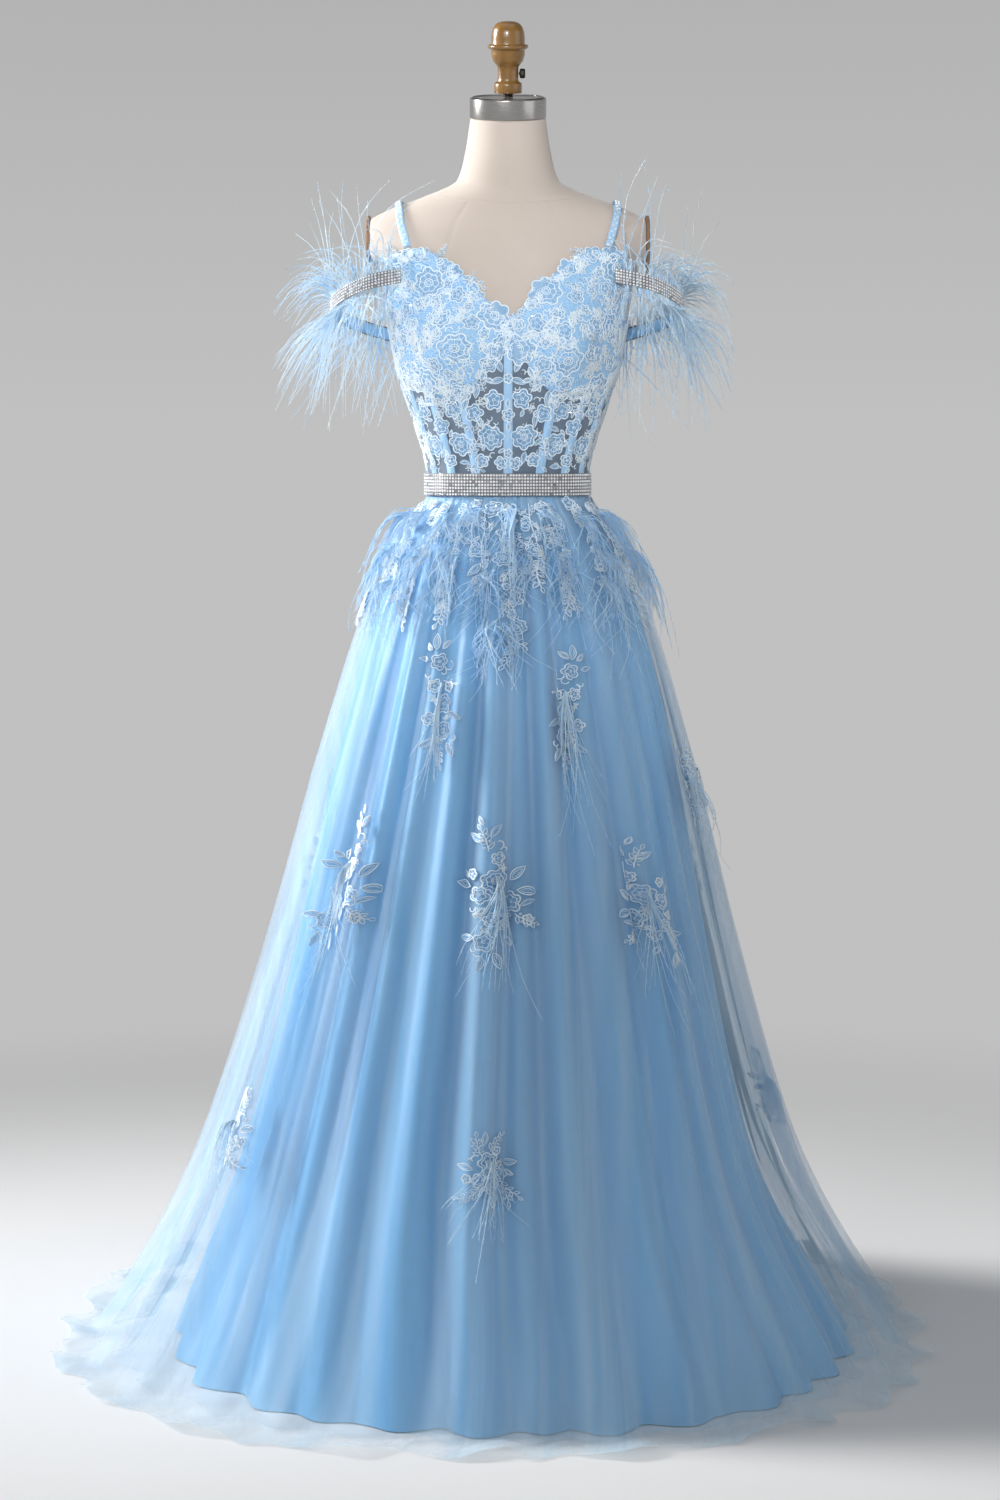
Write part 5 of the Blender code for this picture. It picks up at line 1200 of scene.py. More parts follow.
def add_stones(pile, centres, outs, radius, tones, small=False):
    """Cut stones, each with its flat foot at a point and its table facing out."""
    shape, tris = (SMALL_POINTS, SMALL_TRIS) if small else (STONE_POINTS, STONE_TRIS)
    centres, outs = np.reshape(centres, (-1, 3)), unit(np.reshape(outs, (-1, 3)))
    tones = np.ravel(tones)
    guide = np.where(np.abs(outs[:, 2:3]) > 0.9, [[0, 1.0, 0]], [[0, 0, 1.0]])
    side = unit(np.cross(guide, outs))
    up = np.cross(outs, side)
    radius = np.broadcast_to(radius, (len(centres),))[:, None, None]
    turn = rng.uniform(0, 0.25, len(centres))[:, None]
    c, s = np.cos(turn), np.sin(turn)
    x, y = shape[None, :, 0] * c - shape[None, :, 1] * s, shape[None, :, 0] * s + shape[None, :, 1] * c
    points = centres[:, None] + radius * (x[..., None] * side[:, None] + y[..., None] * up[:, None]
                                          + shape[None, :, 2:3] * outs[:, None])
    starts = np.arange(len(centres))[:, None, None] * len(shape)
    pile.add(points, tris=(tris[None] + starts).reshape(-1, 3), tone=np.repeat(tones, len(shape)))


# the stones' painted glints: how bright they are on average, and how much they differ
STONE_GLINT, STONE_GLINT_SPREAD = 0.68, 0.26
BELT_INSIDE, BELT_OUTSIDE = 5.8 * MM, 7.0 * MM  # over the form
BELT_ROWS, BELT_COLUMNS, BELT_STONE = 7, 147, 1.58 * MM
BELT_GAP, BELT_BACK_REACH = 6 * MM, 0.0813  # half its opening, and how far back it lies there


def painted_stone_glints(shape):
    return np.clip(rng.normal(STONE_GLINT, STONE_GLINT_SPREAD, shape), 0.05, 1)


def belt():
    """A narrow ribbon that carries seven rows of stones, open at the zip."""
    half = 180 - math.degrees(BELT_GAP / BELT_BACK_REACH)

    def at(angle, z, lift):
        level = np.stack([np.zeros_like(z), np.zeros_like(z), z - WAIST_Z], -1)
        return on_form(angle, np.full_like(angle, WAIST_Z), lift) + level

    z, angle = np.meshgrid(np.linspace(BELT_TOP_Z, BELT_BOTTOM_Z, 5), np.linspace(-half, half, 241),
                           indexing="ij")
    pile = Pile()
    add_wall(pile, at(angle, z, BELT_INSIDE), at(angle, z, BELT_OUTSIDE))
    made = pile.piece("belt_ribbon", FOIL, slot="rhinestones", stands_for=["belt"])
    heights = np.linspace(BELT_TOP_Z - 2.1 * MM, BELT_BOTTOM_Z + 2.1 * MM, BELT_ROWS)
    z, angle = np.meshgrid(heights, np.linspace(-half + 1.4, half - 1.4, BELT_COLUMNS), indexing="ij")
    pile = Pile()
    centres = at(angle, z, 6.9 * MM)
    outs = on_form(angle, np.full_like(z, WAIST_Z), 1.0) - on_form(angle, np.full_like(z, WAIST_Z), 0.0)
    outs[..., 2] = 0
    add_stones(pile, centres, outs, BELT_STONE, painted_stone_glints(z.shape))
    pile.piece("belt_stones", STONES, slot="rhinestones", stands_for=["belt"], smooth=False)


# turn round the shoulder, from the cup's edge in front to the back's, and how far out the strap lies there
STRAP_PATH = Smooth([(-34, 0.098), (0, 0.108), (45, 0.126), (90, 0.136), (130, 0.133), (158, 0.123)])
STRAP_START, STRAP_END, STRAP_PIVOT_Z = -34, 158, 1.360
STRAP_LIFT, STRAP_WALL = 3.4 * MM, 1.1 * MM


def straps(tree):
    for name, side in SIDES:
        turns = np.linspace(STRAP_START, STRAP_END, 70)
        offsets = np.linspace(-1, 1, 5) * 4.5 * MM
        points = np.zeros((len(turns), len(offsets), 3))
        outs = np.zeros_like(points)
        for i, turn in enumerate(turns):
            way = Vector((0, math.cos(math.radians(turn)), math.sin(math.radians(turn))))
            for j, across in enumerate(offsets):
                pivot = Vector((side * float(STRAP_PATH.at(turn)[0]) + across, 0, STRAP_PIVOT_Z))
                place, normal, _, _ = tree.ray_cast(pivot + way * 0.3, -way)
                points[i, j] = place
                outs[i, j] = normal if normal.dot(way) > 0 else -normal
        for _ in range(6):
            points[1:-1] = (points[:-2] + points[1:-1] * 2 + points[2:]) / 4
            outs[1:-1] = unit(outs[:-2] + outs[1:-1] * 2 + outs[2:])
        outs = unit(outs + outs.mean(1, keepdims=True))
        # the strap leaves the cup on its outside, so it stands off more there
        lift = (STRAP_LIFT + 2.0 * MM * (1 - smooth_step(-30, -12, turns)) + 0.4 * MM)[:, None, None]
        inner, outer = points + outs * lift, points + outs * (lift + STRAP_WALL)
        pile = Pile()
        add_wall(pile, inner, outer)
        pile.piece(f"strap_ribbon_{name}", RIBBON, slot="lace", stands_for=[f"strap_{name}"])
        pile = Pile()
        steps = np.linspace(0.5, len(turns) - 1.5, 66)
        for number, step in enumerate(steps):
            i, part = int(step), step - int(step)
            column = 1 if number % 2 else 3
            centre = outer[i, column] * (1 - part) + outer[i + 1, column] * part
            centre = centre * 0.75 + outer[i, 2] * 0.25
            # each strap stone gets a random painted glint
            add_stones(pile, centre, outs[i, column], 1.85 * MM, 0.5 + 0.5 * rng.random(), True)
        pile.piece(f"strap_stones_{name}", STONES, slot="rhinestones", stands_for=[f"strap_{name}"],
                   smooth=False)


BAND_MIDDLE = [(0.178, -0.072, 1.346), (0.211, -0.044, 1.331), (0.223, 0.004, 1.318), (0.210, 0.050, 1.306),
               (0.176, 0.082, 1.294)]
BAND_SEAT = {-1: 3.0 * MM, 1: 2.4 * MM}
BAND_WIDTH = 18 * MM
BAND_ROWS, BAND_PITCH, BAND_STONE = 5, 4.1 * MM, 1.45 * MM
BAND_START, BAND_END = (63.0, 1.358), (124.0, 1.279)  # angle and height on the cup and on the back


def smooth_through(points, part):
    """Points on a smooth curve through some points, at parts from 0 to 1."""
    points = np.asarray(points, float)
    place = np.clip(part, 0, 0.999999) * (len(points) - 1)
    index = place.astype(int)
    t = (place - index).reshape(index.shape + (1,) * (points.ndim - 1))
    before, after = points[np.maximum(index - 1, 0)], points[np.minimum(index + 2, len(points) - 1)]
    a, b = points[index], points[index + 1]
    return (a * (2 * t ** 3 - 3 * t ** 2 + 1) + b * (3 * t ** 2 - 2 * t ** 3)
            + (b - before) / 2 * (t ** 3 - 2 * t ** 2 + t) + (after - a) / 2 * (t ** 3 - t ** 2))


def band_line(side, part):
    """The middle of a shoulder band from front to back, and its outward direction."""
    start = on_form(*BAND_START, CUP_OUT + BAND_SEAT[side])
    end = on_form(*BAND_END, BACK_OUT + BAND_SEAT[side])
    points = [start] + list(BAND_MIDDLE) + [end]
    part = np.asarray(part, float)
    middle = smooth_through(points, part)
    ahead = smooth_through(points, part + 0.004) - smooth_through(points, part - 0.004)
    out = unit(np.stack([ahead[..., 1], -ahead[..., 0], np.zeros_like(part)], -1))
    mirror = np.array([side, 1, 1])
    return middle * mirror, out * mirror


def bands():
    for name, side in SIDES:
        part = np.linspace(0, 1, 90) if side > 0 else np.linspace(1, 0, 90)
        middle, out = band_line(side, part)
        level = np.linspace(0.5, -0.5, 5)[:, None, None] * np.array([0, 0, BAND_WIDTH])
        base = middle[None] + level
        pile = Pile()
        add_wall(pile, base - out * 1.0 * MM, base + out * 0.5 * MM)
        stands_for = [f"shoulder_band_{name}"]
        made = pile.piece(f"band_ribbon_{name}", FOIL, slot="rhinestones", stands_for=stands_for)
        length = np.sum(np.linalg.norm(np.diff(middle, axis=0), axis=-1))
        count = int(length / BAND_PITCH)
        middle, out = band_line(side, np.linspace(0.012, 0.988, count))
        heights = np.linspace(0.5, -0.5, BAND_ROWS) * (BAND_WIDTH - 3.4 * MM)
        centres = middle[None] + heights[:, None, None] * UP + out * 0.45 * MM
        pile = Pile()
        outs = np.broadcast_to(out, centres.shape)
        add_stones(pile, centres, outs, BAND_STONE, painted_stone_glints(centres.shape[:2]))
        pile.piece(f"band_stones_{name}", STONES, slot="rhinestones", stands_for=stands_for, smooth=False)


# ---------------------------------------------------------------- feathers
PLUME_TOP_Z = 1.44  # strands over this height are clear of the shoulders


def body_reach(points, room):
    """The distance from the stand's axis that a point needs to stay clear of the bodice and the form."""
    angle = np.degrees(np.arctan2(points[..., 0], -points[..., 1]))
    z = np.clip(points[..., 2], FORM_BASE_Z, NECK_TOP_Z)
    surface = form_at(angle, z)
    return np.hypot(surface[..., 0], surface[..., 1]) + room


def keep_clear(points, room):
    """Pushes points out of the bodice, level from the stand's axis."""
    reach = np.hypot(points[..., 0], points[..., 1])
    need = body_reach(points, room)
    grown = np.where(points[..., 2] < PLUME_TOP_Z, np.maximum(need / np.maximum(reach, 1e-6), 1), 1)
    return points * np.stack([grown, grown, np.ones_like(grown)], -1)


def add_feathers(pile, paths, spine, barb, steps, barbs, tones, limp, lean):
    """Ostrich strands: a thin spine with fine loose barbs on both sides. paths is (strands, points, 3)."""
    strands = len(paths)
    part = np.linspace(0, 1, steps)
    centre = smooth_through(np.moveaxis(paths, 1, 0), part)          # (steps, strands, 3)
    centre = np.moveaxis(centre.reshape(steps, strands, 3), 1, 0)
    ahead = unit(np.gradient(centre, axis=1))
    side = unit(np.cross(ahead, np.array([0.13, 0.21, 0.97])))
    other = np.cross(ahead, side)
    taper = (1 - part) * 0.85 + 0.15
    corners = np.radians([90, 210, 330])[None, None, :, None]
    ring = np.cos(corners) * side[:, :, None] + np.sin(corners) * other[:, :, None]
    points = centre[:, :, None] + ring * (spine * taper)[None, :, None, None]
    i = np.arange(steps - 1)[:, None]
    j = np.arange(3)[None]
    k = (j + 1) % 3
    quads = np.stack([i * 3 + j, i * 3 + k, (i + 1) * 3 + k, (i + 1) * 3 + j], -1).reshape(-1, 4)
    starts = np.arange(strands)[:, None, None] * steps * 3
    pile.add(points, (quads[None] + starts).reshape(-1, 4), tone=np.repeat(tones, steps * 3))
    place = rng.uniform(0.04, 1.0, (strands, barbs)) * (steps - 1)
    index = np.minimum(place.astype(int), steps - 2)
    t = (place - index)[..., None]
    row = np.arange(strands)[:, None]
    root = centre[row, index] * (1 - t) + centre[row, index + 1] * t
    along, left, up = ahead[row, index], side[row, index], other[row, index]
    roll = np.where(rng.random((strands, barbs)) < 0.5, 0, math.pi) + rng.normal(0, 0.75, (strands, barbs))
    lean = rng.uniform(0.25, 0.95, (strands, barbs)) * lean
    way = (np.cos(roll)[..., None] * left + np.sin(roll)[..., None] * up) * np.sin(lean)[..., None]
    way = way + along * np.cos(lean)[..., None]
    share = place / (steps - 1)
    full = 0.45 + 0.75 * np.sin(math.pi * np.clip(share * 0.86 + 0.1, 0, 1))
    size = barb * full * rng.uniform(0.6, 1.3, (strands, barbs))
    tip = root + way * size[..., None] - UP * (size * limp)[..., None]
    wide = along * (0.62 * MM)
    points = np.stack([root - wide, root + wide, tip], 2)
    tris = np.arange(strands * barbs * 3).reshape(-1, 3)
    tone = np.repeat(np.clip(tones[:, None] + rng.normal(0.08, 0.14, (strands, barbs)), 0, 1), 3)
    pile.add(points, tris=tris, tone=tone)


ARM_STRANDS = 380
UPPER_CHANCE, WISP_CHANCE = 0.40, 0.10  # for a strand to rise, and for one that rises to reach far up
PLUME_ROOM = 9 * MM  # between the plumes and the bodice or form
# least and most, for strands over the band, under it, and for the ones that reach far up: how steeply they
# rise in radians, how long they are in metres, and how far they droop as a part of their length
PLUME_LIFTS = ((0.15, 1.05), (-1.45, -0.25), (1.1, 1.5))
PLUME_LENGTHS = ((0.050, 0.095), (0.045, 0.112), (0.09, 0.145))
PLUME_DROOPS = ((0.35, 0.9), (0.10, 0.35), (-0.05, 0.2))


def plume_draw(pick, upper, wisp, ranges):
    """A value for each strand, from the range of its kind."""
    over, under, far = [pick.uniform(*span, len(upper)) for span in ranges]
    return np.where(wisp, far, np.where(upper, over, under))
PLUME_LIMITS = {-1: 0.302, 1: 0.287}  # how far out the plumes reach on each side


def arm_feathers():
    """Plumes that spring from a strip inside each band, over and under its edges."""
    count = ARM_STRANDS
    for name, side in SIDES:
        pick = np.random.default_rng(60 + side)
        part = pick.uniform(0.05, 0.95, count)
        middle, out = band_line(side, part)
        ahead = np.cross(out, UP)
        upper = pick.random(count) < UPPER_CHANCE
        edge = np.where(upper, 1.0, -1.0)
        root = middle - out * 2.6 * MM + UP * (edge * pick.uniform(7, 9.5, count) * MM)[:, None]
        knee = root + UP * (edge * 8 * MM)[:, None] + out * 2.5 * MM
        wisp = upper & (pick.random(count) < WISP_CHANCE)
        lift = plume_draw(pick, upper, wisp, PLUME_LIFTS)
        length = plume_draw(pick, upper, wisp, PLUME_LENGTHS)
        turn = pick.normal(0, 0.5, count)
        level = out * np.cos(turn)[:, None] + ahead * np.sin(turn)[:, None]
        way = level * np.cos(lift)[:, None] + UP * np.sin(lift)[:, None]
        droop = plume_draw(pick, upper, wisp, PLUME_DROOPS)
        sag = -UP * (length * droop)[:, None]
        curl = ahead * (length * pick.normal(0, 0.27, count))[:, None]
        points = [root, knee]
        for share in (0.3, 0.62, 1.0):
            arch = UP * (length * 0.08 * math.sin(math.pi * share))[:, None]
            reach = way * (length * share)[:, None]
            points.append(knee + reach + sag * share ** 2 + curl * share ** 2 + arch)
        paths = np.stack(points, 1)
        paths[:, 2:] = keep_clear(paths[:, 2:], PLUME_ROOM)
        over = np.maximum(np.abs(paths[..., 0]) - PLUME_LIMITS[side] + 0.02, 0)
        paths[..., 0] -= np.sign(paths[..., 0]) * (over - 0.02 * (1 - np.exp(-over / 0.02)))
        pile = Pile()
        tones = np.clip(pick.normal(0.64, 0.22, count), 0.05, 1)
        add_feathers(pile, paths, 0.95 * MM, 5.0 * MM, 11, 34, tones, 0.12, 0.62)
        strip = np.linspace(0.05, 0.95, 60) if side > 0 else np.linspace(0.95, 0.05, 60)
        middle, out = band_line(side, strip)
        level = np.linspace(0.5, -0.5, 4)[:, None, None] * np.array([0, 0, 0.014])
        add_wall(pile, middle[None] + level - out * 3.4 * MM, middle[None] + level - out * 1.5 * MM, 0.05)
        pile.piece(f"plumes_{name}", FEATHER, slot="feather", stands_for=[f"shoulder_feathers_{name}"])


Root = namedtuple("Root", "angle z length count")
HIP_TUFTS = [  # where each bunch of plumes is sewn, how long it hangs and its strands
    Root(-88, 1.052, 0.085, 15), Root(-64, 1.056, 0.080, 15), Root(-40, 1.054, 0.095, 15),
    Root(-22, 1.058, 0.075, 12), Root(0, 1.060, 0.090, 20), Root(24, 1.058, 0.070, 10),
    Root(48, 1.052, 0.090, 15), Root(72, 1.054, 0.095, 16), Root(96, 1.050, 0.090, 14),
    Root(-76, 1.012, 0.090, 15), Root(-50, 1.008, 0.100, 16), Root(-30, 1.004, 0.095, 14),
    Root(-11, 0.985, 0.085, 20), Root(7, 1.012, 0.090, 16), Root(29, 1.008, 0.100, 15),
    Root(56, 1.004, 0.110, 18), Root(80, 1.006, 0.110, 16), Root(-64, 0.972, 0.085, 10),
    Root(-4, 0.924, 0.085, 22), Root(46, 0.975, 0.105, 14), Root(-112, 1.050, 0.090, 14),
    Root(-136, 1.046, 0.100, 14), Root(-160, 1.050, 0.085, 12), Root(-124, 1.004, 0.095, 12),
    Root(-148, 0.998, 0.100, 12), Root(120, 1.050, 0.090, 14), Root(142, 1.046, 0.095, 14),
    Root(163, 1.050, 0.085, 12), Root(130, 1.002, 0.100, 12), Root(153, 0.996, 0.095, 12),
    Root(104, 1.006, 0.095, 12), Root(-100, 1.004, 0.095, 12),
]


def hip_feathers():
    """Bunches of plumes that fall over the hips, sewn down among the lace."""
    pile = Pile()
    for number, root in enumerate(HIP_TUFTS):
        tuft(pile, root.angle, root.z, root.length, int(root.count * 1.9), 300 + number, spread_turn=13.0,
             near=6.2, spring=17.0, loose=2.6, barb=6.4, tone=0.40)
    pile.piece("plumes_hip", FEATHER, slot="feather", stands_for=["hip_feathers"])


# ---------------------------------------------------------------- lace on the bodice
def near_bone(angle, z):
    """0 to 1: how far a point lies on a bone channel."""
    reach = 0.105
    found = np.zeros_like(np.asarray(angle, float))
    for bone in BONES:
        away = np.radians(turn_between(bone_angle(bone, z), angle)) * reach / (BONE_WIDTH * 0.62)
        found = np.maximum(found, 1 - smooth_step(0.75, 1.25, np.abs(away)))
    return found


def bodice_lace_at(angle, z, lift):
    """Just over whatever cloth is outermost on the bodice, and down on the linen past its neckline."""
    turn = np.abs(turn_between(0, angle))
    inside = smooth_step(-4.5 * MM, 1.5 * MM, neckline_z(angle) - z)
    cup = smooth_step(-2.5 * MM, 2.5 * MM, z - cup_seam_z(angle))
    side = smooth_step(SIDE_ANGLE - 2.5, SIDE_ANGLE + 2.5, turn)
    over_front = CORSET_OUT + cup * (CUP_OUT - CORSET_OUT) + (1 - cup) * near_bone(angle, z) * 2.1 * MM
    over_back = BACK_OUT + near_bone(angle, z) * 2.1 * MM
    over = over_front * (1 - side) + over_back * side
    base = (1 - inside) * 1.6 * MM + inside * (over - 0.1 * MM)
    return on_form(angle, z, base + lift)


Lace = namedtuple("Lace", "kind angle z turn size")
# the corset's larger flowers and sprigs on one side; the other side mirrors them
CORSET_LACE = [
    Lace("bloom", 10.5, 1.203, 12, 0.95), Lace("rosette", 13.0, 1.156, 20, 0.92),
    Lace("daisy", 6.5, 1.124, 0, 0.95), Lace("leaf", 2.5, 1.229, -12, 0.85),
    Lace("leaf", 5.0, 1.236, 58, 0.85), Lace("leaflet", 10, 1.225, 24, 1.0),
    Lace("bloom", 25.0, 1.186, 40, 0.86), Lace("daisy", 21.0, 1.128, 15, 1.0),
    Lace("blade", 20.0, 1.168, 72, 0.80), Lace("sprig", 17.0, 1.212, 62, 0.72),
    Lace("rosette", 37.0, 1.148, 5, 0.86), Lace("bloom", 39.0, 1.190, 33, 0.86),
    Lace("sprig", 30.0, 1.132, 96, 0.80), Lace("leaf", 29.0, 1.206, -64, 0.80),
    Lace("bloom", 50.0, 1.170, 10, 0.86), Lace("daisy", 48.0, 1.128, 0, 1.0),
    Lace("sprig", 44.0, 1.204, -74, 0.80), Lace("rosette", 60.0, 1.146, 0, 0.82),
    Lace("bloom", 62.0, 1.190, 50, 0.84), Lace("daisy", 54.0, 1.204, 20, 1.0),
    Lace("sprig", 70.0, 1.130, 84, 0.85), Lace("bloom", 73.0, 1.172, 22, 0.84),
    Lace("daisy", 73.0, 1.212, 0, 1.0), Lace("leaf", 66.0, 1.214, 40, 0.85),
]
CENTRE_LACE = [
    Lace("daisy", 0, 1.184, 0, 0.95), Lace("bud", 0, 1.229, 0, 1.1), Lace("leaflet", 0, 1.193, 90, 0.9),
    Lace("bloom", 0, 1.290, 30, 0.72), Lace("leaflet", 0, 1.175, -90, 0.9), Lace("bud", 0, 1.137, 0, 1.0),
]


def form_reach(angle, z):
    point = form_at(angle, z)
    return np.hypot(point[..., 0], point[..., 1])


# the least tone of the lace between its cords: how open its net is, and how dark its painted shade is there
CUP_GROUND, BODICE_GROUND, SKIRT_GROUND = 0.32, 0.28, 0.24
HIP_LIFT, MOTIF_LIFT = 3.6 * MM, 2.4 * MM  # over the tulle


def put_on_bodice(pile, kind, angle, z, turn, size, flip=False, lift=0.0, ground=BODICE_GROUND):
    put(pile, kind, angle, z, turn, size, float(form_reach(angle, z)), lift, flip, ground)


ROOMS = {"rosette": 33 * MM, "bloom": 23 * MM, "daisy": 14 * MM}
CORSET_ROOMS = {"rosette": 25, "bloom": 20, "daisy": 15}  # in millimetres


def scattered(inside, box, layers, seed, taken=()):
    """Patterns spread over a region. Each layer holds its kinds, their gap, least and most size, and tries.
    ROOMS says how wide a flower is, for the smaller patterns that are laid round it."""
    pick = np.random.default_rng(seed)
    points, rooms = [np.asarray(t[0]) for t in taken], [t[1] for t in taken]
    made = []
    low_angle, high_angle, low_z, high_z = box
    for kinds, gap, least, most, tries in layers:
        angles, heights = pick.uniform(low_angle, high_angle, tries), pick.uniform(low_z, high_z, tries)
        keep = inside(angles, heights)
        places = form_at(angles, heights)
        room, first = ROOMS.get(kinds[0], gap), len(points)
        for angle, z, place in zip(angles[keep], heights[keep], places[keep]):
            if points:
                away = np.linalg.norm(np.asarray(points) - place, axis=1)
                if np.any(away < (np.asarray(rooms) + room) / 2) or np.any(away[first:] < gap):
                    continue
            points.append(place)
            rooms.append(room)
            kind = kinds[pick.integers(len(kinds))]
            made.append((kind, angle, z, pick.uniform(0, 360), pick.uniform(least, most)))
    return made


FILLERS = ("filler1", "filler2", "filler3")
Layer = namedtuple("Layer", "kinds gap least most tries")
DENSE = [
    Layer(("rosette",), 60 * MM, 1.0, 1.15, 500), Layer(("bloom",), 34 * MM, 0.7, 0.9, 500),
    Layer(("daisy",), 24 * MM, 0.75, 0.95, 800),
    Layer(("leaf", "sprig", "twig", "scroll"), 12.5 * MM, 0.6, 0.85, 1600),
    Layer(FILLERS + ("curl",), 7.4 * MM, 0.75, 0.95, 7000),
]
LOOSE = [
    Layer(("bloom", "rosette"), 34 * MM, 0.8, 1.0, 500), Layer(("daisy", "leaf"), 23 * MM, 0.85, 1.05, 500),
    Layer(("leaf", "leaflet", "curl"), 14 * MM, 0.75, 1.0, 700),
    Layer(("bud",) + FILLERS, 13 * MM, 0.8, 1.05, 800),
]
GROUND = [
    Layer(("leaf", "sprig", "leaflet"), 9.5 * MM, 0.6, 0.8, 700),
    Layer(("curl", "leaflet", "curl"), 8 * MM, 0.7, 0.9, 900), Layer(FILLERS, 8.5 * MM, 0.6, 0.85, 900),
]
EDGE_KINDS = ["daisy", "leaf", "sprig", "bud", "leaflet", "bloom", "leaf", "twig", "curl", "daisy", "leaflet"]
SEAM_KINDS = ["bloom", "leaf", "daisy", "leaflet", "bud", "leaf"]
LACE_FOOT_Z = 1.117  # where the bodice's lace ends, just over the belt


def edge_lace(pile, start, end, pick, reach_out=1.0):
    """Sprigs, leaves and small flowers that stand past the neckline."""
    angle = start
    number = int(abs(start) * 3) % 7
    while angle < end:
        rise = float(neckline_z(angle + 2) - neckline_z(angle - 2))
        reach = float(form_reach(angle, neckline_z(angle)))
        slope = math.degrees(math.atan2(rise, math.radians(4) * reach))
        kind = EDGE_KINDS[number % len(EDGE_KINDS)]
        z = float(neckline_z(angle)) - (1.0 if kind in ("daisy", "bloom", "bud") else 3.0) * MM
        lean = slope + 90 + pick.uniform(-48, 48)
        size = pick.uniform(0.62, 0.88) * reach_out * (0.8 if kind in ("sprig", "leaf") else 1.0)
        put_on_bodice(pile, kind, angle, z, lean, size, pick.random() < 0.5, 0.2 * MM)
        angle += math.degrees(pick.uniform(6.5, 9.5) * MM / reach)
        number += 1


def cup_lace():
    """Close lace over the cups, past the neckline and over their lower seam."""
    for name, sign in SIDES:
        pick = np.random.default_rng(30 + sign)
        pile = Pile()
        low, high = (0.5, SIDE_ANGLE) if sign > 0 else (-SIDE_ANGLE, -0.5)

        def covered(angle, z):
            return (z < neckline_z(angle) - 1 * MM) & (z > cup_seam_z(angle) - 2 * MM)

        for item in scattered(covered, (low, high, 1.205, 1.385), DENSE, 50 + sign):
            put_on_bodice(pile, *item, flip=pick.random() < 0.5, lift=pick.uniform(0, 0.5) * MM,
                          ground=CUP_GROUND)
        edge_lace(pile, low, high, pick)
        angle = low  # petals and leaves that break the line of the cup's lower seam
        while angle < high:
            z = float(cup_seam_z(angle))
            kind = SEAM_KINDS[pick.integers(len(SEAM_KINDS))]
            put_on_bodice(pile, kind, angle, z, -90 + pick.uniform(-55, 55), pick.uniform(0.7, 0.95),
                          pick.random() < 0.5, 0.2 * MM)
            angle += math.degrees(pick.uniform(7, 11) * MM / 0.115)
        laid = pile.mapped(bodice_lace_at)
        made = laid.piece(f"cup_lace_{name}", LACE, slot="lace", stands_for=[f"cup_{name}"])


def corset_lace():
    """The same lace on both sides of the corset, thinner towards the middle."""
    pick = np.random.default_rng(77)
    pile = Pile()
    taken = []
    for item in CENTRE_LACE:
        put_on_bodice(pile, item.kind, item.angle, item.z, item.turn, item.size, lift=0.2 * MM)
        taken.append((form_at(item.angle, item.z), 14 * MM))
    for item in CORSET_LACE:
        for sign in (-1, 1):
            turn = item.turn + pick.uniform(-8, 8)
            angle, z = item.angle + pick.uniform(-0.8, 0.8), item.z + pick.uniform(-1, 1) * MM
            turn = turn if sign > 0 else 180 - turn
            put_on_bodice(pile, item.kind, sign * angle, z, turn, item.size, sign < 0,
                          pick.uniform(0, 0.3) * MM)
            taken.append((form_at(sign * angle, z), CORSET_ROOMS.get(item.kind, 11) * MM))

    def covered(angle, z):
        inside = (z < cup_seam_z(angle) - 2 * MM) & (z > LACE_FOOT_Z) & (np.abs(angle) > 4)
        return inside & (pick.random(len(angle)) < 0.42 + smooth_step(12, 60, np.abs(angle)))

    for item in scattered(covered, (-80, 80, 1.115, 1.24), GROUND, 78, taken):
        put_on_bodice(pile, *item, flip=pick.random() < 0.5)
    made = pile.mapped(bodice_lace_at).piece("corset_lace", LACE, slot="lace", stands_for=["corset_front"])


def back_lace():
    """Open lace on each side of the zip."""
    for name, low, high in (("right", 80.0, 178.4), ("left", 181.6, 280.0)):
        pick = np.random.default_rng(int(low))
        pile = Pile()

        def covered(angle, z):
            return (z < neckline_z(angle) - 2 * MM) & (z > LACE_FOOT_Z)

        for item in scattered(covered, (low + 1, high - 1, 1.115, 1.345), LOOSE, int(low) + 5):
            put_on_bodice(pile, *item, flip=pick.random() < 0.5)
        edge_lace(pile, low + 1, high - 4, pick, 0.85)
        laid = pile.mapped(bodice_lace_at)
        made = laid.piece(f"back_lace_{name}", LACE, slot="lace", stands_for=[f"back_{name}"])


CRYSTALS_ON_BODICE, CRYSTALS_ON_HIPS = 130, 70  # before the ones past the neckline are left out


def crystals():
    """Small stones sewn here and there on the lace."""
    pick = np.random.default_rng(9)
    angle = pick.uniform(-79, 79, CRYSTALS_ON_BODICE)
    z = pick.uniform(1.12, 1.375, CRYSTALS_ON_BODICE)
    keep = (z < neckline_z(angle) - 4 * MM) & (np.abs(angle) > 4)
    angle, z = angle[keep], z[keep]
    pile = Pile()
    centres = bodice_lace_at(angle, z, 0.9 * MM)
    # a random tone picks each crystal's painted glint
    add_stones(pile, centres, centres - bodice_lace_at(angle, z, 0.0), 1.15 * MM, pick.random(len(z)), True)
    hip = pick.uniform(-176, 176, CRYSTALS_ON_HIPS)
    level = pick.uniform(0.97, 1.07, CRYSTALS_ON_HIPS)
    centres = on_tulle(hip, level, 5.6 * MM)
    add_stones(pile, centres, centres - on_tulle(hip, level, 0.0), 1.1 * MM, pick.random(len(hip)), True)
    pile.piece("lace_crystals", CRYSTALS, slot="rhinestones", smooth=False)


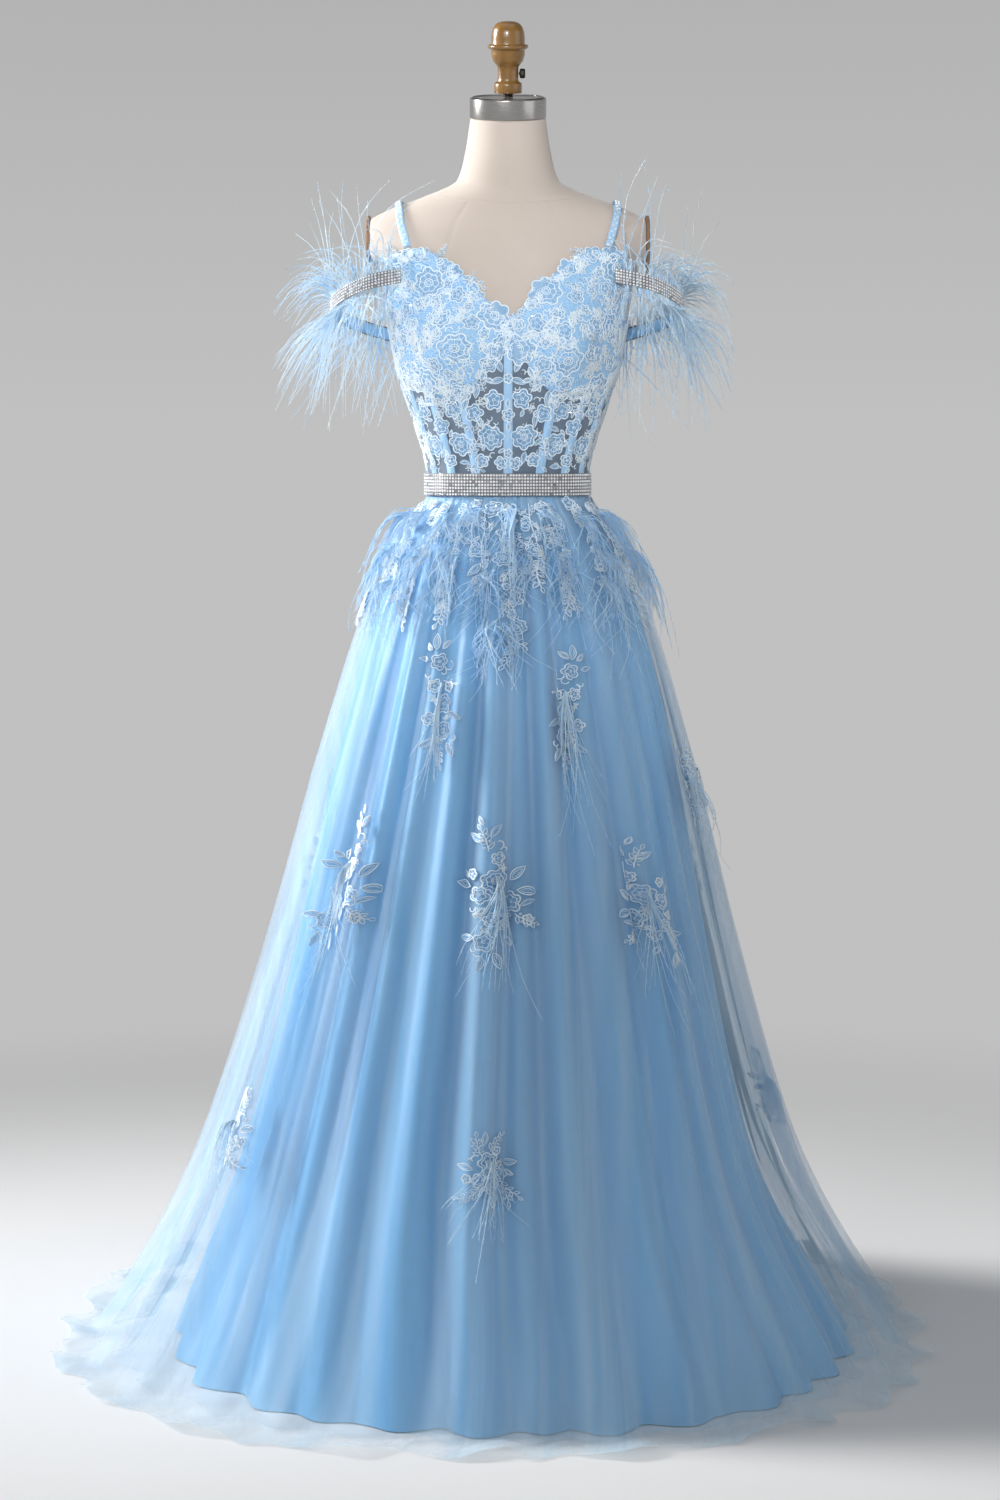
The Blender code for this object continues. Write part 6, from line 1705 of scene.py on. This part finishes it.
# ---------------------------------------------------------------- lace on the skirt
Branch = namedtuple("Branch", "angle width length")
HIP_BRANCHES = [
    Branch(-164, 7, 0.090), Branch(-140, 9, 0.130), Branch(-116, 8, 0.080), Branch(-93, 9, 0.120),
    Branch(-70, 7, 0.075), Branch(-50, 8, 0.120), Branch(-31, 7, 0.115), Branch(-15, 5, 0.080),
    Branch(1, 9, 0.165), Branch(15, 5, 0.070), Branch(30, 7, 0.105), Branch(50, 8, 0.085),
    Branch(70, 7, 0.110), Branch(93, 9, 0.080), Branch(116, 8, 0.125), Branch(140, 8, 0.080),
    Branch(164, 7, 0.105),
]
HIP_TOP_Z = 1.0790


def tulle_reach(angle, z):
    point = calm_tulle(angle, tulle_row(z))
    return np.hypot(point[..., 0], point[..., 1])


def put_on_skirt(pile, kind, angle, z, turn, size, flip=False, lift=0.0):
    put(pile, kind, angle, z, turn, size, float(tulle_reach(angle, z)), lift, flip, SKIRT_GROUND)


def hip_lace_at(angle, z, lift):
    return on_tulle(angle, z, HIP_LIFT + lift)


HIP_END = 174.0  # the angle where the hip lace ends, on both sides of the zip
HIP_KINDS = ["daisy", "leaf", "bud", "bloom", "leaflet", "curl", "daisy", "leaf"]
BRANCH_FLOWERS = ["bloom", "daisy", "rosette", "daisy", "bud"]
BRANCH_LEAVES = ["leaf", "leaflet", "sprig", "twig", "scroll"]


def waist_lace(pile, pick):
    """A row of patterns just under the belt."""
    angle = -HIP_END
    number = 0
    while angle < HIP_END:
        kind = HIP_KINDS[number % len(HIP_KINDS)]
        z = HIP_TOP_Z - pick.uniform(5, 11) * MM
        put_on_skirt(pile, kind, angle, z, -90 + pick.uniform(-50, 50), pick.uniform(0.62, 0.85),
                     pick.random() < 0.5)
        angle += math.degrees(pick.uniform(26, 42) * MM / float(tulle_reach(angle, z)))
        number += 1


def branch_lace(pile, pick, number, branch):
    """One branch: a swinging stem with flowers and leaves on both sides, and a sprig at its tip."""
    top, foot = HIP_TOP_Z - 8 * MM, HIP_TOP_Z - 0.018 - branch.length
    heights = np.linspace(top, foot, 24)
    swing = branch.width * 0.16 * np.sin(np.linspace(0, 2.4 * math.pi, 24) + number)
    reach = float(tulle_reach(branch.angle, (top + foot) / 2))
    put_path(pile, branch.angle + swing, heights, reach, 1.1, 0.8)
    place, step = top - 7 * MM, 0
    while place > foot + 4 * MM:
        part = (top - place) / (top - foot)
        middle = branch.angle + float(np.interp(-place, -heights, swing))
        reach = float(tulle_reach(branch.angle, place))
        side = 1 if (step + number) % 2 else -1
        wide = math.degrees(pick.uniform(3, 7) * MM / reach) * (1.1 - 0.5 * part)
        kind = BRANCH_FLOWERS[(step + number) % len(BRANCH_FLOWERS)]
        size = pick.uniform(0.62, 0.86) * (1.0 if kind != "rosette" else 0.72)
        put_on_skirt(pile, kind, middle + side * wide, place, pick.uniform(0, 360), size, lift=0.3 * MM)
        leaf = BRANCH_LEAVES[(step * 2 + number) % len(BRANCH_LEAVES)]
        size = pick.uniform(0.62, 0.85)
        turn = -90 - side * pick.uniform(25, 75)
        put_on_skirt(pile, leaf, middle - side * wide * 0.5, place, turn, size, side < 0)
        if step % 2:
            put_on_skirt(pile, FILLERS[step % 3], middle - side * wide * 1.3, place - 5 * MM,
                         pick.uniform(0, 360), 0.6)
        place -= pick.uniform(14.0, 19.0) * MM * (1 if abs(branch.angle) < 100 else 1.35)
        step += 1
    for kind, turn, size in (("sprig", -90, 0.9), ("leaf", -125, 0.7), ("leaf", -58, 0.7)):
        turn = turn + pick.uniform(-10, 10)
        put_on_skirt(pile, kind, branch.angle + swing[-1], foot + 6 * MM, turn, size, number % 2 == 0)


def hip_lace():
    """Lace that hangs from the waist in branches."""
    pick = np.random.default_rng(12)
    pile = Pile()
    waist_lace(pile, pick)
    for number, branch in enumerate(HIP_BRANCHES):
        branch_lace(pile, pick, number, branch)
    made = pile.mapped(hip_lace_at).piece("hip_lace_branches", LACE, slot="lace", stands_for=["hip_lace"])


Motif = namedtuple("Motif", "angle z height width rise tuft length spray flip")
MOTIFS = [  # spray: the pattern laid there. tuft: strands in its feather tuft, and how long they are
    Motif(-3, 0.606, 0.200, 0.100, 0.012, 24, 0.150, "cluster", False),
    Motif(40, 0.586, 0.180, 0.084, 0.015, 22, 0.150, "cluster", True),
    Motif(-46, 0.613, 0.200, 0.090, -0.012, 20, 0.150, "cluster", False),
    Motif(-60, 0.300, 0.150, 0.100, -0.010, 16, 0.090, "posy", False),
    Motif(-2, 0.290, 0.120, 0.100, 0.014, 22, 0.110, "posy", True),
    Motif(-26, 0.835, 0.170, 0.062, 0.010, 26, 0.130, "vine", False),
    Motif(23, 0.826, 0.160, 0.062, -0.010, 28, 0.155, "vine", True),
    Motif(73, 0.720, 0.130, 0.070, 0.012, 20, 0.120, "posy", False),
    Motif(128, 0.600, 0.190, 0.100, 0.014, 22, 0.150, "cluster", True),
    Motif(-120, 0.610, 0.190, 0.100, -0.014, 22, 0.150, "cluster", False),
    Motif(106, 0.300, 0.150, 0.100, 0.010, 16, 0.100, "posy", True),
    Motif(-168, 0.330, 0.150, 0.110, -0.010, 18, 0.110, "posy", False),
]
Spot = namedtuple("Spot", "kind x y turn size")  # x and y in millimetres from the motif's middle
SPRAYS = {
    "cluster": [
        Spot("rosette", 3, 16, 10, 0.80), Spot("bloom", -14, 2, 60, 0.80),
        Spot("bloom", 21, -12, 25, 0.90), Spot("bloom", -15, -50, 10, 0.85),
        Spot("daisy", 9, 40, 0, 0.85), Spot("daisy", -6, -27, 20, 0.90), Spot("daisy", 9, -36, 0, 0.85),
        Spot("bud", -20, 26, 0, 1.1), Spot("bud", 36, -34, 0, 1.1), Spot("sprig", 0, 50, 98, 0.85),
        Spot("leaf", -3, 62, 158, 0.90), Spot("leaf", 4, 66, 52, 0.80),
        Spot("leaflet", -2, 80, 118, 0.90), Spot("curl", 12, 50, 15, 1.10),
        Spot("leaf", -24, 12, 166, 1.00), Spot("leaflet", -26, 22, 138, 0.90),
        Spot("leaf", 24, 12, 46, 1.05), Spot("leaf", 30, 0, -8, 1.10), Spot("sprig", 24, -26, -38, 0.85),
        Spot("leaf", -24, -44, 188, 0.90), Spot("leaf", -8, -64, -66, 1.00),
        Spot("leaf", -18, -66, -104, 0.80), Spot("curl", -22, -58, -150, 0.90),
        Spot("leaflet", 10, -50, -58, 1.00), Spot("filler1", 8, -4, 0, 0.70),
        Spot("filler2", 12, -26, 40, 0.70), Spot("filler3", -16, -18, 80, 0.75),
        Spot("filler1", 14, 28, 20, 0.60), Spot("filler2", -12, -38, 0, 0.60),
        Spot("scroll", -18, -10, -120, 0.80), Spot("blade", 30, -18, 20, 0.70),
    ],
    "vine": [
        Spot("leaf", 0, 56, 96, 0.85), Spot("leaflet", -5, 56, 142, 1.00),
        Spot("leaflet", 6, 56, 48, 1.00), Spot("leaf", -10, 46, 172, 0.70), Spot("bloom", 2, 42, 0, 0.72),
        Spot("scroll", 8, 36, -70, 0.85), Spot("curl", -6, 28, 205, 1.00), Spot("daisy", -4, 16, 0, 0.85),
        Spot("bud", 13, 12, 0, 1.10), Spot("twig", 6, 20, -20, 0.80), Spot("bloom", 5, -6, 20, 0.82),
        Spot("daisy", -11, -20, 30, 0.85), Spot("leaf", 12, -16, -28, 0.75),
        Spot("rosette", 3, -36, 0, 0.66), Spot("leaf", -9, -42, -140, 0.75),
        Spot("curl", 12, -46, -50, 0.80), Spot("leaf", 8, -50, -58, 0.80),
        Spot("sprig", -1, -52, -94, 0.72), Spot("filler1", -6, 2, 0, 0.55),
        Spot("filler2", 8, -22, 50, 0.55), Spot("filler3", -2, -46, 0, 0.50),
    ],
    "posy": [
        Spot("bloom", 0, 12, 0, 0.95), Spot("bloom", -14, -8, 30, 0.82), Spot("daisy", 14, -6, 0, 0.95),
        Spot("daisy", 0, -20, 20, 0.85), Spot("sprig", 6, 22, 62, 0.82), Spot("sprig", -4, 24, 122, 0.80),
        Spot("leaf", -20, 6, 172, 0.90), Spot("leaf", 18, 8, 16, 0.90), Spot("spray", 10, -16, -42, 0.72),
        Spot("sprig", -14, -18, -128, 0.85), Spot("leaf", -2, -26, -86, 0.90),
        Spot("leaflet", -22, -4, 202, 1.00), Spot("bud", 26, -2, 0, 1.00), Spot("bud", -12, 22, 0, 1.00),
        Spot("curl", 16, 18, 40, 0.90), Spot("filler1", -4, -6, 0, 0.62),
        Spot("filler2", 10, -18, 30, 0.60), Spot("filler3", -14, 6, 0, 0.55),
        Spot("leaf", 2, 34, 92, 0.80), Spot("twig", -20, -26, -160, 0.90),
    ],
}
SPRAY_HEIGHTS = {"cluster": 0.185, "vine": 0.150, "posy": 0.125}


def motif_lace_at(angle, z, lift):
    return on_tulle(angle, z, MOTIF_LIFT + lift)


def motifs():
    """Sprays of lace laid on the tulle, each with a tuft of feathers."""
    for number, motif in enumerate(MOTIFS, 1):
        pile = Pile()
        scale = motif.height / SPRAY_HEIGHTS[motif.spray] * 0.96
        reach = float(tulle_reach(motif.angle, motif.z))
        for spot in SPRAYS[motif.spray]:
            x, y = spot.x * scale * MM, spot.y * scale * MM
            turn = spot.turn
            if motif.flip:
                x, turn = -x, 180 - turn
            x, y = turned_by([(x, y)], math.degrees(math.atan2(motif.rise, motif.width / 2)) * 0.6)[0]
            put_on_skirt(pile, spot.kind, motif.angle + math.degrees(x / reach), motif.z + y, turn,
                         spot.size * min(scale, 1.08), motif.flip, 0.3 * MM * (number % 2))
        made = pile.mapped(motif_lace_at).piece(f"motif_lace_{number}", LACE, slot="lace",
                                                stands_for=[f"lace_motif_{number}"])
        pile = Pile()
        tuft(pile, motif.angle + (-1 if motif.flip else 1) * 0.4, motif.z + 0.10 * motif.height, motif.length,
             motif.tuft, 100 + number, 5.5)
        pile.piece(f"motif_tuft_{number}", FEATHER, slot="feather", stands_for=[f"lace_motif_{number}"])


# how far along a strand, and its part of the spring there
TUFT_SPRING = ((0.12, 0.8), (0.4, 1.0), (0.72, 0.85), (1.0, 0.75))


def tuft(pile, angle, z, length, count, seed, spread_turn, near=4.5, spring=12.0, loose=0.25, barb=5.2,
         tone=0.6):
    """A bundle of strands bound at its root, which fans out as it hangs on the skirt. near, spring and barb
    are in millimetres: how close to the tulle it lies, how far it springs out and how long its barbs are."""
    pick = np.random.default_rng(seed)
    sway = pick.normal(0, spread_turn * 0.6, count)
    long = pick.random(count) < 0.20
    reach = length * pick.uniform(0.45, 0.9, count) * np.where(long, 1.4, 1.0)
    spring = pick.uniform(0.2, 1.0, count) * spring * MM * np.where(long, 1.5, 1.0)
    curl = pick.normal(0, 1.0, count) * np.where(long, 4.5, 1.6)
    angle = angle + pick.normal(0, loose, count)
    z = z + pick.normal(0, 1.0 + loose, count) * MM
    points = [on_tulle(angle, z, (near + 0.5) * MM)]
    for share, lift in TUFT_SPRING:
        place = angle + sway * share ** 1.2 + curl * share ** 2.6
        down = z - reach * share * np.cos(np.radians(sway) * 0.8)
        points.append(on_tulle(place, down, near * MM + spring * lift))
    tones = np.clip(pick.normal(tone, 0.2, count), 0.05, 1)
    add_feathers(pile, np.stack(points, 1), 0.85 * MM, barb * MM, 10, 30, tones, 0.08, 0.55)


# ---------------------------------------------------------------- back zip
ZIP_PITCH = 1.5 * MM
ZIP_TAPES = [(-1.1, -1.5, -3.5, -4.0), (4.0, 3.5, 1.5, 1.1)]  # places across each tape, in millimetres
ZIP_HINGE = np.array([0.0, 0.1122, 1.2575])  # the middle of the pull's pin
# outlines that turn round the pin, in millimetres from it and along it: the slider's ears and the pull's eye
ZIP_EAR = [(0, 1.45), (0.75, 1.45), (0.95, 1.6), (0.95, 2.2), (0.75, 2.35), (0, 2.35)]
ZIP_EYE = [(0, -1.25), (0.45, -1.25), (0.58, -1.1), (0.58, 1.1), (0.45, 1.25), (0, 1.25)]
# the slider's section: how far out from its back, and how wide there, both as parts of the whole
SLIDER_RINGS = [(0, 0.0), (0, 0.86), (0.08, 0.97), (0.30, 1.0), (0.36, 0.74), (0.60, 0.74), (0.66, 1.0),
                (0.88, 0.98), (1.0, 0.86), (1.0, 0.0)]


def zip_tapes():
    """Two woven tapes with a row of teeth between them, laid on the tape of the CAD."""
    low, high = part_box("zip_tape")
    seat = BVHTree.FromPolygons([tuple(v.co) for v in bpy.data.objects["zip_tape"].data.vertices],
                                [tuple(p.vertices) for p in bpy.data.objects["zip_tape"].data.polygons])
    heights = np.linspace(high[2] - 0.2 * MM, low[2] + 0.2 * MM, 110)
    face = np.array([seat.ray_cast(Vector((0, 0.5, z)), Vector((0, -1, 0)))[0].y for z in heights])

    def depth(z):
        return np.interp(-np.asarray(z, float), -heights, face)

    pile = Pile()
    for columns in ZIP_TAPES:
        x, z = np.meshgrid(np.array(columns) * MM, heights)
        lift = np.broadcast_to(np.where(np.abs(np.array(columns)) > 3.8, -0.25, 0.0) * MM, x.shape)
        add_wall(pile, np.stack([x, depth(z) - 0.85 * MM, z], -1), np.stack([x, depth(z) + lift, z], -1), 0.6)
    for side in (-3.0, 3.0):
        for start in np.arange(low[2] + 2 * MM, high[2] - 3 * MM, 3.4 * MM):
            across = (side + np.array([0.25, 0, -0.25])) * MM
            z, x = np.meshgrid(np.linspace(start + 2.2 * MM, start, 3), across, indexing="ij")
            rise = np.array([[0, 0.15, 0], [0, 0.3, 0], [0, 0.15, 0]]) * MM
            pile.add(np.stack([x, depth(z) + rise, z], -1), grid_faces(3, 3), tone=1.0)
    pile.piece("zip_tapes", RIBBON, slot="zip_tape", stands_for=["zip_tape"])
    pile = Pile()
    places = np.arange(low[2] + 1.2 * MM, high[2] - 1.2 * MM, ZIP_PITCH)
    for number, z in enumerate(places):
        side = 0.45 if number % 2 else -0.45
        x = np.array([0.95, 0.75, 0.0, -0.75, -0.95]) * MM + side * MM
        y = depth(z) + np.array([-0.45, 0.0, 0.12, 0.0, -0.45]) * MM
        upper, lower = z + 0.45 * MM, z - 0.45 * MM
        edge = 0.15 * MM
        rows = [(y - edge, upper + edge), (y, upper), (y, lower), (y - edge, lower - edge)]
        rim = np.stack([np.column_stack([x, out, np.full(5, level)]) for out, level in rows])
        pile.add(rim, grid_faces(4, 5))
    pile.piece("zip_teeth", ZIP_METAL, slot="zip_metal", stands_for=["zip_tape"])


def zip_slider():
    """The slider, with two ears that hold the pull's pin."""
    low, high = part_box("zip_slider")
    turn = full_turn(36)
    half_wide, half_tall, middle = (high[0] - low[0]) / 2, (high[2] - low[2]) / 2, (high[2] + low[2]) / 2
    edge_z = np.sign(np.sin(turn)) * np.abs(np.sin(turn)) ** 0.7
    edge_x = -np.sign(np.cos(turn)) * np.abs(np.cos(turn)) ** 0.7 * (0.82 + 0.18 * edge_z)
    thick = high[1] - low[1]
    rings = []
    for part, scale in SLIDER_RINGS:
        rings.append(np.column_stack([edge_x * half_wide * scale, np.full(36, low[1] + thick * part),
                                      middle + edge_z * half_tall * scale]))
    pile = Pile()
    pile.add(np.stack(rings), grid_faces(len(rings), 36, True))
    for side in (-1, 1):
        ear = [(radius * MM, side * along * MM) for radius, along in ZIP_EAR]
        add_lathe(pile, ear[::side], ZIP_HINGE, RIGHT, BACK, UP, 16)
    pile.piece("zip_slider_body", ZIP_METAL, slot="zip_metal", stands_for=["zip_slider"])


def zip_pull():
    """A drop with a hole in it, on a tab and an eye."""
    low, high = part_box("zip_pull")
    pile = Pile()
    turn = full_turn(44)

    def drop(wide, top, foot):
        x = -np.cos(turn) * wide * (1 - 0.30 * (0.5 + 0.5 * np.sin(turn)))
        return np.column_stack([x, (top + foot) / 2 + np.sin(turn) * (top - foot) / 2])

    outer = drop(2.5 * MM, high[2] - 2.6 * MM, low[2])
    inner = drop(1.25 * MM, high[2] - 6.5 * MM, low[2] + 3.0 * MM)
    middle = (low[1] + high[1]) / 2
    # each loop's outline, its size as a part of that, and how far out it is in millimetres
    rings = [(outer, 1.0, 0.0), (outer, 0.965, 0.5), (inner, 1.10, 0.5), (inner, 1.0, 0.0),
             (inner, 1.10, -0.5), (outer, 0.965, -0.5), (outer, 1.0, 0.0)]
    loops = []
    for loop, scale, out in rings:
        centre = loop.mean(0)
        flat = centre + (loop - centre) * scale
        loops.append(np.column_stack([flat[:, 0], np.full(44, middle + out * MM), flat[:, 1]]))
    pile.add(np.stack(loops), grid_faces(len(loops), 44, True))
    add_lathe(pile, in_metres(ZIP_EYE), ZIP_HINGE, RIGHT, BACK, UP, 16)
    x, part = np.meshgrid(np.array([-0.8, 0, 0.8]) * MM, np.linspace(0, 1, 4))
    z = high[2] - 0.2 * MM - part * 3.2 * MM
    add_wall(pile, np.stack([-x, np.full_like(x, middle - 0.4 * MM), z], -1),
             np.stack([-x, middle + np.where(x == 0, 0.5, 0.4) * MM, z], -1))
    pile.piece("zip_pull_tab", ZIP_METAL, slot="zip_metal", body="zip_pull", stands_for=["zip_pull"])


# ---------------------------------------------------------------- stage, lights and camera
FLOOR_Z = -0.8 * MM
FLOOR_RINGS = [STAGE_REACH, 6.0, 3.0, 1.5, 0.7, 0.01]


def stage():
    """A round floor and backdrop, beyond any camera that goes round the object."""
    turn = full_turn(96)
    rim = np.column_stack([np.sin(turn), -np.cos(turn)])
    paint = stage_paint()
    for name, outline in (("studio_floor", [(reach, FLOOR_Z) for reach in FLOOR_RINGS]),
                          ("studio_wall", [(STAGE_REACH, WALL_TOP), (STAGE_REACH, FLOOR_Z)])):
        points = np.stack([np.column_stack([rim * reach, np.full(len(turn), z)]) for reach, z in outline])
        mesh = bpy.data.meshes.new(name)
        faces = grid_faces(len(outline), len(turn), True).tolist()
        mesh.from_pydata([tuple(p) for p in points.reshape(-1, 3)], [], faces)
        mesh.polygons.foreach_set("use_smooth", [True] * len(mesh.polygons))
        mesh.materials.append(paint)
        made = bpy.data.objects.new(name, mesh)
        bpy.context.scene.collection.objects.link(made)
        made.visible_diffuse = name == "studio_floor"  # the glowing wall throws no light on the gown


Light = namedtuple("Light", "name place aim size power colour spread")
LIGHTS = [  # power in watts, spread in degrees
    Light("key", (-3.65, 0.75, 2.5), (0, 0, 0.8), (1.3, 1.8), 47, (1.0, 0.985, 0.97), 72),
    Light("front", (-1.6, -4.0, 2.3), (0, 0, 0.9), (1.4, 1.6), 6.5, (1.0, 0.99, 0.98), 100),
    Light("bodice", (-0.5, -3.6, 2.3), (0.03, 0, 1.50), (0.7, 0.7), 1.8, (1.0, 0.99, 0.99), 24),
    Light("fill", (3.2, -1.4, 1.9), (0, 0, 0.9), (2.2, 2.4), 13, (0.99, 0.99, 1.0), 180),
    Light("top", (0, -0.6, 4.2), (0, 0, 0.4), (3.0, 2.6), 16, (1.0, 1.0, 1.0), 180),
]
WORLD_COLOUR, WORLD_STRENGTH = (0.93, 0.96, 1.0, 1), 0.20


def lights():
    """Area lights that no camera sees, and a faint even light from all round."""
    for light in LIGHTS:
        data = bpy.data.lights.new(light.name, "AREA")
        data.shape = "RECTANGLE"
        data.size, data.size_y = light.size
        data.energy = light.power
        data.color = light.colour
        data.spread = math.radians(light.spread)
        made = bpy.data.objects.new(light.name, data)
        made.location = light.place
        made.rotation_euler = (Vector(light.aim) - Vector(light.place)).to_track_quat("-Z", "Y").to_euler()
        made.visible_camera = False
        bpy.context.scene.collection.objects.link(made)
    world = bpy.data.worlds.new("studio")
    world.use_nodes = True
    background = world.node_tree.nodes["Background"]
    background.inputs["Color"].default_value = WORLD_COLOUR
    background.inputs["Strength"].default_value = WORLD_STRENGTH
    bpy.context.scene.world = world
    bpy.context.scene.view_settings.view_transform = "Standard"


SENSOR, LENS = 36.0, 81.2  # in millimetres
CAMERA_PLACE, CAMERA_DROP = (-0.010, -4.3, 1.15), 5.2  # metres, and degrees down from level


def camera():
    data = bpy.data.cameras.new("camera")
    data.sensor_fit = "AUTO"
    data.sensor_width = SENSOR
    data.lens = LENS
    data.clip_end = 40
    made = bpy.data.objects.new("camera", data)
    made.location = CAMERA_PLACE
    made.rotation_euler = (math.radians(90 - CAMERA_DROP), 0, 0)
    bpy.context.scene.collection.objects.link(made)
    bpy.context.scene.camera = made


# ---------------------------------------------------------------- the whole
form_tree = torso()
neck_fittings()
stand()
arm_plates()
skirts()
bodice()
bones()
belt()
straps(form_tree)
bands()
cup_lace()
corset_lace()
back_lace()
crystals()
hip_lace()
motifs()
zip_tapes()
zip_slider()
zip_pull()
arm_feathers()
hip_feathers()
stage()
lights()
camera()
